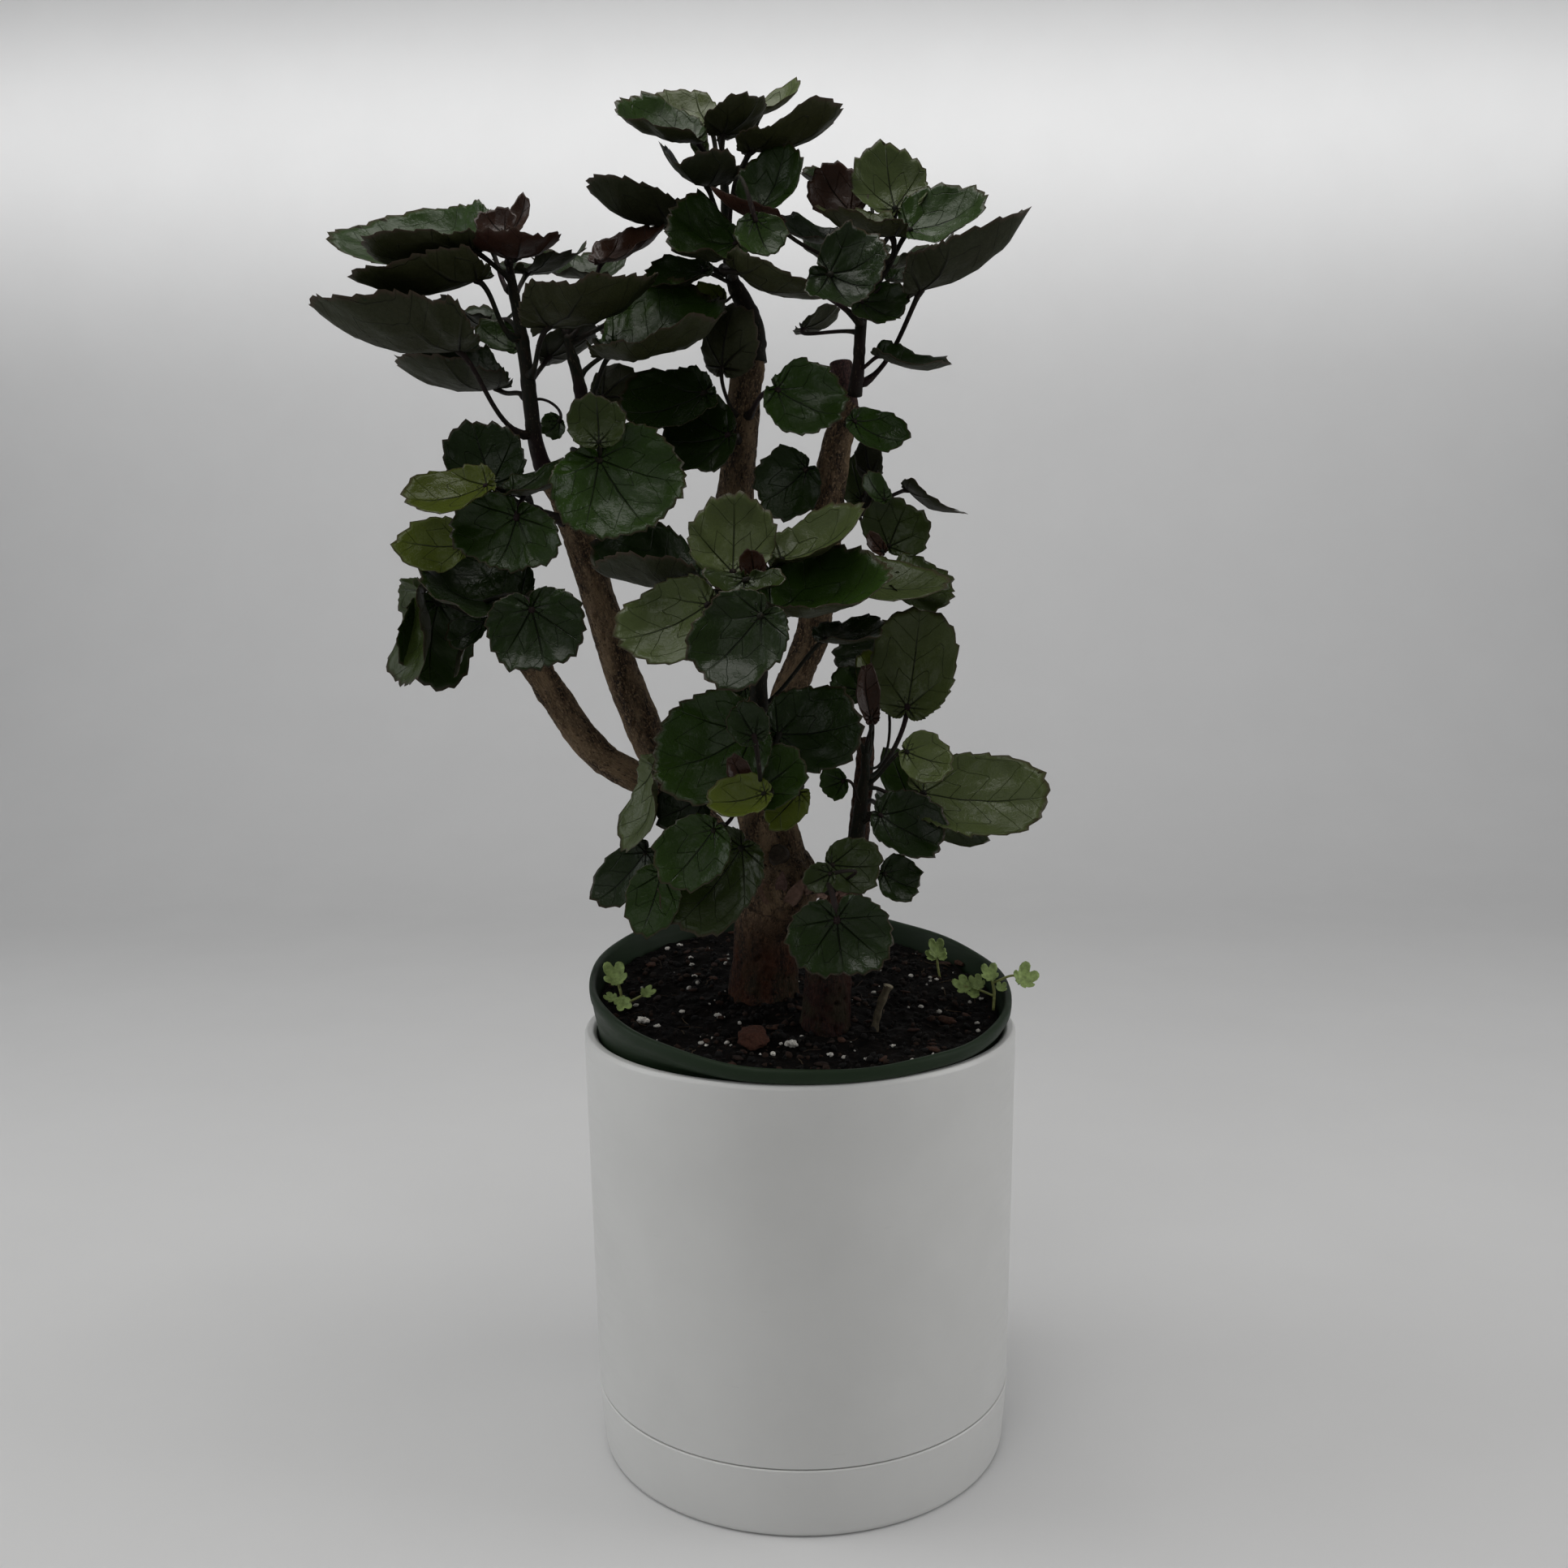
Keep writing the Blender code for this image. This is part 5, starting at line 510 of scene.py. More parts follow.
BENDS = [(0, 0, 0), (0, -9, 0), (0, 9, 0), (9, 0, 0), (-9, 0, 0), (0, 0, -9), (0, 0, 9), (0, -18, 0), (0, 18, 0), (16, -8, 0), (-16, -8, 0), (0, -10, -16), (0, -12, 16)]
TRIES = sorted((abs(k) * 2.5 + 0.3 * i, k * 2.5, bend) for k in range(-12, 13) for i, bend in enumerate(BENDS))


def settle(row):
    """Slides a leaf along its line of sight and bends its petiole until it is clear."""
    name, stem, own = row[0], row[1], row[10]
    home = stem if not own and stem in SHOOTS else name
    best = None
    for _, push, bend in TRIES:
        frame = leaf_frame(row, push, bend)
        verts, faces = leaf_solid(frame, BLADE_T + 0.9, PETIOLE_R + 0.35)
        box, tree = box_of(verts), tree_of(verts, faces)
        hard = soft = 0
        if len(placed) and (best is None or best[0][0] > 0 or best[0][1] > 0):
            plain_verts, plain_faces = leaf_solid(frame, BLADE_T, PETIOLE_R)
            plain = tree_of(plain_verts, plain_faces)
            hard += 2 * sum(1 for a, b in plain.overlap(plain) if a < b and not set(plain_faces[a]) & set(plain_faces[b]))
        for other, other_home, other_tree, other_box in placed:
            if other == home:
                continue
            if boxes_meet(box, other_box):
                found = len(tree.overlap(other_tree))
                if other_home == home:
                    soft += found
                else:
                    hard += found
        if best is None or (hard, soft) < best[0]:
            best = ((hard, soft), push, frame, tree, box)
        if hard == 0 and (soft == 0 or (abs(push) >= 12.5 and best[0][0] == 0)):
            break
    (hard, soft), push, frame, tree, box = best
    if not hard:
        placed.append((name, home, tree, box))
    return frame, hard, soft, push


def on_soil(u, v, lift=0.0):
    """The point of the mix's surface seen at u, v on the sheet."""
    low, high = -90.0, 90.0
    for _ in range(40):
        middle = (low + high) / 2
        p = at(u, v, middle)
        if p.z > soil_z(p.x, p.y):
            low = middle
        else:
            high = middle
    p = at(u, v, (low + high) / 2)
    return Vector((p.x, p.y, soil_z(p.x, p.y) + lift))


# ---------------------------------------------------------------- materials
def new_material(name):
    mat = bpy.data.materials.new(name)
    mat.use_nodes = True
    return mat, mat.node_tree, mat.node_tree.nodes["Principled BSDF"]


def node(tree, kind, **values):
    made = tree.nodes.new(kind)
    for key, value in values.items():
        if key.startswith("in_"):
            made.inputs[int(key[3:])].default_value = value
        else:
            setattr(made, key, value)
    return made


def math_node(tree, operation, a, b=None, clamp=False):
    made = tree.nodes.new("ShaderNodeMath")
    made.operation = operation
    made.use_clamp = clamp
    for i, value in enumerate((a, b)):
        if value is None:
            continue
        if isinstance(value, (int, float)):
            made.inputs[i].default_value = value
        else:
            tree.links.new(value, made.inputs[i])
    return made.outputs[0]


def attribute(tree, name, colour=False):
    made = tree.nodes.new("ShaderNodeAttribute")
    made.attribute_name = name
    return made.outputs["Color" if colour else "Fac"]


def mix(tree, factor, a, b, blend="MIX"):
    made = tree.nodes.new("ShaderNodeMix")
    made.data_type = "RGBA"
    made.blend_type = blend
    for socket, value in ((made.inputs[0], factor), (made.inputs[6], a), (made.inputs[7], b)):
        if isinstance(value, (int, float)):
            socket.default_value = value
        elif isinstance(value, tuple):
            socket.default_value = (*value, 1.0)
        else:
            tree.links.new(value, socket)
    return made.outputs[2]


def noise_of(tree, scale, detail=3.0, rough=0.55, vector=None, distort=0.0):
    made = node(tree, "ShaderNodeTexNoise")
    made.inputs["Scale"].default_value = scale
    made.inputs["Detail"].default_value = detail
    made.inputs["Roughness"].default_value = rough
    made.inputs["Distortion"].default_value = distort
    if vector is None:
        vector = tree.nodes.new("ShaderNodeTexCoord").outputs["Object"]
    tree.links.new(vector, made.inputs["Vector"])
    return made.outputs[0]


def ramp(tree, value, low, high, to_low=0.0, to_high=1.0):
    made = tree.nodes.new("ShaderNodeMapRange")
    tree.links.new(value, made.inputs[0])
    for i, v in enumerate((low, high, to_low, to_high)):
        made.inputs[i + 1].default_value = v
    return made.outputs[0]


def bump(tree, height, strength, distance, normal=None):
    made = tree.nodes.new("ShaderNodeBump")
    made.inputs["Strength"].default_value = strength
    made.inputs["Distance"].default_value = distance
    tree.links.new(height, made.inputs["Height"])
    if normal is not None:
        tree.links.new(normal, made.inputs["Normal"])
    return made.outputs[0]


def bark_vector(tree, stretch):
    made = tree.nodes.new("ShaderNodeCombineXYZ")
    tree.links.new(attribute(tree, "bx"), made.inputs[0])
    tree.links.new(attribute(tree, "by"), made.inputs[1])
    tree.links.new(math_node(tree, "MULTIPLY", attribute(tree, "bz"), stretch), made.inputs[2])
    return made.outputs[0]


def leaf_material(name, under):
    mat, tree, shader = new_material(name)
    tone = attribute(tree, "undertone" if under else "tone", True)
    seed = attribute(tree, "seed")
    vx, va, rim = attribute(tree, "vx"), attribute(tree, "va"), attribute(tree, "rim")
    main = ramp(tree, vx, 0.06, 0.62 if under else 0.36, 1.0, 0.0)
    main = math_node(tree, "MULTIPLY", main, ramp(tree, rim, 0.55, 0.97, 1.0, 0.15))
    wander = math_node(tree, "MULTIPLY", noise_of(tree, 130.0, 2.0), 2.6)
    side = math_node(tree, "ADD", math_node(tree, "SUBTRACT", va, math_node(tree, "MULTIPLY", vx, 0.9)), wander)
    wave = math_node(tree, "ABSOLUTE", math_node(tree, "SUBTRACT", math_node(tree, "FRACT", math_node(tree, "DIVIDE", side, 7.5)), 0.5))
    second = ramp(tree, wave, 0.006, 0.028, 1.0, 0.0)
    cells = node(tree, "ShaderNodeTexVoronoi")
    cells.feature = "DISTANCE_TO_EDGE"
    cells.inputs["Scale"].default_value = 620.0
    tree.links.new(tree.nodes.new("ShaderNodeTexCoord").outputs["Object"], cells.inputs["Vector"])
    net = ramp(tree, cells.outputs[0], 0.0, 0.16, 1.0, 0.0)
    veins = math_node(tree, "MAXIMUM", main, math_node(tree, "MULTIPLY", second, 0.55))
    veins = math_node(tree, "MAXIMUM", veins, math_node(tree, "MULTIPLY", net, 0.22))
    blotch = noise_of(tree, 55.0, 4.0)
    fine = noise_of(tree, 900.0, 2.0)
    colour = mix(tree, ramp(tree, blotch, 0.35, 0.7, 0.0, 0.55), tone, mix(tree, 1.0, tone, (0.60, 0.62, 0.45) if not under else (0.72, 0.6, 0.5), "MULTIPLY"))
    colour = mix(tree, math_node(tree, "MULTIPLY", seed, 0.35), colour, mix(tree, 1.0, colour, (1.5, 1.35, 1.0), "MULTIPLY"))
    if under:
        colour = mix(tree, math_node(tree, "MULTIPLY", veins, 0.92), colour, mix(tree, 1.0, colour, (0.16, 0.10, 0.12), "MULTIPLY"))
    else:
        colour = mix(tree, math_node(tree, "MULTIPLY", main, 0.85), colour, (0.0035, 0.0035, 0.0025))
        colour = mix(tree, math_node(tree, "MULTIPLY", math_node(tree, "MULTIPLY", second, ramp(tree, rim, 0.2, 0.9, 0.9, 0.3)), 0.95), colour, mix(tree, 1.0, colour, (0.22, 0.20, 0.20), "MULTIPLY"))
    colour = mix(tree, ramp(tree, rim, 0.955, 0.995, 0.0, 0.75), colour, (0.050, 0.032, 0.022))
    tree.links.new(colour, shader.inputs["Base Color"])
    shade = math_node(tree, "ADD", ramp(tree, blotch, 0.3, 0.75, 0.44 if under else 0.20, 0.62 if under else 0.40), math_node(tree, "MULTIPLY", fine, 0.05))
    tree.links.new(shade, shader.inputs["Roughness"])
    shader.inputs["Specular IOR Level"].default_value = 0.14 if under else 0.19
    height = math_node(tree, "MULTIPLY", math_node(tree, "MAXIMUM", main, math_node(tree, "MULTIPLY", second, 0.55)), 1.0 if under else -1.0)
    height = math_node(tree, "ADD", height, math_node(tree, "MULTIPLY", noise_of(tree, 160.0, 2.0), 1.0))
    height = math_node(tree, "ADD", height, math_node(tree, "MULTIPLY", net, -0.06))
    tree.links.new(bump(tree, height, 0.8 if under else 0.7, 0.0008), shader.inputs["Normal"])
    return mat


def stem_material():
    mat, tree, shader = new_material("green_stem")
    vector = bark_vector(tree, 0.35)
    streak = noise_of(tree, 0.9, 4.0, 0.6, vector)
    dots = noise_of(tree, 1.9, 1.0, 0.4, vector)
    colour = mix(tree, ramp(tree, streak, 0.35, 0.68), (0.0045, 0.0075, 0.0038), (0.018, 0.014, 0.009))
    colour = mix(tree, ramp(tree, noise_of(tree, 38.0, 2.0), 0.45, 0.7), colour, (0.016, 0.007, 0.009))
    colour = mix(tree, ramp(tree, dots, 0.66, 0.72, 0.0, 0.7), colour, (0.060, 0.048, 0.030))
    tree.links.new(colour, shader.inputs["Base Color"])
    tree.links.new(ramp(tree, streak, 0.3, 0.7, 0.55, 0.75), shader.inputs["Roughness"])
    shader.inputs["Specular IOR Level"].default_value = 0.12
    tree.links.new(bump(tree, streak, 0.5, 0.0004), shader.inputs["Normal"])
    return mat


def bark_material(name, dark, mid, light):
    mat, tree, shader = new_material(name)
    fissure = noise_of(tree, 1.5, 6.0, 0.70, bark_vector(tree, 0.30), 0.6)
    broad = noise_of(tree, 0.16, 3.0, 0.5, bark_vector(tree, 0.3))
    pits = noise_of(tree, 0.8, 2.0, 0.4, bark_vector(tree, 0.9))
    grain = noise_of(tree, 700.0, 3.0)
    colour = mix(tree, ramp(tree, fissure, 0.44, 0.56), dark, mid)
    colour = mix(tree, ramp(tree, broad, 0.42, 0.66, 0.0, 0.8), colour, light)
    colour = mix(tree, ramp(tree, fissure, 0.30, 0.42, 0.85, 0.0), colour, (0.022, 0.014, 0.010))
    colour = mix(tree, ramp(tree, pits, 0.66, 0.72, 0.0, 0.8), colour, (0.028, 0.018, 0.012))
    specks = noise_of(tree, 1.25, 2.0, 0.5, bark_vector(tree, 0.7))
    colour = mix(tree, ramp(tree, specks, 0.56, 0.63, 0.0, 0.8), colour, light)
    colour = mix(tree, math_node(tree, "MULTIPLY", grain, 0.35), colour, mix(tree, 1.0, colour, (1.5, 1.45, 1.35), "MULTIPLY"))
    split = node(tree, "ShaderNodeSeparateXYZ")
    tree.links.new(tree.nodes.new("ShaderNodeTexCoord").outputs["Object"], split.inputs[0])
    colour = mix(tree, ramp(tree, split.outputs[2], 0.200, 0.226, 0.95, 0.0), colour, mix(tree, 1.0, colour, (0.30, 0.115, 0.06), "MULTIPLY"))
    moss = math_node(tree, "MULTIPLY", ramp(tree, split.outputs[2], 0.180, 0.215, 0.75, 0.0), ramp(tree, noise_of(tree, 85.0, 4.0), 0.46, 0.60))
    colour = mix(tree, moss, colour, (0.030, 0.026, 0.008))
    tree.links.new(colour, shader.inputs["Base Color"])
    tree.links.new(ramp(tree, fissure, 0.3, 0.7, 0.92, 0.68), shader.inputs["Roughness"])
    shader.inputs["Specular IOR Level"].default_value = 0.3
    height = math_node(tree, "ADD", fissure, math_node(tree, "MULTIPLY", grain, 0.15))
    height = math_node(tree, "SUBTRACT", height, ramp(tree, pits, 0.64, 0.72, 0.0, 0.5))
    tree.links.new(bump(tree, height, 1.0, 0.0024), shader.inputs["Normal"])
    return mat


def toned_material(name, rough, scale, strength, distance):
    mat, tree, shader = new_material(name)
    tone = attribute(tree, "tone", True)
    grain = noise_of(tree, scale, 5.0, 0.65)
    colour = mix(tree, ramp(tree, grain, 0.3, 0.7), mix(tree, 1.0, tone, (0.5, 0.48, 0.45), "MULTIPLY"), mix(tree, 1.0, tone, (1.35, 1.3, 1.25), "MULTIPLY"))
    tree.links.new(colour, shader.inputs["Base Color"])
    tree.links.new(ramp(tree, grain, 0.3, 0.7, rough + 0.06, rough - 0.08), shader.inputs["Roughness"])
    shader.inputs["Specular IOR Level"].default_value = 0.3
    tree.links.new(bump(tree, grain, strength, distance), shader.inputs["Normal"])
    return mat


def soil_material():
    mat, tree, shader = new_material("potting_mix_surface")
    clumps = noise_of(tree, 260.0, 6.0, 0.7)
    broad = noise_of(tree, 45.0, 3.0)
    cells = node(tree, "ShaderNodeTexVoronoi")
    cells.inputs["Scale"].default_value = 520.0
    tree.links.new(tree.nodes.new("ShaderNodeTexCoord").outputs["Object"], cells.inputs["Vector"])
    colour = mix(tree, ramp(tree, clumps, 0.38, 0.66), (0.0008, 0.0006, 0.0005), (0.0050, 0.0032, 0.0022))
    colour = mix(tree, ramp(tree, cells.outputs[0], 0.0, 0.2, 0.5, 0.0), colour, (0.010, 0.006, 0.004))
    colour = mix(tree, ramp(tree, broad, 0.45, 0.7, 0.0, 0.5), colour, (0.003, 0.0022, 0.0017))
    tree.links.new(colour, shader.inputs["Base Color"])
    tree.links.new(ramp(tree, clumps, 0.3, 0.7, 0.96, 0.72), shader.inputs["Roughness"])
    shader.inputs["Specular IOR Level"].default_value = 0.10
    tree.links.new(bump(tree, clumps, 1.0, 0.0016), shader.inputs["Normal"])
    return mat


def plastic_material(name, colour, darker, rough, specular, speck):
    mat, tree, shader = new_material(name)
    broad = noise_of(tree, 14.0, 4.0, 0.6)
    mottle = noise_of(tree, 420.0, 3.0, 0.6)
    coords = tree.nodes.new("ShaderNodeTexCoord").outputs["Object"]
    squash_z = tree.nodes.new("ShaderNodeMapping")
    squash_z.inputs["Scale"].default_value = (1.0, 1.0, 9.0)
    tree.links.new(coords, squash_z.inputs["Vector"])
    scuffs = noise_of(tree, 46.0, 6.0, 0.7, squash_z.outputs[0])
    shade = mix(tree, ramp(tree, broad, 0.35, 0.7, 0.0, 1.0), colour, darker)
    shade = mix(tree, ramp(tree, scuffs, 0.66, 0.78, 0.0, 0.30), shade, speck)
    tree.links.new(shade, shader.inputs["Base Color"])
    tree.links.new(math_node(tree, "ADD", ramp(tree, scuffs, 0.35, 0.75, rough - 0.05, rough + 0.12), math_node(tree, "MULTIPLY", mottle, 0.05)), shader.inputs["Roughness"])
    shader.inputs["Specular IOR Level"].default_value = specular
    height = math_node(tree, "ADD", math_node(tree, "MULTIPLY", mottle, 0.25), math_node(tree, "MULTIPLY", scuffs, 0.5))
    tree.links.new(bump(tree, height, 0.22, 0.0003), shader.inputs["Normal"])
    return mat


LEAF_TOP = leaf_material("leaf_top", False)
LEAF_UNDER = leaf_material("leaf_underside", True)
STEM = stem_material()
BARK_BROWN = bark_material("bark_brown", (0.014, 0.008, 0.004), (0.120, 0.072, 0.036), (0.290, 0.200, 0.115))
BARK_RED = bark_material("bark_red", (0.024, 0.010, 0.006), (0.085, 0.036, 0.020), (0.130, 0.070, 0.040))
PURPLE_BARK = bark_material("bark_purple", (0.020, 0.010, 0.010), (0.070, 0.026, 0.024), (0.110, 0.055, 0.045))
WHITE = plastic_material("white_satin_plastic", (0.70, 0.70, 0.685), (0.65, 0.65, 0.635), 0.34, 0.5, (0.50, 0.50, 0.48))
POT_GREEN = plastic_material("grower_pot_green", (0.016, 0.030, 0.014), (0.010, 0.020, 0.009), 0.50, 0.16, (0.055, 0.068, 0.045))
SOIL = soil_material()
CRUMB = toned_material("mix_crumbs", 0.9, 900.0, 0.9, 0.0008)
PERLITE = toned_material("perlite", 0.85, 1400.0, 0.8, 0.0005)
HUSK = toned_material("dry_husk", 0.8, 500.0, 0.7, 0.0006)

# ---------------------------------------------------------------- building pieces
def piece(name, verts, faces, materials, slots=None, attrs=None, colours=None, replaced=(), flat=False):
    """A visual piece in metres from mm points, with its attributes, riding on the root."""
    mesh = bpy.data.meshes.new(name)
    co = np.asarray([tuple(v) for v in verts], dtype=np.float64).reshape(-1, 3) * MM
    mesh.from_pydata(co.tolist(), [], [tuple(int(i) for i in f) for f in faces])
    mesh.update()
    for mat in materials:
        mesh.materials.append(mat)
    if slots is not None:
        mesh.polygons.foreach_set("material_index", np.asarray(slots, dtype=np.int32))
    for key, values in (attrs or {}).items():
        layer = mesh.attributes.new(key, "FLOAT", "POINT")
        layer.data.foreach_set("value", np.asarray(values, dtype=np.float32))
    for key, values in (colours or {}).items():
        layer = mesh.attributes.new(key, "FLOAT_COLOR", "POINT")
        layer.data.foreach_set("color", np.asarray(values, dtype=np.float32).reshape(-1))
    if not flat:
        mesh.shade_smooth()
    obj = bpy.data.objects.new(name, mesh)
    bpy.context.scene.collection.objects.link(obj)
    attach(obj, "root")
    if replaced:
        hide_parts(*replaced)
    return obj


class Heap:
    """Points, faces, slots and attributes gathered for one piece."""

    KEYS = ("vx", "va", "rim", "seed", "bx", "by", "bz")

    def __init__(self):
        self.verts, self.faces, self.slots = [], [], []
        self.attrs = {k: [] for k in self.KEYS}
        self.tone, self.undertone = [], []

    def add(self, verts, faces, slots, tone=(0.02, 0.03, 0.015), under=(0.04, 0.04, 0.025), **attrs):
        start, count = len(self.verts), len(verts)
        self.verts += [tuple(v) for v in verts]
        self.faces += [tuple(i + start for i in f) for f in faces]
        self.slots += list(slots) if hasattr(slots, "__len__") else [slots] * len(faces)
        for key in self.KEYS:
            values = attrs.get(key, 0.0)
            self.attrs[key] += list(values) if hasattr(values, "__len__") else [values] * count
        self.tone += [(*tone, 1.0)] * count
        self.undertone += [(*under, 1.0)] * count

    def make(self, name, materials, replaced=(), finish="leaf", flat=False):
        return piece(name, self.verts, self.faces, materials, self.slots, self.attrs, {"tone": self.tone, "undertone": self.undertone}, replaced, flat)


def fine_tube(points, radii, sides, swell=None, round_end=True):
    """A smooth tube with bark coordinates; its far end is rounded."""
    points, radii = list(points), list(radii)
    if round_end:
        out = (points[-1] - points[-2]).normalized()
        end, r = points[-1], radii[-1]
        points += [end + out * r * 0.45, end + out * r * 0.75]
        radii += [r * 0.8, r * 0.35]
    verts, faces = tube(points, radii, sides, swell)
    run, total = [0.0], 0.0
    for a, b in zip(points, points[1:]):
        total += (b - a).length
        run.append(total)
    bx, by, bz = [], [], []
    for k in range(len(points)):
        for i in range(sides):
            angle = 2 * math.pi * i / sides
            bx.append(math.cos(angle) * radii[k])
            by.append(math.sin(angle) * radii[k])
            bz.append(run[k])
    return verts, faces, bx, by, bz


# colours of the upper and lower sides by kind of leaf; the dark kind d is the leaf's own dark green with painted shade
# on its upper side
LOOKS = {
    # d: upper side darkened as painted shade for leaves that sit in shade, on top of their own dark green
    "d": ((0.010, 0.021, 0.0036), (0.020, 0.024, 0.011)),
    "g": ((0.017, 0.037, 0.0055), (0.024, 0.029, 0.012)),
    "o": ((0.026, 0.040, 0.009), (0.024, 0.028, 0.011)),
    "p": ((0.063, 0.084, 0.029), (0.044, 0.050, 0.020)),
    "y": ((0.066, 0.088, 0.012), (0.070, 0.080, 0.018)),
    "m": ((0.034, 0.015, 0.009), (0.040, 0.017, 0.012)),
    "s": ((0.250, 0.350, 0.120), (0.250, 0.350, 0.120)),
}
MAIN_VEINS = [math.radians(a) for a in (0, 42, -42, 88, -88, 138, -138)]


def fine_blade(heap, frame, kind, seed, notch=None, thin=0.42, coarse=False, slim=1.0):
    """A round, toothed, veined blade with real thickness, laid out round the petiole's end."""
    base, along, across, normal, length, width, cup, lobe = frame[:8]
    width *= slim
    rings = 8 if coarse else 13
    back, half = max(lobe, 0.13) * length, width * 0.53
    middle, semi = (length - back) / 2, (length + back) / 2
    teeth = 4 if coarse else max(9, int(round((length + width) * 0.25)))
    rnd = random.Random(seed)
    phase, wob, lean = rnd.random() * 6.28, 0.7 + 0.6 * rnd.random(), rnd.uniform(-0.05, 0.05)
    tilt = rnd.uniform(-0.045, 0.045)
    curl = 0.062
    blunt = 2.45 if kind in "od" else 2.12
    # a leaf seen from beneath lies flatter, as a shallow boat
    sight = (EYE - base).normalized()
    facing = normal.dot(sight)
    if facing < -0.30 and not coarse:
        best = min((math.radians(a) for a in range(-18, 19, 2)), key=lambda a: abs(-0.30 - (Matrix.Rotation(a, 3, along) @ normal).dot(sight)) + 0.02 * abs(a))
        turn = Matrix.Rotation(best, 3, along)
        normal, across = turn @ normal, turn @ across
        half *= 0.84
        width *= 0.84
    verts, vx, va, rims = [], [], [], []

    def reach(theta):
        c, s = math.cos(theta), math.sin(theta)
        low, r = 0.0, 2.0 * (length + width)
        for _ in range(22):
            trial = (low + r) / 2
            if abs((trial * c - middle) / semi) ** blunt + abs(trial * s / half) ** blunt < 1.0:
                low = trial
            else:
                r = trial
        off = math.pi - abs(theta)
        deep = notch if notch is not None else (0.86 if lobe >= 0.15 else 0.74)
        r *= 1.0 - deep * math.exp(-((off / 0.26) ** 2))
        r *= 1.0 + 0.030 * math.sin(3 * theta + phase) * wob + 0.018 * math.sin(7 * theta + 2 * phase) + lean * s
        saw = (abs(theta) * teeth / math.pi) % 1.0
        if coarse:
            return r * (0.72 + 0.34 * math.sin(math.pi * saw) ** 0.6)
        tooth = saw / 0.30 if saw < 0.30 else (1.0 - saw) / 0.70
        return r * (0.968 + min(1.9 / r, 0.085) * tooth * (0.70 + 0.30 * math.sin(13 * theta + phase)) * min(off / 0.7, 1.0))

    # three spokes a tooth: valley, point and the long slope back to the next valley; six along a rounded tooth on a
    # coarse blade
    bites = (0.0, 0.16, 0.30, 0.5, 0.68, 0.85) if coarse else (0.0, 0.2999, 0.64)
    half_turn = [math.pi * (k + f) / teeth for k in range(teeth) for f in bites]
    angles = [-math.pi] + [-t for t in reversed(half_turn) if t > 0] + half_turn
    spokes = len(angles)
    outline = [reach(t) for t in angles]

    def height(x, y, rim, theta):
        e = min(abs(y) / half, 1.15)
        s = min(max(x / length, 0.0), 1.0)
        z = cup * half * e ** 1.7 * 0.72 - 0.10 * length * 4 * s * (1 - s)
        roll = rim ** 3.0
        z += width * roll * (curl + 0.034 * math.sin(4 * theta + phase) * wob + 0.022 * math.sin(9 * theta + 2.3 * phase) + 0.010 * math.sin(17 * theta + phase))
        z += tilt * y * rim
        near = min(abs((theta - a + math.pi) % (2 * math.pi) - math.pi) for a in MAIN_VEINS)
        z += (0.024 if facing < -0.1 else 0.013) * width * (min(near / 0.24, 1.0) ** 0.8 - 0.5) * math.sin(math.pi * min(rim, 1.0)) ** 0.8
        z += 0.032 * width * noise.noise(Vector((x * 0.13, y * 0.13, phase * 9.0))) * min(rim * 3.0, 1.0)
        z += 0.012 * width * noise.noise(Vector((x * 0.45, y * 0.45, phase * 5.0))) * min(rim * 3.0, 1.0)
        return z

    for sign in (1, -1):
        for j in range(rings + 1):
            for i in range(spokes):
                if j == 0 and i > 0:
                    continue
                theta = angles[i]
                rim = j / rings
                r = outline[i] * rim
                x, y = r * math.cos(theta), r * math.sin(theta)
                z = height(x, y, rim, theta)
                lift = sign * thin * (0.5 if j < rings else 0.12)
                verts.append(base + along * x + across * y + normal * (z + lift))
                diff = min((abs((theta - a + math.pi) % (2 * math.pi) - math.pi) for a in MAIN_VEINS))
                vx.append(r * math.sin(min(diff, 1.5)))
                va.append(r * math.cos(min(diff, 1.5)))
                rims.append(rim)
    per = 1 + rings * spokes
    faces, slots = [], []

    def index(side, j, i):
        return side * per + (0 if j == 0 else 1 + (j - 1) * spokes + i % spokes)

    # across is normal x along, so theta turns anticlockwise seen from above
    for side in (0, 1):
        for j in range(rings):
            for i in range(spokes):
                if j == 0:
                    quad = (index(side, 0, 0), index(side, 1, i), index(side, 1, i + 1))
                else:
                    quad = (index(side, j, i), index(side, j + 1, i), index(side, j + 1, i + 1), index(side, j, i + 1))
                faces.append(quad if side == 0 else tuple(reversed(quad)))
                slots.append(side)
    for i in range(spokes):
        faces.append((index(0, rings, i), index(1, rings, i), index(1, rings, i + 1), index(0, rings, i + 1)))
        slots.append(1)
    top, under = LOOKS[kind]
    shift = 0.82 + 0.4 * rnd.random()
    top = tuple(c * shift for c in top)
    under = tuple(c * shift for c in under)
    heap.add(verts, faces, slots, top, under, vx=vx, va=va, rim=rims, seed=rnd.random())


def fine_petiole(heap, frame, stalk, tone, from_axis):
    """The leaf stalk: clasping at its foot, thin in the middle, a little swollen at the blade."""
    base, along, across, normal = frame[:4]
    root, p1, p2 = frame[8:11]
    joint = from_axis
    first = root + (joint - root) * 0.8
    points, radii = [first], [stalk * 1.9]
    for k in range(17):
        t = k / 16
        points.append(root * (1 - t) ** 3 + p1 * 3 * t * (1 - t) ** 2 + p2 * 3 * t * t * (1 - t) + base * t ** 3)
        radii.append(stalk * (1.0 + 0.75 * math.exp(-((t / 0.09) ** 2)) + 0.25 * math.exp(-(((1 - t) / 0.08) ** 2)) - 0.12 * math.sin(math.pi * t)))
    points[-1] = base + along * 0.6 - normal * 0.1
    verts, faces, bx, by, bz = fine_tube(points, radii, 12)
    heap.add(verts, faces, 2, tone, tone, bx=bx, by=by, bz=bz)


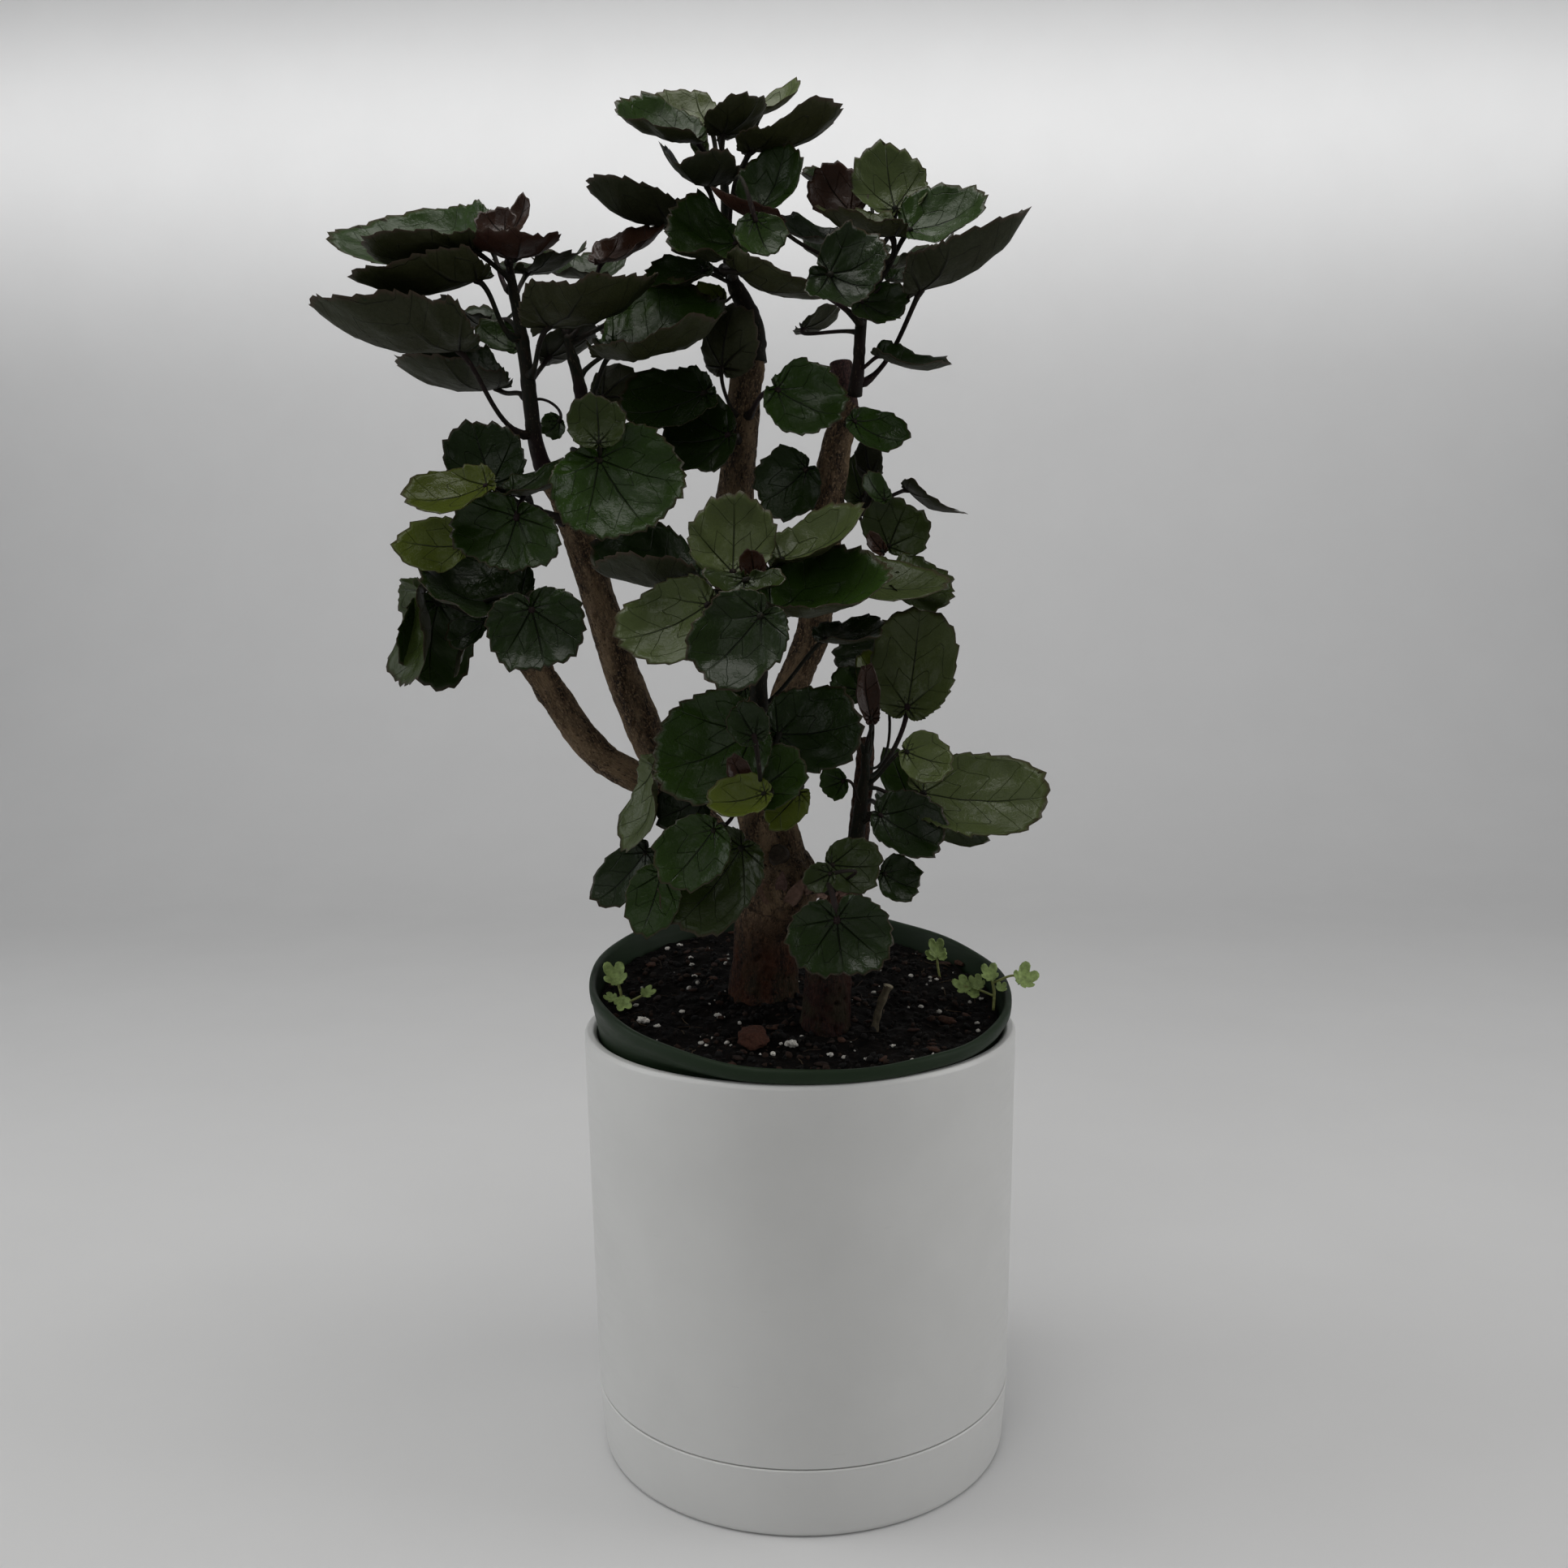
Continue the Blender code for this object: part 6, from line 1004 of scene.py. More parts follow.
RETONED = {"right_low_1": "p", "right_low_2": "p", "front_low_3": "d", "left_crown_1": "g", "centre_crown_1": "g", "left_inner_1": "g"}
SLIM = {"right_crown_6": 0.74, "left_crown_9": 0.78, "left_crown_3": 0.86, "centre_crown_13": 0.82}
ARMATURE = (LEAF_TOP, LEAF_UNDER, STEM)
heaps = {name: Heap() for name in SHOOTS}
shown = 0
for number, row in enumerate(LEAVES):
    name, stem, own, kind, (ju, jv) = row[0], row[1], row[10], row[9], row[8]
    frame_of, hard, soft, push = settle(row)
    if hard:
        continue
    shown += 1
    joint, ahead, radius = stem_point(stem, ju, jv)
    separate = own or stem not in SHOOTS
    heap = Heap() if separate else heaps[stem]
    stalk = 0.62 if row[4] < 14 else (0.82 if row[4] < 27 else 1.05)
    fine_petiole(heap, frame_of, stalk, (0.02, 0.02, 0.01), joint)
    fine_blade(heap, frame_of, RETONED.get(name, kind), 100 + number, slim=SLIM.get(name, 1.0))
    if separate:
        heap.make("seen_leaf_" + name, ARMATURE, ("leaf_" + name,), "leaf")

for name, rows in SHOOTS.items():
    heap = heaps[name]
    path = smooth_path(rows, 8)
    points, radii = [at(*p[:3]) for p in path], [p[3] for p in path]
    back = (points[0] - points[2]).normalized()
    points = [points[0] + back * 4.5, points[0] + back * 2.0] + points
    radii = [radii[0] * 1.15, radii[0] * 1.08] + radii

    def ringed(k, angle):
        scar = 0.13 * math.exp(-(((k % 9) - 4.5) / 0.8) ** 2)
        return 1.0 + scar + 0.04 * math.sin(2 * angle + 0.5 * k)

    verts, faces, bx, by, bz = fine_tube(points, radii, 18, ringed)
    heap.add(verts, faces, 2, bx=bx, by=by, bz=bz)
    # the growing tip: a folded spear of new leaves in its sheath
    tip, out = points[-1], (points[-1] - points[-3]).normalized()
    for k in range(2):
        lean = out + Vector((0.35 * (1 - 2 * k), 0.2, 0.1))
        verts, faces, bx, by, bz = fine_tube([tip - out * 1.0, tip + lean * 2.2, tip + lean * 4.6], [1.1, 0.85, 0.35], 10)
        heap.add(verts, faces, 2, bx=bx, by=by, bz=bz)
    heap.make("seen_shoot_" + name, ARMATURE, ("shoot_" + name,), "shoot")

# ---------------------------------------------------------------- woody canes
def woody(name, tables, base, material, replaced, finish, extras=(), voxel=0.85):
    """Canes joined by a remesh, smoothed in their forks, then given fissures, rings and pits."""
    verts, faces, lines = [], [], []
    sx, sy, sr = base

    def take(points, radii, sides=22):
        nonlocal verts, faces
        tube_verts, tube_faces = tube(points, radii, sides)
        start = len(verts)
        verts += tube_verts
        faces += [tuple(i + start for i in f) for f in tube_faces]
        lines.append((points, radii))

    first = True
    for rows in tables:
        path = smooth_path(rows, 6)
        points, radii = [at(*p[:3]) for p in path], [p[3] for p in path]
        if first:
            foot = Vector((sx, sy, rim_z(sx, sy, SOIL_BELOW_RIM)))
            lead = points[0]
            start_points = [foot - Vector((0, 0, 7.0)), foot - Vector((0, 0, 2.0)), foot.lerp(lead, 0.35), foot.lerp(lead, 0.7)]
            points = start_points + points
            radii = [sr * 1.12, sr * 1.10, sr * 1.02, (sr + radii[0]) / 2] + radii
            first = False
        take(points, radii)
    for centre, size in extras:
        ball = []
        ball_faces = []
        for j in range(9):
            lat = -math.pi / 2 + math.pi * j / 8
            for i in range(14):
                lon = 2 * math.pi * i / 14
                p = Vector((math.cos(lat) * math.cos(lon), math.cos(lat) * math.sin(lon), math.sin(lat)))
                p = p * size * (1.0 + 0.22 * noise.noise(p * 1.7 + centre * 0.05))
                ball.append(centre + p)
        for j in range(8):
            for i in range(14):
                ball_faces.append((j * 14 + i, j * 14 + (i + 1) % 14, (j + 1) * 14 + (i + 1) % 14, (j + 1) * 14 + i))
        start = len(verts)
        verts += ball
        faces += [tuple(i + start for i in f) for f in ball_faces]
    mesh = bpy.data.meshes.new(name + "_rough")
    mesh.from_pydata([tuple(c * MM for c in p) for p in verts], [], faces)
    obj = bpy.data.objects.new(name + "_rough", mesh)
    bpy.context.scene.collection.objects.link(obj)
    remesh = obj.modifiers.new("one_skin", "REMESH")
    remesh.mode = "VOXEL"
    remesh.voxel_size = voxel * MM
    smooth = obj.modifiers.new("soften", "SMOOTH")
    smooth.factor = 0.6
    smooth.iterations = 6
    bpy.context.view_layer.update()
    done = bpy.data.meshes.new_from_object(obj.evaluated_get(bpy.context.evaluated_depsgraph_get()))
    bpy.data.objects.remove(obj, do_unlink=True)
    count = len(done.vertices)
    co = np.zeros(count * 3)
    no = np.zeros(count * 3)
    done.vertices.foreach_get("co", co)
    done.vertices.foreach_get("normal", no)
    co, no = co.reshape(-1, 3) / MM, no.reshape(-1, 3)
    marks = []
    for n, (points, radii) in enumerate(lines):
        side = (points[1] - points[0]).orthogonal().normalized()
        run = 40.0 * n
        for k in range(len(points)):
            ahead = (points[min(k + 1, len(points) - 1)] - points[max(k - 1, 0)]).normalized()
            side = (side - ahead * side.dot(ahead)).normalized()
            if k:
                run += (points[k] - points[k - 1]).length
            marks.append((points[k], ahead, side, ahead.cross(side), run, radii[k]))
    tree = KDTree(len(marks))
    for k, mark in enumerate(marks):
        tree.insert(mark[0], k)
    tree.balance()
    bx, by, bz, moved = [], [], [], []
    for v, n in zip(co, no):
        v, n = Vector(v), Vector(n)
        _, k, _ = tree.find(v)
        point, ahead, side, other, run, radius = marks[k]
        offset = v - point
        ax, ay, az = offset.dot(side), offset.dot(other), run + offset.dot(ahead)
        bx.append(ax)
        by.append(ay)
        bz.append(az)
        crack = noise.noise(Vector((ax * 0.85, ay * 0.85, az * 0.28 + 3.1)))
        lump = noise.noise(Vector((ax * 0.16, ay * 0.16, az * 0.10)))
        pit = max(0.0, noise.noise(Vector((ax * 0.42 + 9, ay * 0.42, az * 0.36))) - 0.34)
        ring = math.exp(-(((az % 17.0) - 8.5) / 1.1) ** 2)
        moved.append(v + n * (0.32 * crack - 0.5 * max(0.0, -crack - 0.12) + 0.55 * lump - 2.6 * pit + 0.22 * ring))
    polygons = [tuple(p.vertices) for p in done.polygons]
    bpy.data.meshes.remove(done)
    heap = Heap()
    heap.add(moved, polygons, 0, bx=bx, by=by, bz=bz)
    return heap.make(name, (material,), replaced, finish)


knot = at(966, 1084, -24)
woody("seen_woody_canes", [WOOD_LEFT["trunk"]] + [WOOD_LEFT[k] for k in WOOD_LEFT if k not in ("trunk", "cut_stub")], STUMPS[0], BARK_BROWN,
      ("woody_trunk_and_canes",), "bark", [(knot, 10.5), (at(935, 1085, -12), 9.0)])
woody("seen_side_stump", [WOOD_RIGHT["stump"], WOOD_RIGHT["old_cane"]], STUMPS[1], BARK_RED, ("woody_side_stump",), "bark_red", voxel=0.7)

heap = Heap()
path = smooth_path(WOOD_LEFT["cut_stub"], 6)
verts, faces, bx, by, bz = fine_tube([at(*p[:3]) for p in path], [p[3] for p in path], 24, lambda k, a: 1.0 + 0.05 * math.sin(3 * a + k), round_end=False)
heap.add(verts, faces, 0, bx=bx, by=by, bz=bz)
heap.make("seen_cut_stub", (PURPLE_BARK,), (), "bark")

# dry husks and scars on the knot, and papery bracts where the low shoot leaves it
def husk(heap, foot, ahead, side, length, width, tone):
    """A thin curled flake of dry sheath."""
    verts, faces = [], []
    out = ahead.cross(side).normalized()
    rows_, cols = 7, 5
    for layer in (0.0, 0.35):
        for j in range(rows_):
            t = j / (rows_ - 1)
            span = width * math.sin(math.pi * min(0.15 + 0.85 * t, 1.0)) ** 0.6 * (1.0 - 0.75 * t * t) + 0.25
            for i in range(cols):
                e = i / (cols - 1) * 2 - 1
                verts.append(foot + ahead * length * t + side * span * e * 0.5 + out * (layer + 0.35 * span * e * e + 0.10 * length * t * t))
    n = rows_ * cols
    for j in range(rows_ - 1):
        for i in range(cols - 1):
            a = j * cols + i
            faces.append((a, a + 1, a + cols + 1, a + cols))
            faces.append((n + a, n + a + cols, n + a + cols + 1, n + a + 1))
    for j in range(rows_ - 1):
        for i in (0, cols - 1):
            a, b = j * cols + i, (j + 1) * cols + i
            faces.append((a, b, n + b, n + a) if i == 0 else (b, a, n + a, n + b))
    for i in range(cols - 1):
        for j in (0, rows_ - 1):
            a = j * cols + i
            faces.append((a + 1, a, n + a, n + a + 1) if j == 0 else (a, a + 1, n + a + 1, n + a))
    heap.add(verts, faces, 0, tone, tone)


heap = Heap()
rnd = random.Random(5)
for u, v, d, lean, length, width, tone in (
    (950, 1110, -27, (-0.45, -0.3, 0.9), 13, 6, (0.16, 0.10, 0.07)), (972, 1112, -33, (0.5, -0.3, 0.85), 14, 6, (0.13, 0.08, 0.06)),
    (962, 1095, -34, (0.1, -0.45, 0.9), 9, 5, (0.10, 0.06, 0.05)), (1012, 1106, -36, (0.25, -0.3, 0.95), 9, 4.5, (0.26, 0.17, 0.14)),
    (1024, 1102, -38, (0.6, -0.3, 0.8), 9, 4, (0.24, 0.15, 0.13)), (1034, 1100, -40, (0.8, -0.4, 0.5), 7, 3.5, (0.20, 0.12, 0.10)),
    (930, 1060, -30, (-0.5, -0.3, 0.8), 8, 4, (0.09, 0.06, 0.045)), (990, 1098, -34, (0.7, -0.4, 0.5), 8, 4, (0.14, 0.09, 0.07)),
):
    ahead = Vector(lean).normalized()
    side = ahead.cross(Vector((0, 1, 0))).normalized()
    husk(heap, at(u, v, d), ahead, side, length, width, tone)
heap.make("dry_husks", (HUSK,), (), "bark")


def cut_scar(u, v, d, facing, size, tone):
    """The flat, ringed face left by an old pruning cut."""
    heap = Heap()
    face_out = Vector(facing).normalized()
    side = face_out.orthogonal().normalized()
    other = face_out.cross(side)
    centre = at(u, v, d)
    rings_, verts, faces = 9, [], []
    for j in range(rings_):
        t = j / (rings_ - 1)
        for i in range(32):
            a = 2 * math.pi * i / 32
            r = size * t * (1.0 + 0.06 * math.sin(3 * a + 1.0))
            lift = 0.9 * t ** 6 + 0.12 * math.sin(t * 22.0) if j < rings_ - 1 else -2.4
            verts.append(centre + (side * math.cos(a) + other * math.sin(a)) * (r + (0.8 if j == rings_ - 1 else 0.0)) + face_out * lift)
    for j in range(rings_ - 1):
        for i in range(32):
            faces.append((j * 32 + i, j * 32 + (i + 1) % 32, (j + 1) * 32 + (i + 1) % 32, (j + 1) * 32 + i)[::-1])
    faces.append(tuple(reversed([(rings_ - 1) * 32 + i for i in range(32)])))
    heap.add(verts, faces, 0, tone, tone)
    return heap


scars = cut_scar(958, 1052, -31.5, (-0.15, -0.93, 0.35), 3.4, (0.045, 0.034, 0.024))
scars.make("cut_scar_knot", (HUSK,), (), "bark")
cut_scar(1036, 447, 8.2, (-0.1, 0.1, 1.0), 3.7, (0.14, 0.09, 0.06)).make("cut_scar_top", (HUSK,), (), "bark")

# ---------------------------------------------------------------- saucer and planter
def smooth_turned(name, profile, material, replaced, closed=False, sharp=(), segments=160):
    """A turned piece whose profile corners get small rounds."""
    rounded = []
    count = len(profile)
    for k, (r, z) in enumerate(profile):
        if not closed and k in (0, count - 1):
            rounded.append((r, z))
            continue
        pr, pz = profile[k - 1]
        nr, nz = profile[(k + 1) % count]
        la, lb = math.hypot(pr - r, pz - z), math.hypot(nr - r, nz - z)
        cut = min(0.55, la * 0.3, lb * 0.3)
        a = (r + (pr - r) / la * cut, z + (pz - z) / la * cut)
        b = (r + (nr - r) / lb * cut, z + (nz - z) / lb * cut)
        for t in (0.0, 0.33, 0.67, 1.0):
            rounded.append(tuple(a[i] * (1 - t) ** 2 + (r, z)[i] * 2 * t * (1 - t) + b[i] * t * t for i in range(2)))
    rings = [[(radius * math.cos(2 * math.pi * i / segments), radius * math.sin(2 * math.pi * i / segments), z) for i in range(segments)] for radius, z in rounded]
    verts, faces = ring_loft(rings, closed)
    return piece(name, verts, faces, (material,), replaced=replaced)


smooth_turned("seen_saucer", [
    (SAUCER_R_FOOT - 2.2, 0.0), (SAUCER_R_FOOT - 0.7, 0.5), (SAUCER_R_FOOT, 2.0),
    (SAUCER_R_RIM, SAUCER_H - 0.4), (SAUCER_R_RIM - 0.3, SAUCER_H), (SAUCER_R_RIM - SAUCER_WALL + 0.6, SAUCER_H),
    (SAUCER_R_RIM - SAUCER_WALL, SAUCER_H - 0.8), (SAUCER_R_FOOT - SAUCER_WALL + 1.2, SAUCER_FLOOR + 1.6), (SAUCER_R_FOOT - SAUCER_WALL - 0.6, SAUCER_FLOOR),
], WHITE, ("drainage_saucer",))
smooth_turned("seen_planter", [
    (DRAIN_HOLE_R, PLANTER_FOOT_Z), (PLANTER_FOOT_R - 3.0, PLANTER_FOOT_Z), (PLANTER_FOOT_R - 0.6, PLANTER_FOOT_Z + 0.6),
    (PLANTER_FOOT_R, PLANTER_SEAM_Z - 1.0), (PLANTER_FOOT_R + 0.4, PLANTER_SEAM_Z), (PLANTER_R_SEAM + 1.25, PLANTER_SEAM_Z),
    (PLANTER_R_SEAM + 1.5, PLANTER_SEAM_Z + 0.3), (PLANTER_R_RIM, PLANTER_H - 1.4), (PLANTER_R_RIM - 0.9, PLANTER_H),
    (PLANTER_R_INNER_RIM + 1.4, PLANTER_H), (PLANTER_R_INNER_RIM, PLANTER_H - 1.2),
    (PLANTER_R_INNER_LOW, PLANTER_SEAM_Z + 4.0), (PLANTER_FOOT_R - 4.4, PLANTER_FLOOR_Z), (DRAIN_HOLE_R, PLANTER_FLOOR_Z),
], WHITE, ("white_planter",), closed=True)

# ---------------------------------------------------------------- grower pot
def lerp_ring(a, b, t):
    return [tuple(p[i] * (1 - t) + q[i] * t for i in range(3)) for p, q in zip(a, b)]


def soft_rim(radius, below):
    """The rolled rim, a little wavy where the thin plastic has been squeezed."""
    ring = rim_ring(radius, below)
    out = []
    for i, (x, y, z) in enumerate(ring):
        a = 2 * math.pi * i / POT_SEGMENTS
        z += 0.35 * math.sin(5 * a + 1.1) + 0.25 * math.sin(11 * a)
        out.append((x, y, max(z, PLANTER_H + (0.3 if radius > POT_RIM_R - 1.8 else 1.0))))
    return out


outer = [level_ring(POT_BASE_R - 1.0, POT_BASE_Z, POT_BASE_SHIFT), level_ring(POT_BASE_R, POT_BASE_Z + 1.0, POT_BASE_SHIFT)]
waist = level_ring(POT_WAIST_R, PLANTER_H + 0.4)
low = outer[-1]
outer += [lerp_ring(low, waist, t) for t in (0.25, 0.5, 0.75, 1.0)]
collar = soft_rim(POT_RIM_R - 0.7, 5.6)
outer += [lerp_ring(waist, collar, t) for t in (0.35, 0.7)]
outer += [soft_rim(POT_RIM_R - 0.8, 5.0), soft_rim(POT_RIM_R - 0.2, 4.2), soft_rim(POT_RIM_R, 2.6), soft_rim(POT_RIM_R, 1.2), soft_rim(POT_RIM_R - 0.25, 0.4),
          soft_rim(POT_RIM_R - 0.8, 0.0), soft_rim(POT_RIM_R - 1.7, 0.0), soft_rim(POT_RIM_R - 2.3, 0.4), soft_rim(POT_RIM_R - 2.8, 1.6), soft_rim(POT_RIM_R - 3.2, 4.0), soft_rim(POT_RIM_R - 3.9, 7.0)]
outer += [level_ring(POT_WAIST_R - 1.9, PLANTER_H - 2.4), level_ring(POT_BASE_R - 1.8, POT_BASE_Z + 2.0, POT_BASE_SHIFT)]
verts, faces = ring_loft(outer)
piece("seen_grower_pot", verts, faces, (POT_GREEN,), replaced=("grower_pot",))

# ---------------------------------------------------------------- potting mix
def rough_z(x, y):
    z = soil_z(x, y)
    z += 1.3 * noise.noise(Vector((x * 0.07, y * 0.07, 4.0))) + 0.9 * noise.noise(Vector((x * 0.2, y * 0.2, 1.0))) + 0.55 * noise.noise(Vector((x * 0.55, y * 0.55, 7.0)))
    return z


heap = Heap()
verts, faces = [], []
SPOKES, RINGS = 260, 78
verts.append((0, -0.6, rough_z(0, -0.6)))
for j in range(1, RINGS + 1):
    for i in range(SPOKES):
        a = 2 * math.pi * i / SPOKES
        r = 79.2 * j / RINGS
        x, y = r * math.cos(a), -0.6 + r * math.sin(a)
        z = rough_z(x, y) - (1.4 * max(0.0, (r - 77.0) / 2.2))
        verts.append((x, y, z))
for j in range(RINGS):
    for i in range(SPOKES):
        if j == 0:
            faces.append((0, 1 + i, 1 + (i + 1) % SPOKES))
        else:
            a, b = 1 + (j - 1) * SPOKES, 1 + j * SPOKES
            faces.append((a + i, b + i, b + (i + 1) % SPOKES, a + (i + 1) % SPOKES))
start = len(verts)
lower = [(p[0], p[1], p[2]) for p in level_ring(POT_WAIST_R - 2.4, PLANTER_H - 2.8)]
base_ring = level_ring(POT_BASE_R - 2.4, POT_BASE_Z + 2.0 + GAP, POT_BASE_SHIFT)
for ring in (lower, base_ring):
    for i in range(SPOKES):
        a = i / SPOKES * POT_SEGMENTS
        k = int(a) % POT_SEGMENTS
        f = a - int(a)
        p, q = ring[k], ring[(k + 1) % POT_SEGMENTS]
        verts.append(tuple(p[c] * (1 - f) + q[c] * f for c in range(3)))
last = 1 + (RINGS - 1) * SPOKES
for a, b in ((last, start), (start, start + SPOKES)):
    for i in range(SPOKES):
        faces.append((a + i, b + i, b + (i + 1) % SPOKES, a + (i + 1) % SPOKES))
faces.append(tuple(reversed([start + SPOKES + i for i in range(SPOKES)])))
heap.add(verts, faces, 0)
heap.make("seen_potting_mix", (SOIL,), ("potting_mix",), "potting_mix")

ICO_V = []
phi = (1 + 5 ** 0.5) / 2
for a, b in ((-1, phi), (1, phi), (-1, -phi), (1, -phi)):
    ICO_V.append(Vector((a, b, 0)).normalized())
for a, b in ((-1, phi), (1, phi), (-1, -phi), (1, -phi)):
    ICO_V.append(Vector((0, a, b)).normalized())
for a, b in ((phi, -1), (phi, 1), (-phi, -1), (-phi, 1)):
    ICO_V.append(Vector((a, 0, b)).normalized())
ICO_F = [(0, 11, 5), (0, 5, 1), (0, 1, 7), (0, 7, 10), (0, 10, 11), (1, 5, 9), (5, 11, 4), (11, 10, 2), (10, 7, 6), (7, 1, 8),
         (3, 9, 4), (3, 4, 2), (3, 2, 6), (3, 6, 8), (3, 8, 9), (4, 9, 5), (2, 4, 11), (6, 2, 10), (8, 6, 7), (9, 8, 1)]


def finer(verts, faces):
    verts, cache, out = list(verts), {}, []

    def mid(a, b):
        key = (min(a, b), max(a, b))
        if key not in cache:
            verts.append(((verts[a] + verts[b]) / 2).normalized())
            cache[key] = len(verts) - 1
        return cache[key]

    for a, b, c in faces:
        ab, bc, ca = mid(a, b), mid(b, c), mid(c, a)
        out += [(a, ab, ca), (b, bc, ab), (c, ca, bc), (ab, bc, ca)]
    return verts, out


BALL1 = finer(ICO_V, ICO_F)
BALL2 = finer(*BALL1)


def pebble(heap, centre, size, rnd, tone, ball=BALL1, squeeze=(1, 1, 1), rough=0.35, turn=None):
    spin = turn or Matrix.Rotation(rnd.random() * 6.28, 3, "Z") @ Matrix.Rotation(rnd.random() * 3.0, 3, "X")
    seed = Vector((rnd.random() * 50, rnd.random() * 50, 0))
    verts = []
    for p in ball[0]:
        q = p * (1.0 + rough * noise.noise(p * 1.6 + seed) + rough * 0.5 * noise.noise(p * 4.0 + seed))
        verts.append(centre + spin @ Vector((q.x * squeeze[0], q.y * squeeze[1], q.z * squeeze[2])) * size)
    heap.add(verts, ball[1], 0, tone, tone)


rnd = random.Random(17)


def soil_spot(limit=76.0):
    while True:
        x, y = rnd.uniform(-80, 80), rnd.uniform(-80, 80)
        if math.hypot(x, y + 0.6) < limit:
            return x, y


heap = Heap()
for k in range(1900):
    x, y = soil_spot()
    size = rnd.choice((0.45, 0.6, 0.75, 0.9, 1.2, 1.7))
    tone = rnd.choice(((0.002, 0.0014, 0.001), (0.004, 0.0026, 0.0018), (0.009, 0.005, 0.003), (0.026, 0.013, 0.008), (0.003, 0.0022, 0.0018), (0.0015, 0.0012, 0.001)))
    pebble(heap, Vector((x, y, rough_z(x, y) + size * 0.25)), size, rnd, tone, (ICO_V, ICO_F), (1.0, rnd.uniform(0.5, 1.0), rnd.uniform(0.4, 0.9)), 0.5)
for k in range(70):
    x, y = soil_spot(74)
    size = rnd.uniform(1.6, 3.4)
    tone = rnd.choice(((0.030, 0.013, 0.008), (0.050, 0.022, 0.013), (0.016, 0.008, 0.005)))
    pebble(heap, Vector((x, y, rough_z(x, y) + 0.4)), size, rnd, tone, BALL1, (1.0, 0.55, 0.28), 0.35, Matrix.Rotation(rnd.random() * 6.28, 3, "Z") @ Matrix.Rotation(rnd.uniform(-0.4, 0.4), 3, "X"))
for u, v, size in ((1166, 1260, 4.6), (1119, 1160, 2.6), (1182, 1189, 3.4)):
    pebble(heap, on_soil(u, v, 0.8), size, rnd, (0.050, 0.022, 0.013), BALL2, (1.0, 0.5, 0.35), 0.35, Matrix.Rotation(rnd.random() * 3, 3, "Z"))
for k in range(85):
    x, y = soil_spot(73)
    a, length = rnd.random() * 6.28, rnd.uniform(4, 12)
    points = []
    for j in range(5):
        t = j / 4 - 0.5
        px, py = x + math.cos(a) * length * t + rnd.uniform(-0.5, 0.5), y + math.sin(a) * length * t + rnd.uniform(-0.5, 0.5)
        points.append(Vector((px, py, rough_z(px, py) + 0.35 + 0.8 * (0.25 - t * t))))
    verts, faces, bx, by, bz = fine_tube(points, [0.16, 0.2, 0.22, 0.2, 0.14], 6)
    tone = rnd.choice(((0.03, 0.019, 0.011), (0.06, 0.042, 0.024), (0.012, 0.008, 0.005)))
    heap.add(verts, faces, 0, tone, tone, bx=bx, by=by, bz=bz)
heap.make("mix_crumbs", (CRUMB,), (), "potting_mix")

heap = Heap()
PERLITE_SPOTS = [(806, 1163, 1.3), (830, 1162, 1.1), (787, 1157, 1.0), (851, 1182, 1.3), (852, 1190, 1.0), (791, 1260, 2.4), (783, 1240, 1.1), (810, 1266, 1.2),
                 (856, 1204, 1.0), (840, 1248, 1.1), (885, 1253, 1.3), (976, 1289, 2.3), (1024, 1301, 1.2), (1069, 1307, 1.1), (1045, 1235, 1.6), (998, 1257, 1.0),
                 (1012, 1262, 1.5), (1030, 1262, 1.3), (1154, 1208, 1.0), (1204, 1262, 1.1), (1209, 1232, 1.0), (947, 1236, 0.9), (1100, 1290, 0.9), (870, 1290, 0.9)]
for u, v, size in PERLITE_SPOTS:
    shade = rnd.uniform(0.62, 0.85)
    heart = on_soil(u, v, size * 0.45)
    reach_out = math.hypot(heart.x, heart.y + 0.6)
    if reach_out > 73:
        heart.x, heart.y = heart.x * 73 / reach_out, (heart.y + 0.6) * 73 / reach_out - 0.6
        heart.z = rough_z(heart.x, heart.y) + size * 0.45
    pebble(heap, heart, size * 0.8, rnd, (shade, shade, shade * 0.96), BALL2, (1, rnd.uniform(0.7, 1), rnd.uniform(0.6, 0.9)), 0.5)
    for k in range(4):
        turn = rnd.random() * 6.28
        near = heart + Vector((math.cos(turn), math.sin(turn) * 0.7, rnd.uniform(-0.2, 0.35))) * size * rnd.uniform(0.6, 1.1)
        pebble(heap, near, size * rnd.uniform(0.3, 0.6), rnd, (shade, shade, shade * 0.96), BALL1, (1, 0.85, 0.75), 0.5)
for k in range(95):
    x, y = soil_spot(74)
    size = rnd.choice((0.35, 0.45, 0.6, 0.8, 1.1))
    shade = rnd.uniform(0.45, 0.8)
    pebble(heap, Vector((x, y, rough_z(x, y) + size * 0.35)), size, rnd, (shade, shade, shade * 0.95), BALL1, (1, rnd.uniform(0.7, 1), rnd.uniform(0.6, 0.9)), 0.35)
heap.make("perlite", (PERLITE,), (), "potting_mix")

heap = Heap()
pebble(heap, on_soil(928, 1287, 2.6), 7.8, rnd, (0.060, 0.021, 0.012), finer(*BALL2), (0.74, 0.72, 0.30), 0.26, Matrix.Rotation(0.35, 3, "Z") @ Matrix.Rotation(0.55, 3, "X"))
heap.make("seen_bark_chip", (CRUMB,), ("bark_chip",), "bark_chip")

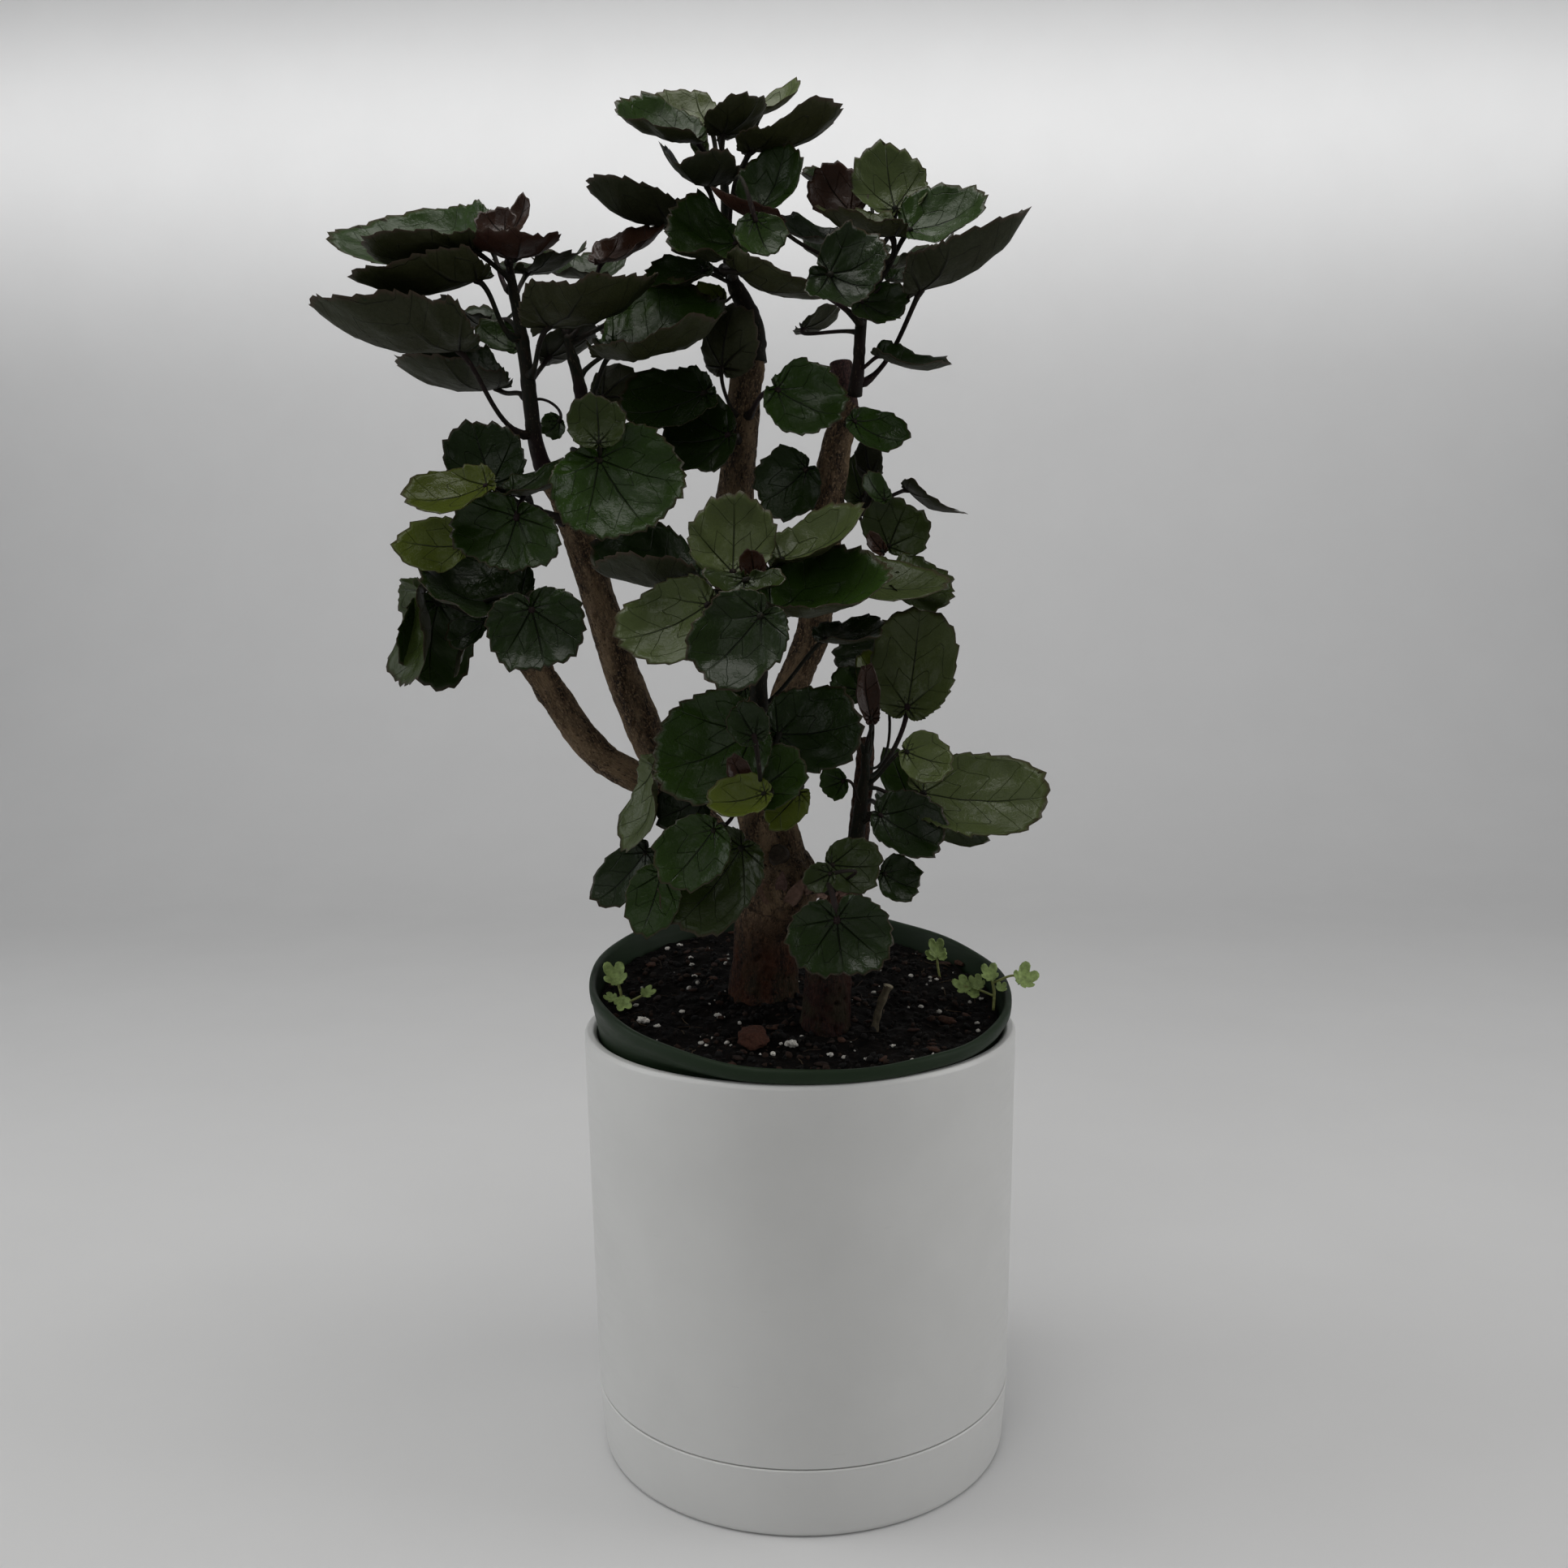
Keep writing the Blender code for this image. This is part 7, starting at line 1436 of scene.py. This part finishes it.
heap = Heap()
foot = on_soil(1077, 1270, -0.6)
points = [foot, foot + Vector((0.8, 1.0, 4.0)), foot + Vector((2.0, 1.6, 8.5)), foot + Vector((3.8, 2.1, 13.4)), foot + Vector((5.6, 2.4, 17.4))]
points = [Vector(p) for p in smooth_path([tuple(p) for p in points], 4)]
radii = [1.5 + 0.2 * math.sin(k * 1.3) for k in range(len(points) - 1)] + [2.0]
verts, faces, bx, by, bz = fine_tube(points, radii, 20, lambda k, a: 1.0 + 0.10 * math.sin(4 * a + 0.3 * k), round_end=False)
heap.add(verts, faces, 0, (0.10, 0.085, 0.055), (0.1, 0.08, 0.05), bx=bx, by=by, bz=bz)
pebble(heap, points[-1], 1.9, rnd, (0.34, 0.31, 0.22), BALL2, (1, 1, 0.35), 0.15, Matrix.Rotation(0.3, 3, "Y"))
heap.make("seen_twig_stub", (HUSK,), ("twig_stub",), "twig_stub")


def seedling(name, foot, twigs, leaflets):
    heap = Heap()
    for points, radius in twigs:
        line = [Vector(p) for p in smooth_path([tuple(foot + Vector(q)) for q in points], 4)]
        verts, faces, bx, by, bz = fine_tube(line, [radius * 0.8] * len(line), 10)
        heap.add(verts, faces, 0, (0.30, 0.34, 0.12), (0.3, 0.34, 0.12), bx=bx, by=by, bz=bz)
    first = len(heap.faces)
    for n, (centre, tilt, size) in enumerate(leaflets):
        normal = Vector(tilt).normalized()
        along = Vector(centre).normalized() + Vector((0, 0, 0.3))
        along = (along - normal * along.dot(normal)).normalized()
        across = normal.cross(along)
        base = foot + Vector(centre) - along * size * 0.8
        fine_blade(heap, (base, along, across, normal, size * 1.8, size * 1.75, 0.25, 0.1), "s", 900 + n, coarse=True, thin=0.3)
    heap.slots = [0 if i < first else 1 + s for i, s in enumerate(heap.slots)]
    heap.make("seen_" + name, (SEEDLING_STALK, SEEDLING_LEAF, SEEDLING_LEAF), (name,), "seedling")


SEEDLING_STALK = toned_material("seedling_stalk", 0.5, 600.0, 0.3, 0.0003)
SEEDLING_LEAF = toned_material("seedling_leaf", 0.55, 420.0, 0.35, 0.0003)
seedling("seedling_left", on_soil(768, 1243, 0.4), [
    ([(0, 0, 0), (-1.0, 1.0, 6.0), (-2.4, 1.6, 11.0)], 0.7),
    ([(-0.2, 0.1, 1.0), (5.0, 2.0, 3.2), (9.0, 2.6, 5.0)], 0.6),
    ([(0.0, 0.0, 1.4), (0.6, -4.0, 2.0), (0.8, -6.0, 2.6)], 0.6),
], [((-3.0, 1.0, 13.6), (0.1, -0.85, 0.5), 5.0), ((9.6, 2.2, 5.8), (0, -0.7, 0.7), 2.9), ((0.8, -6.6, 3.2), (0, -0.6, 0.8), 3.6), ((-4.8, -1.4, 4.6), (0.2, -0.6, 0.8), 2.6)])
seedling("seedling_back", on_soil(1158, 1206, 0.4), [([(0, 0, 0), (-0.8, 0.5, 5.0), (-1.2, 0.6, 9.0)], 0.6)],
         [((-1.4, 0.2, 13.0), (0.2, -0.98, 0.1), 4.2), ((-3.6, 0.1, 9.8), (0.1, -0.8, 0.6), 2.7), ((1.0, 0.2, 9.4), (-0.1, -0.8, 0.6), 2.3)])
seedling("seedling_right", on_soil(1224, 1246, 0.4), [
    ([(0, 0, 0), (0.4, 1.0, 7.0), (-0.6, 2.0, 13.0)], 0.8),
    ([(-0.2, 1.6, 10.6), (6.0, -1.0, 14.0), (9.5, -3.0, 14.6)], 0.6),
    ([(0.2, 0.8, 5.6), (-6.0, 2.0, 8.0), (-11.0, 3.0, 9.0)], 0.6),
], [((12.4, -3.8, 14.6), (0.1, -0.8, 0.6), 5.2), ((-1.4, 1.8, 15.0), (0, -0.8, 0.6), 3.9), ((-12.0, 3.0, 10.0), (0, -0.85, 0.5), 3.9),
    ((-6.5, 1.6, 11.2), (0, -0.9, 0.4), 3.3), ((-8.0, 1.2, 6.8), (0.1, -0.7, 0.7), 2.6), ((3.0, 0.0, 9.6), (0.1, -0.7, 0.7), 2.5)])

# ---------------------------------------------------------------- stage, light, camera
floor_mesh = bpy.data.meshes.new("floor")
sweep = [(-9.0, 0.0), (1.1, 0.0)] + [(1.1 + 0.7 * math.sin(a), 0.7 - 0.7 * math.cos(a)) for a in [math.pi / 2 * k / 12 for k in range(1, 13)]] + [(1.8, 4.0)]
floor_verts, floor_faces = [], []
for x in (-9.0, 9.0):
    floor_verts += [(x, y, z) for y, z in sweep]
n = len(sweep)
for k in range(n - 1):
    floor_faces.append((k, n + k, n + k + 1, k + 1))
floor_mesh.from_pydata(floor_verts, [], floor_faces)
floor_mesh.shade_smooth()
floor = bpy.data.objects.new("floor", floor_mesh)
bpy.context.scene.collection.objects.link(floor)
mat, tree, shader = new_material("studio_floor")
colour = mix(tree, noise_of(tree, 9.0, 3.0), (0.67, 0.67, 0.67), (0.71, 0.71, 0.71))
tree.links.new(colour, shader.inputs["Base Color"])
shader.inputs["Roughness"].default_value = 0.7
floor_mesh.materials.append(mat)

world = bpy.data.worlds.new("studio")
bpy.context.scene.world = world
world.use_nodes = True
world.node_tree.nodes["Background"].inputs[0].default_value = (0.97, 0.98, 1.0, 1.0)
world.node_tree.nodes["Background"].inputs[1].default_value = 0.16


def area(name, place, aim, size, power, colour=(1, 1, 1)):
    data = bpy.data.lights.new(name, "AREA")
    data.shape = "RECTANGLE"
    data.size, data.size_y = size
    data.energy = power
    data.color = colour
    lamp = bpy.data.objects.new(name, data)
    bpy.context.scene.collection.objects.link(lamp)
    lamp.location = place
    lamp.rotation_euler = (Vector(aim) - Vector(place)).to_track_quat("-Z", "Y").to_euler()
    return lamp


area("overhead", (-0.15, -0.14, 1.42), (0.0, 0.0, 0.3), (0.9, 0.75), 7.9, (1.0, 0.985, 0.96))
area("left_side", (-1.6, -0.05, 0.8), (0.0, 0.0, 0.2), (0.9, 1.3), 6.8, (0.97, 0.99, 1.0))
area("right_side", (1.6, -0.1, 0.8), (0.0, 0.0, 0.2), (0.9, 1.3), 7.6)
area("front_fill", (-0.5, -1.6, 1.2), (0.0, 0.0, 0.25), (1.2, 1.0), 3.3)
area("backdrop_wash", (0.0, 1.50, 1.12), (0.0, 1.8, 0.98), (3.6, 0.2), 5.5)

camera_data = bpy.data.cameras.new("camera")
camera_data.sensor_width = 36.0
camera_data.lens = 36.0 * SHEET / 1932.0
camera_data.clip_start = 0.02
camera = bpy.data.objects.new("camera", camera_data)
bpy.context.scene.collection.objects.link(camera)
camera.matrix_world = Matrix((
    (RIGHT.x, UP.x, -AHEAD.x, EYE.x * MM),
    (RIGHT.y, UP.y, -AHEAD.y, EYE.y * MM),
    (RIGHT.z, UP.z, -AHEAD.z, EYE.z * MM),
    (0, 0, 0, 1),
))
bpy.context.scene.camera = camera
bpy.context.scene.view_settings.view_transform = "Standard"
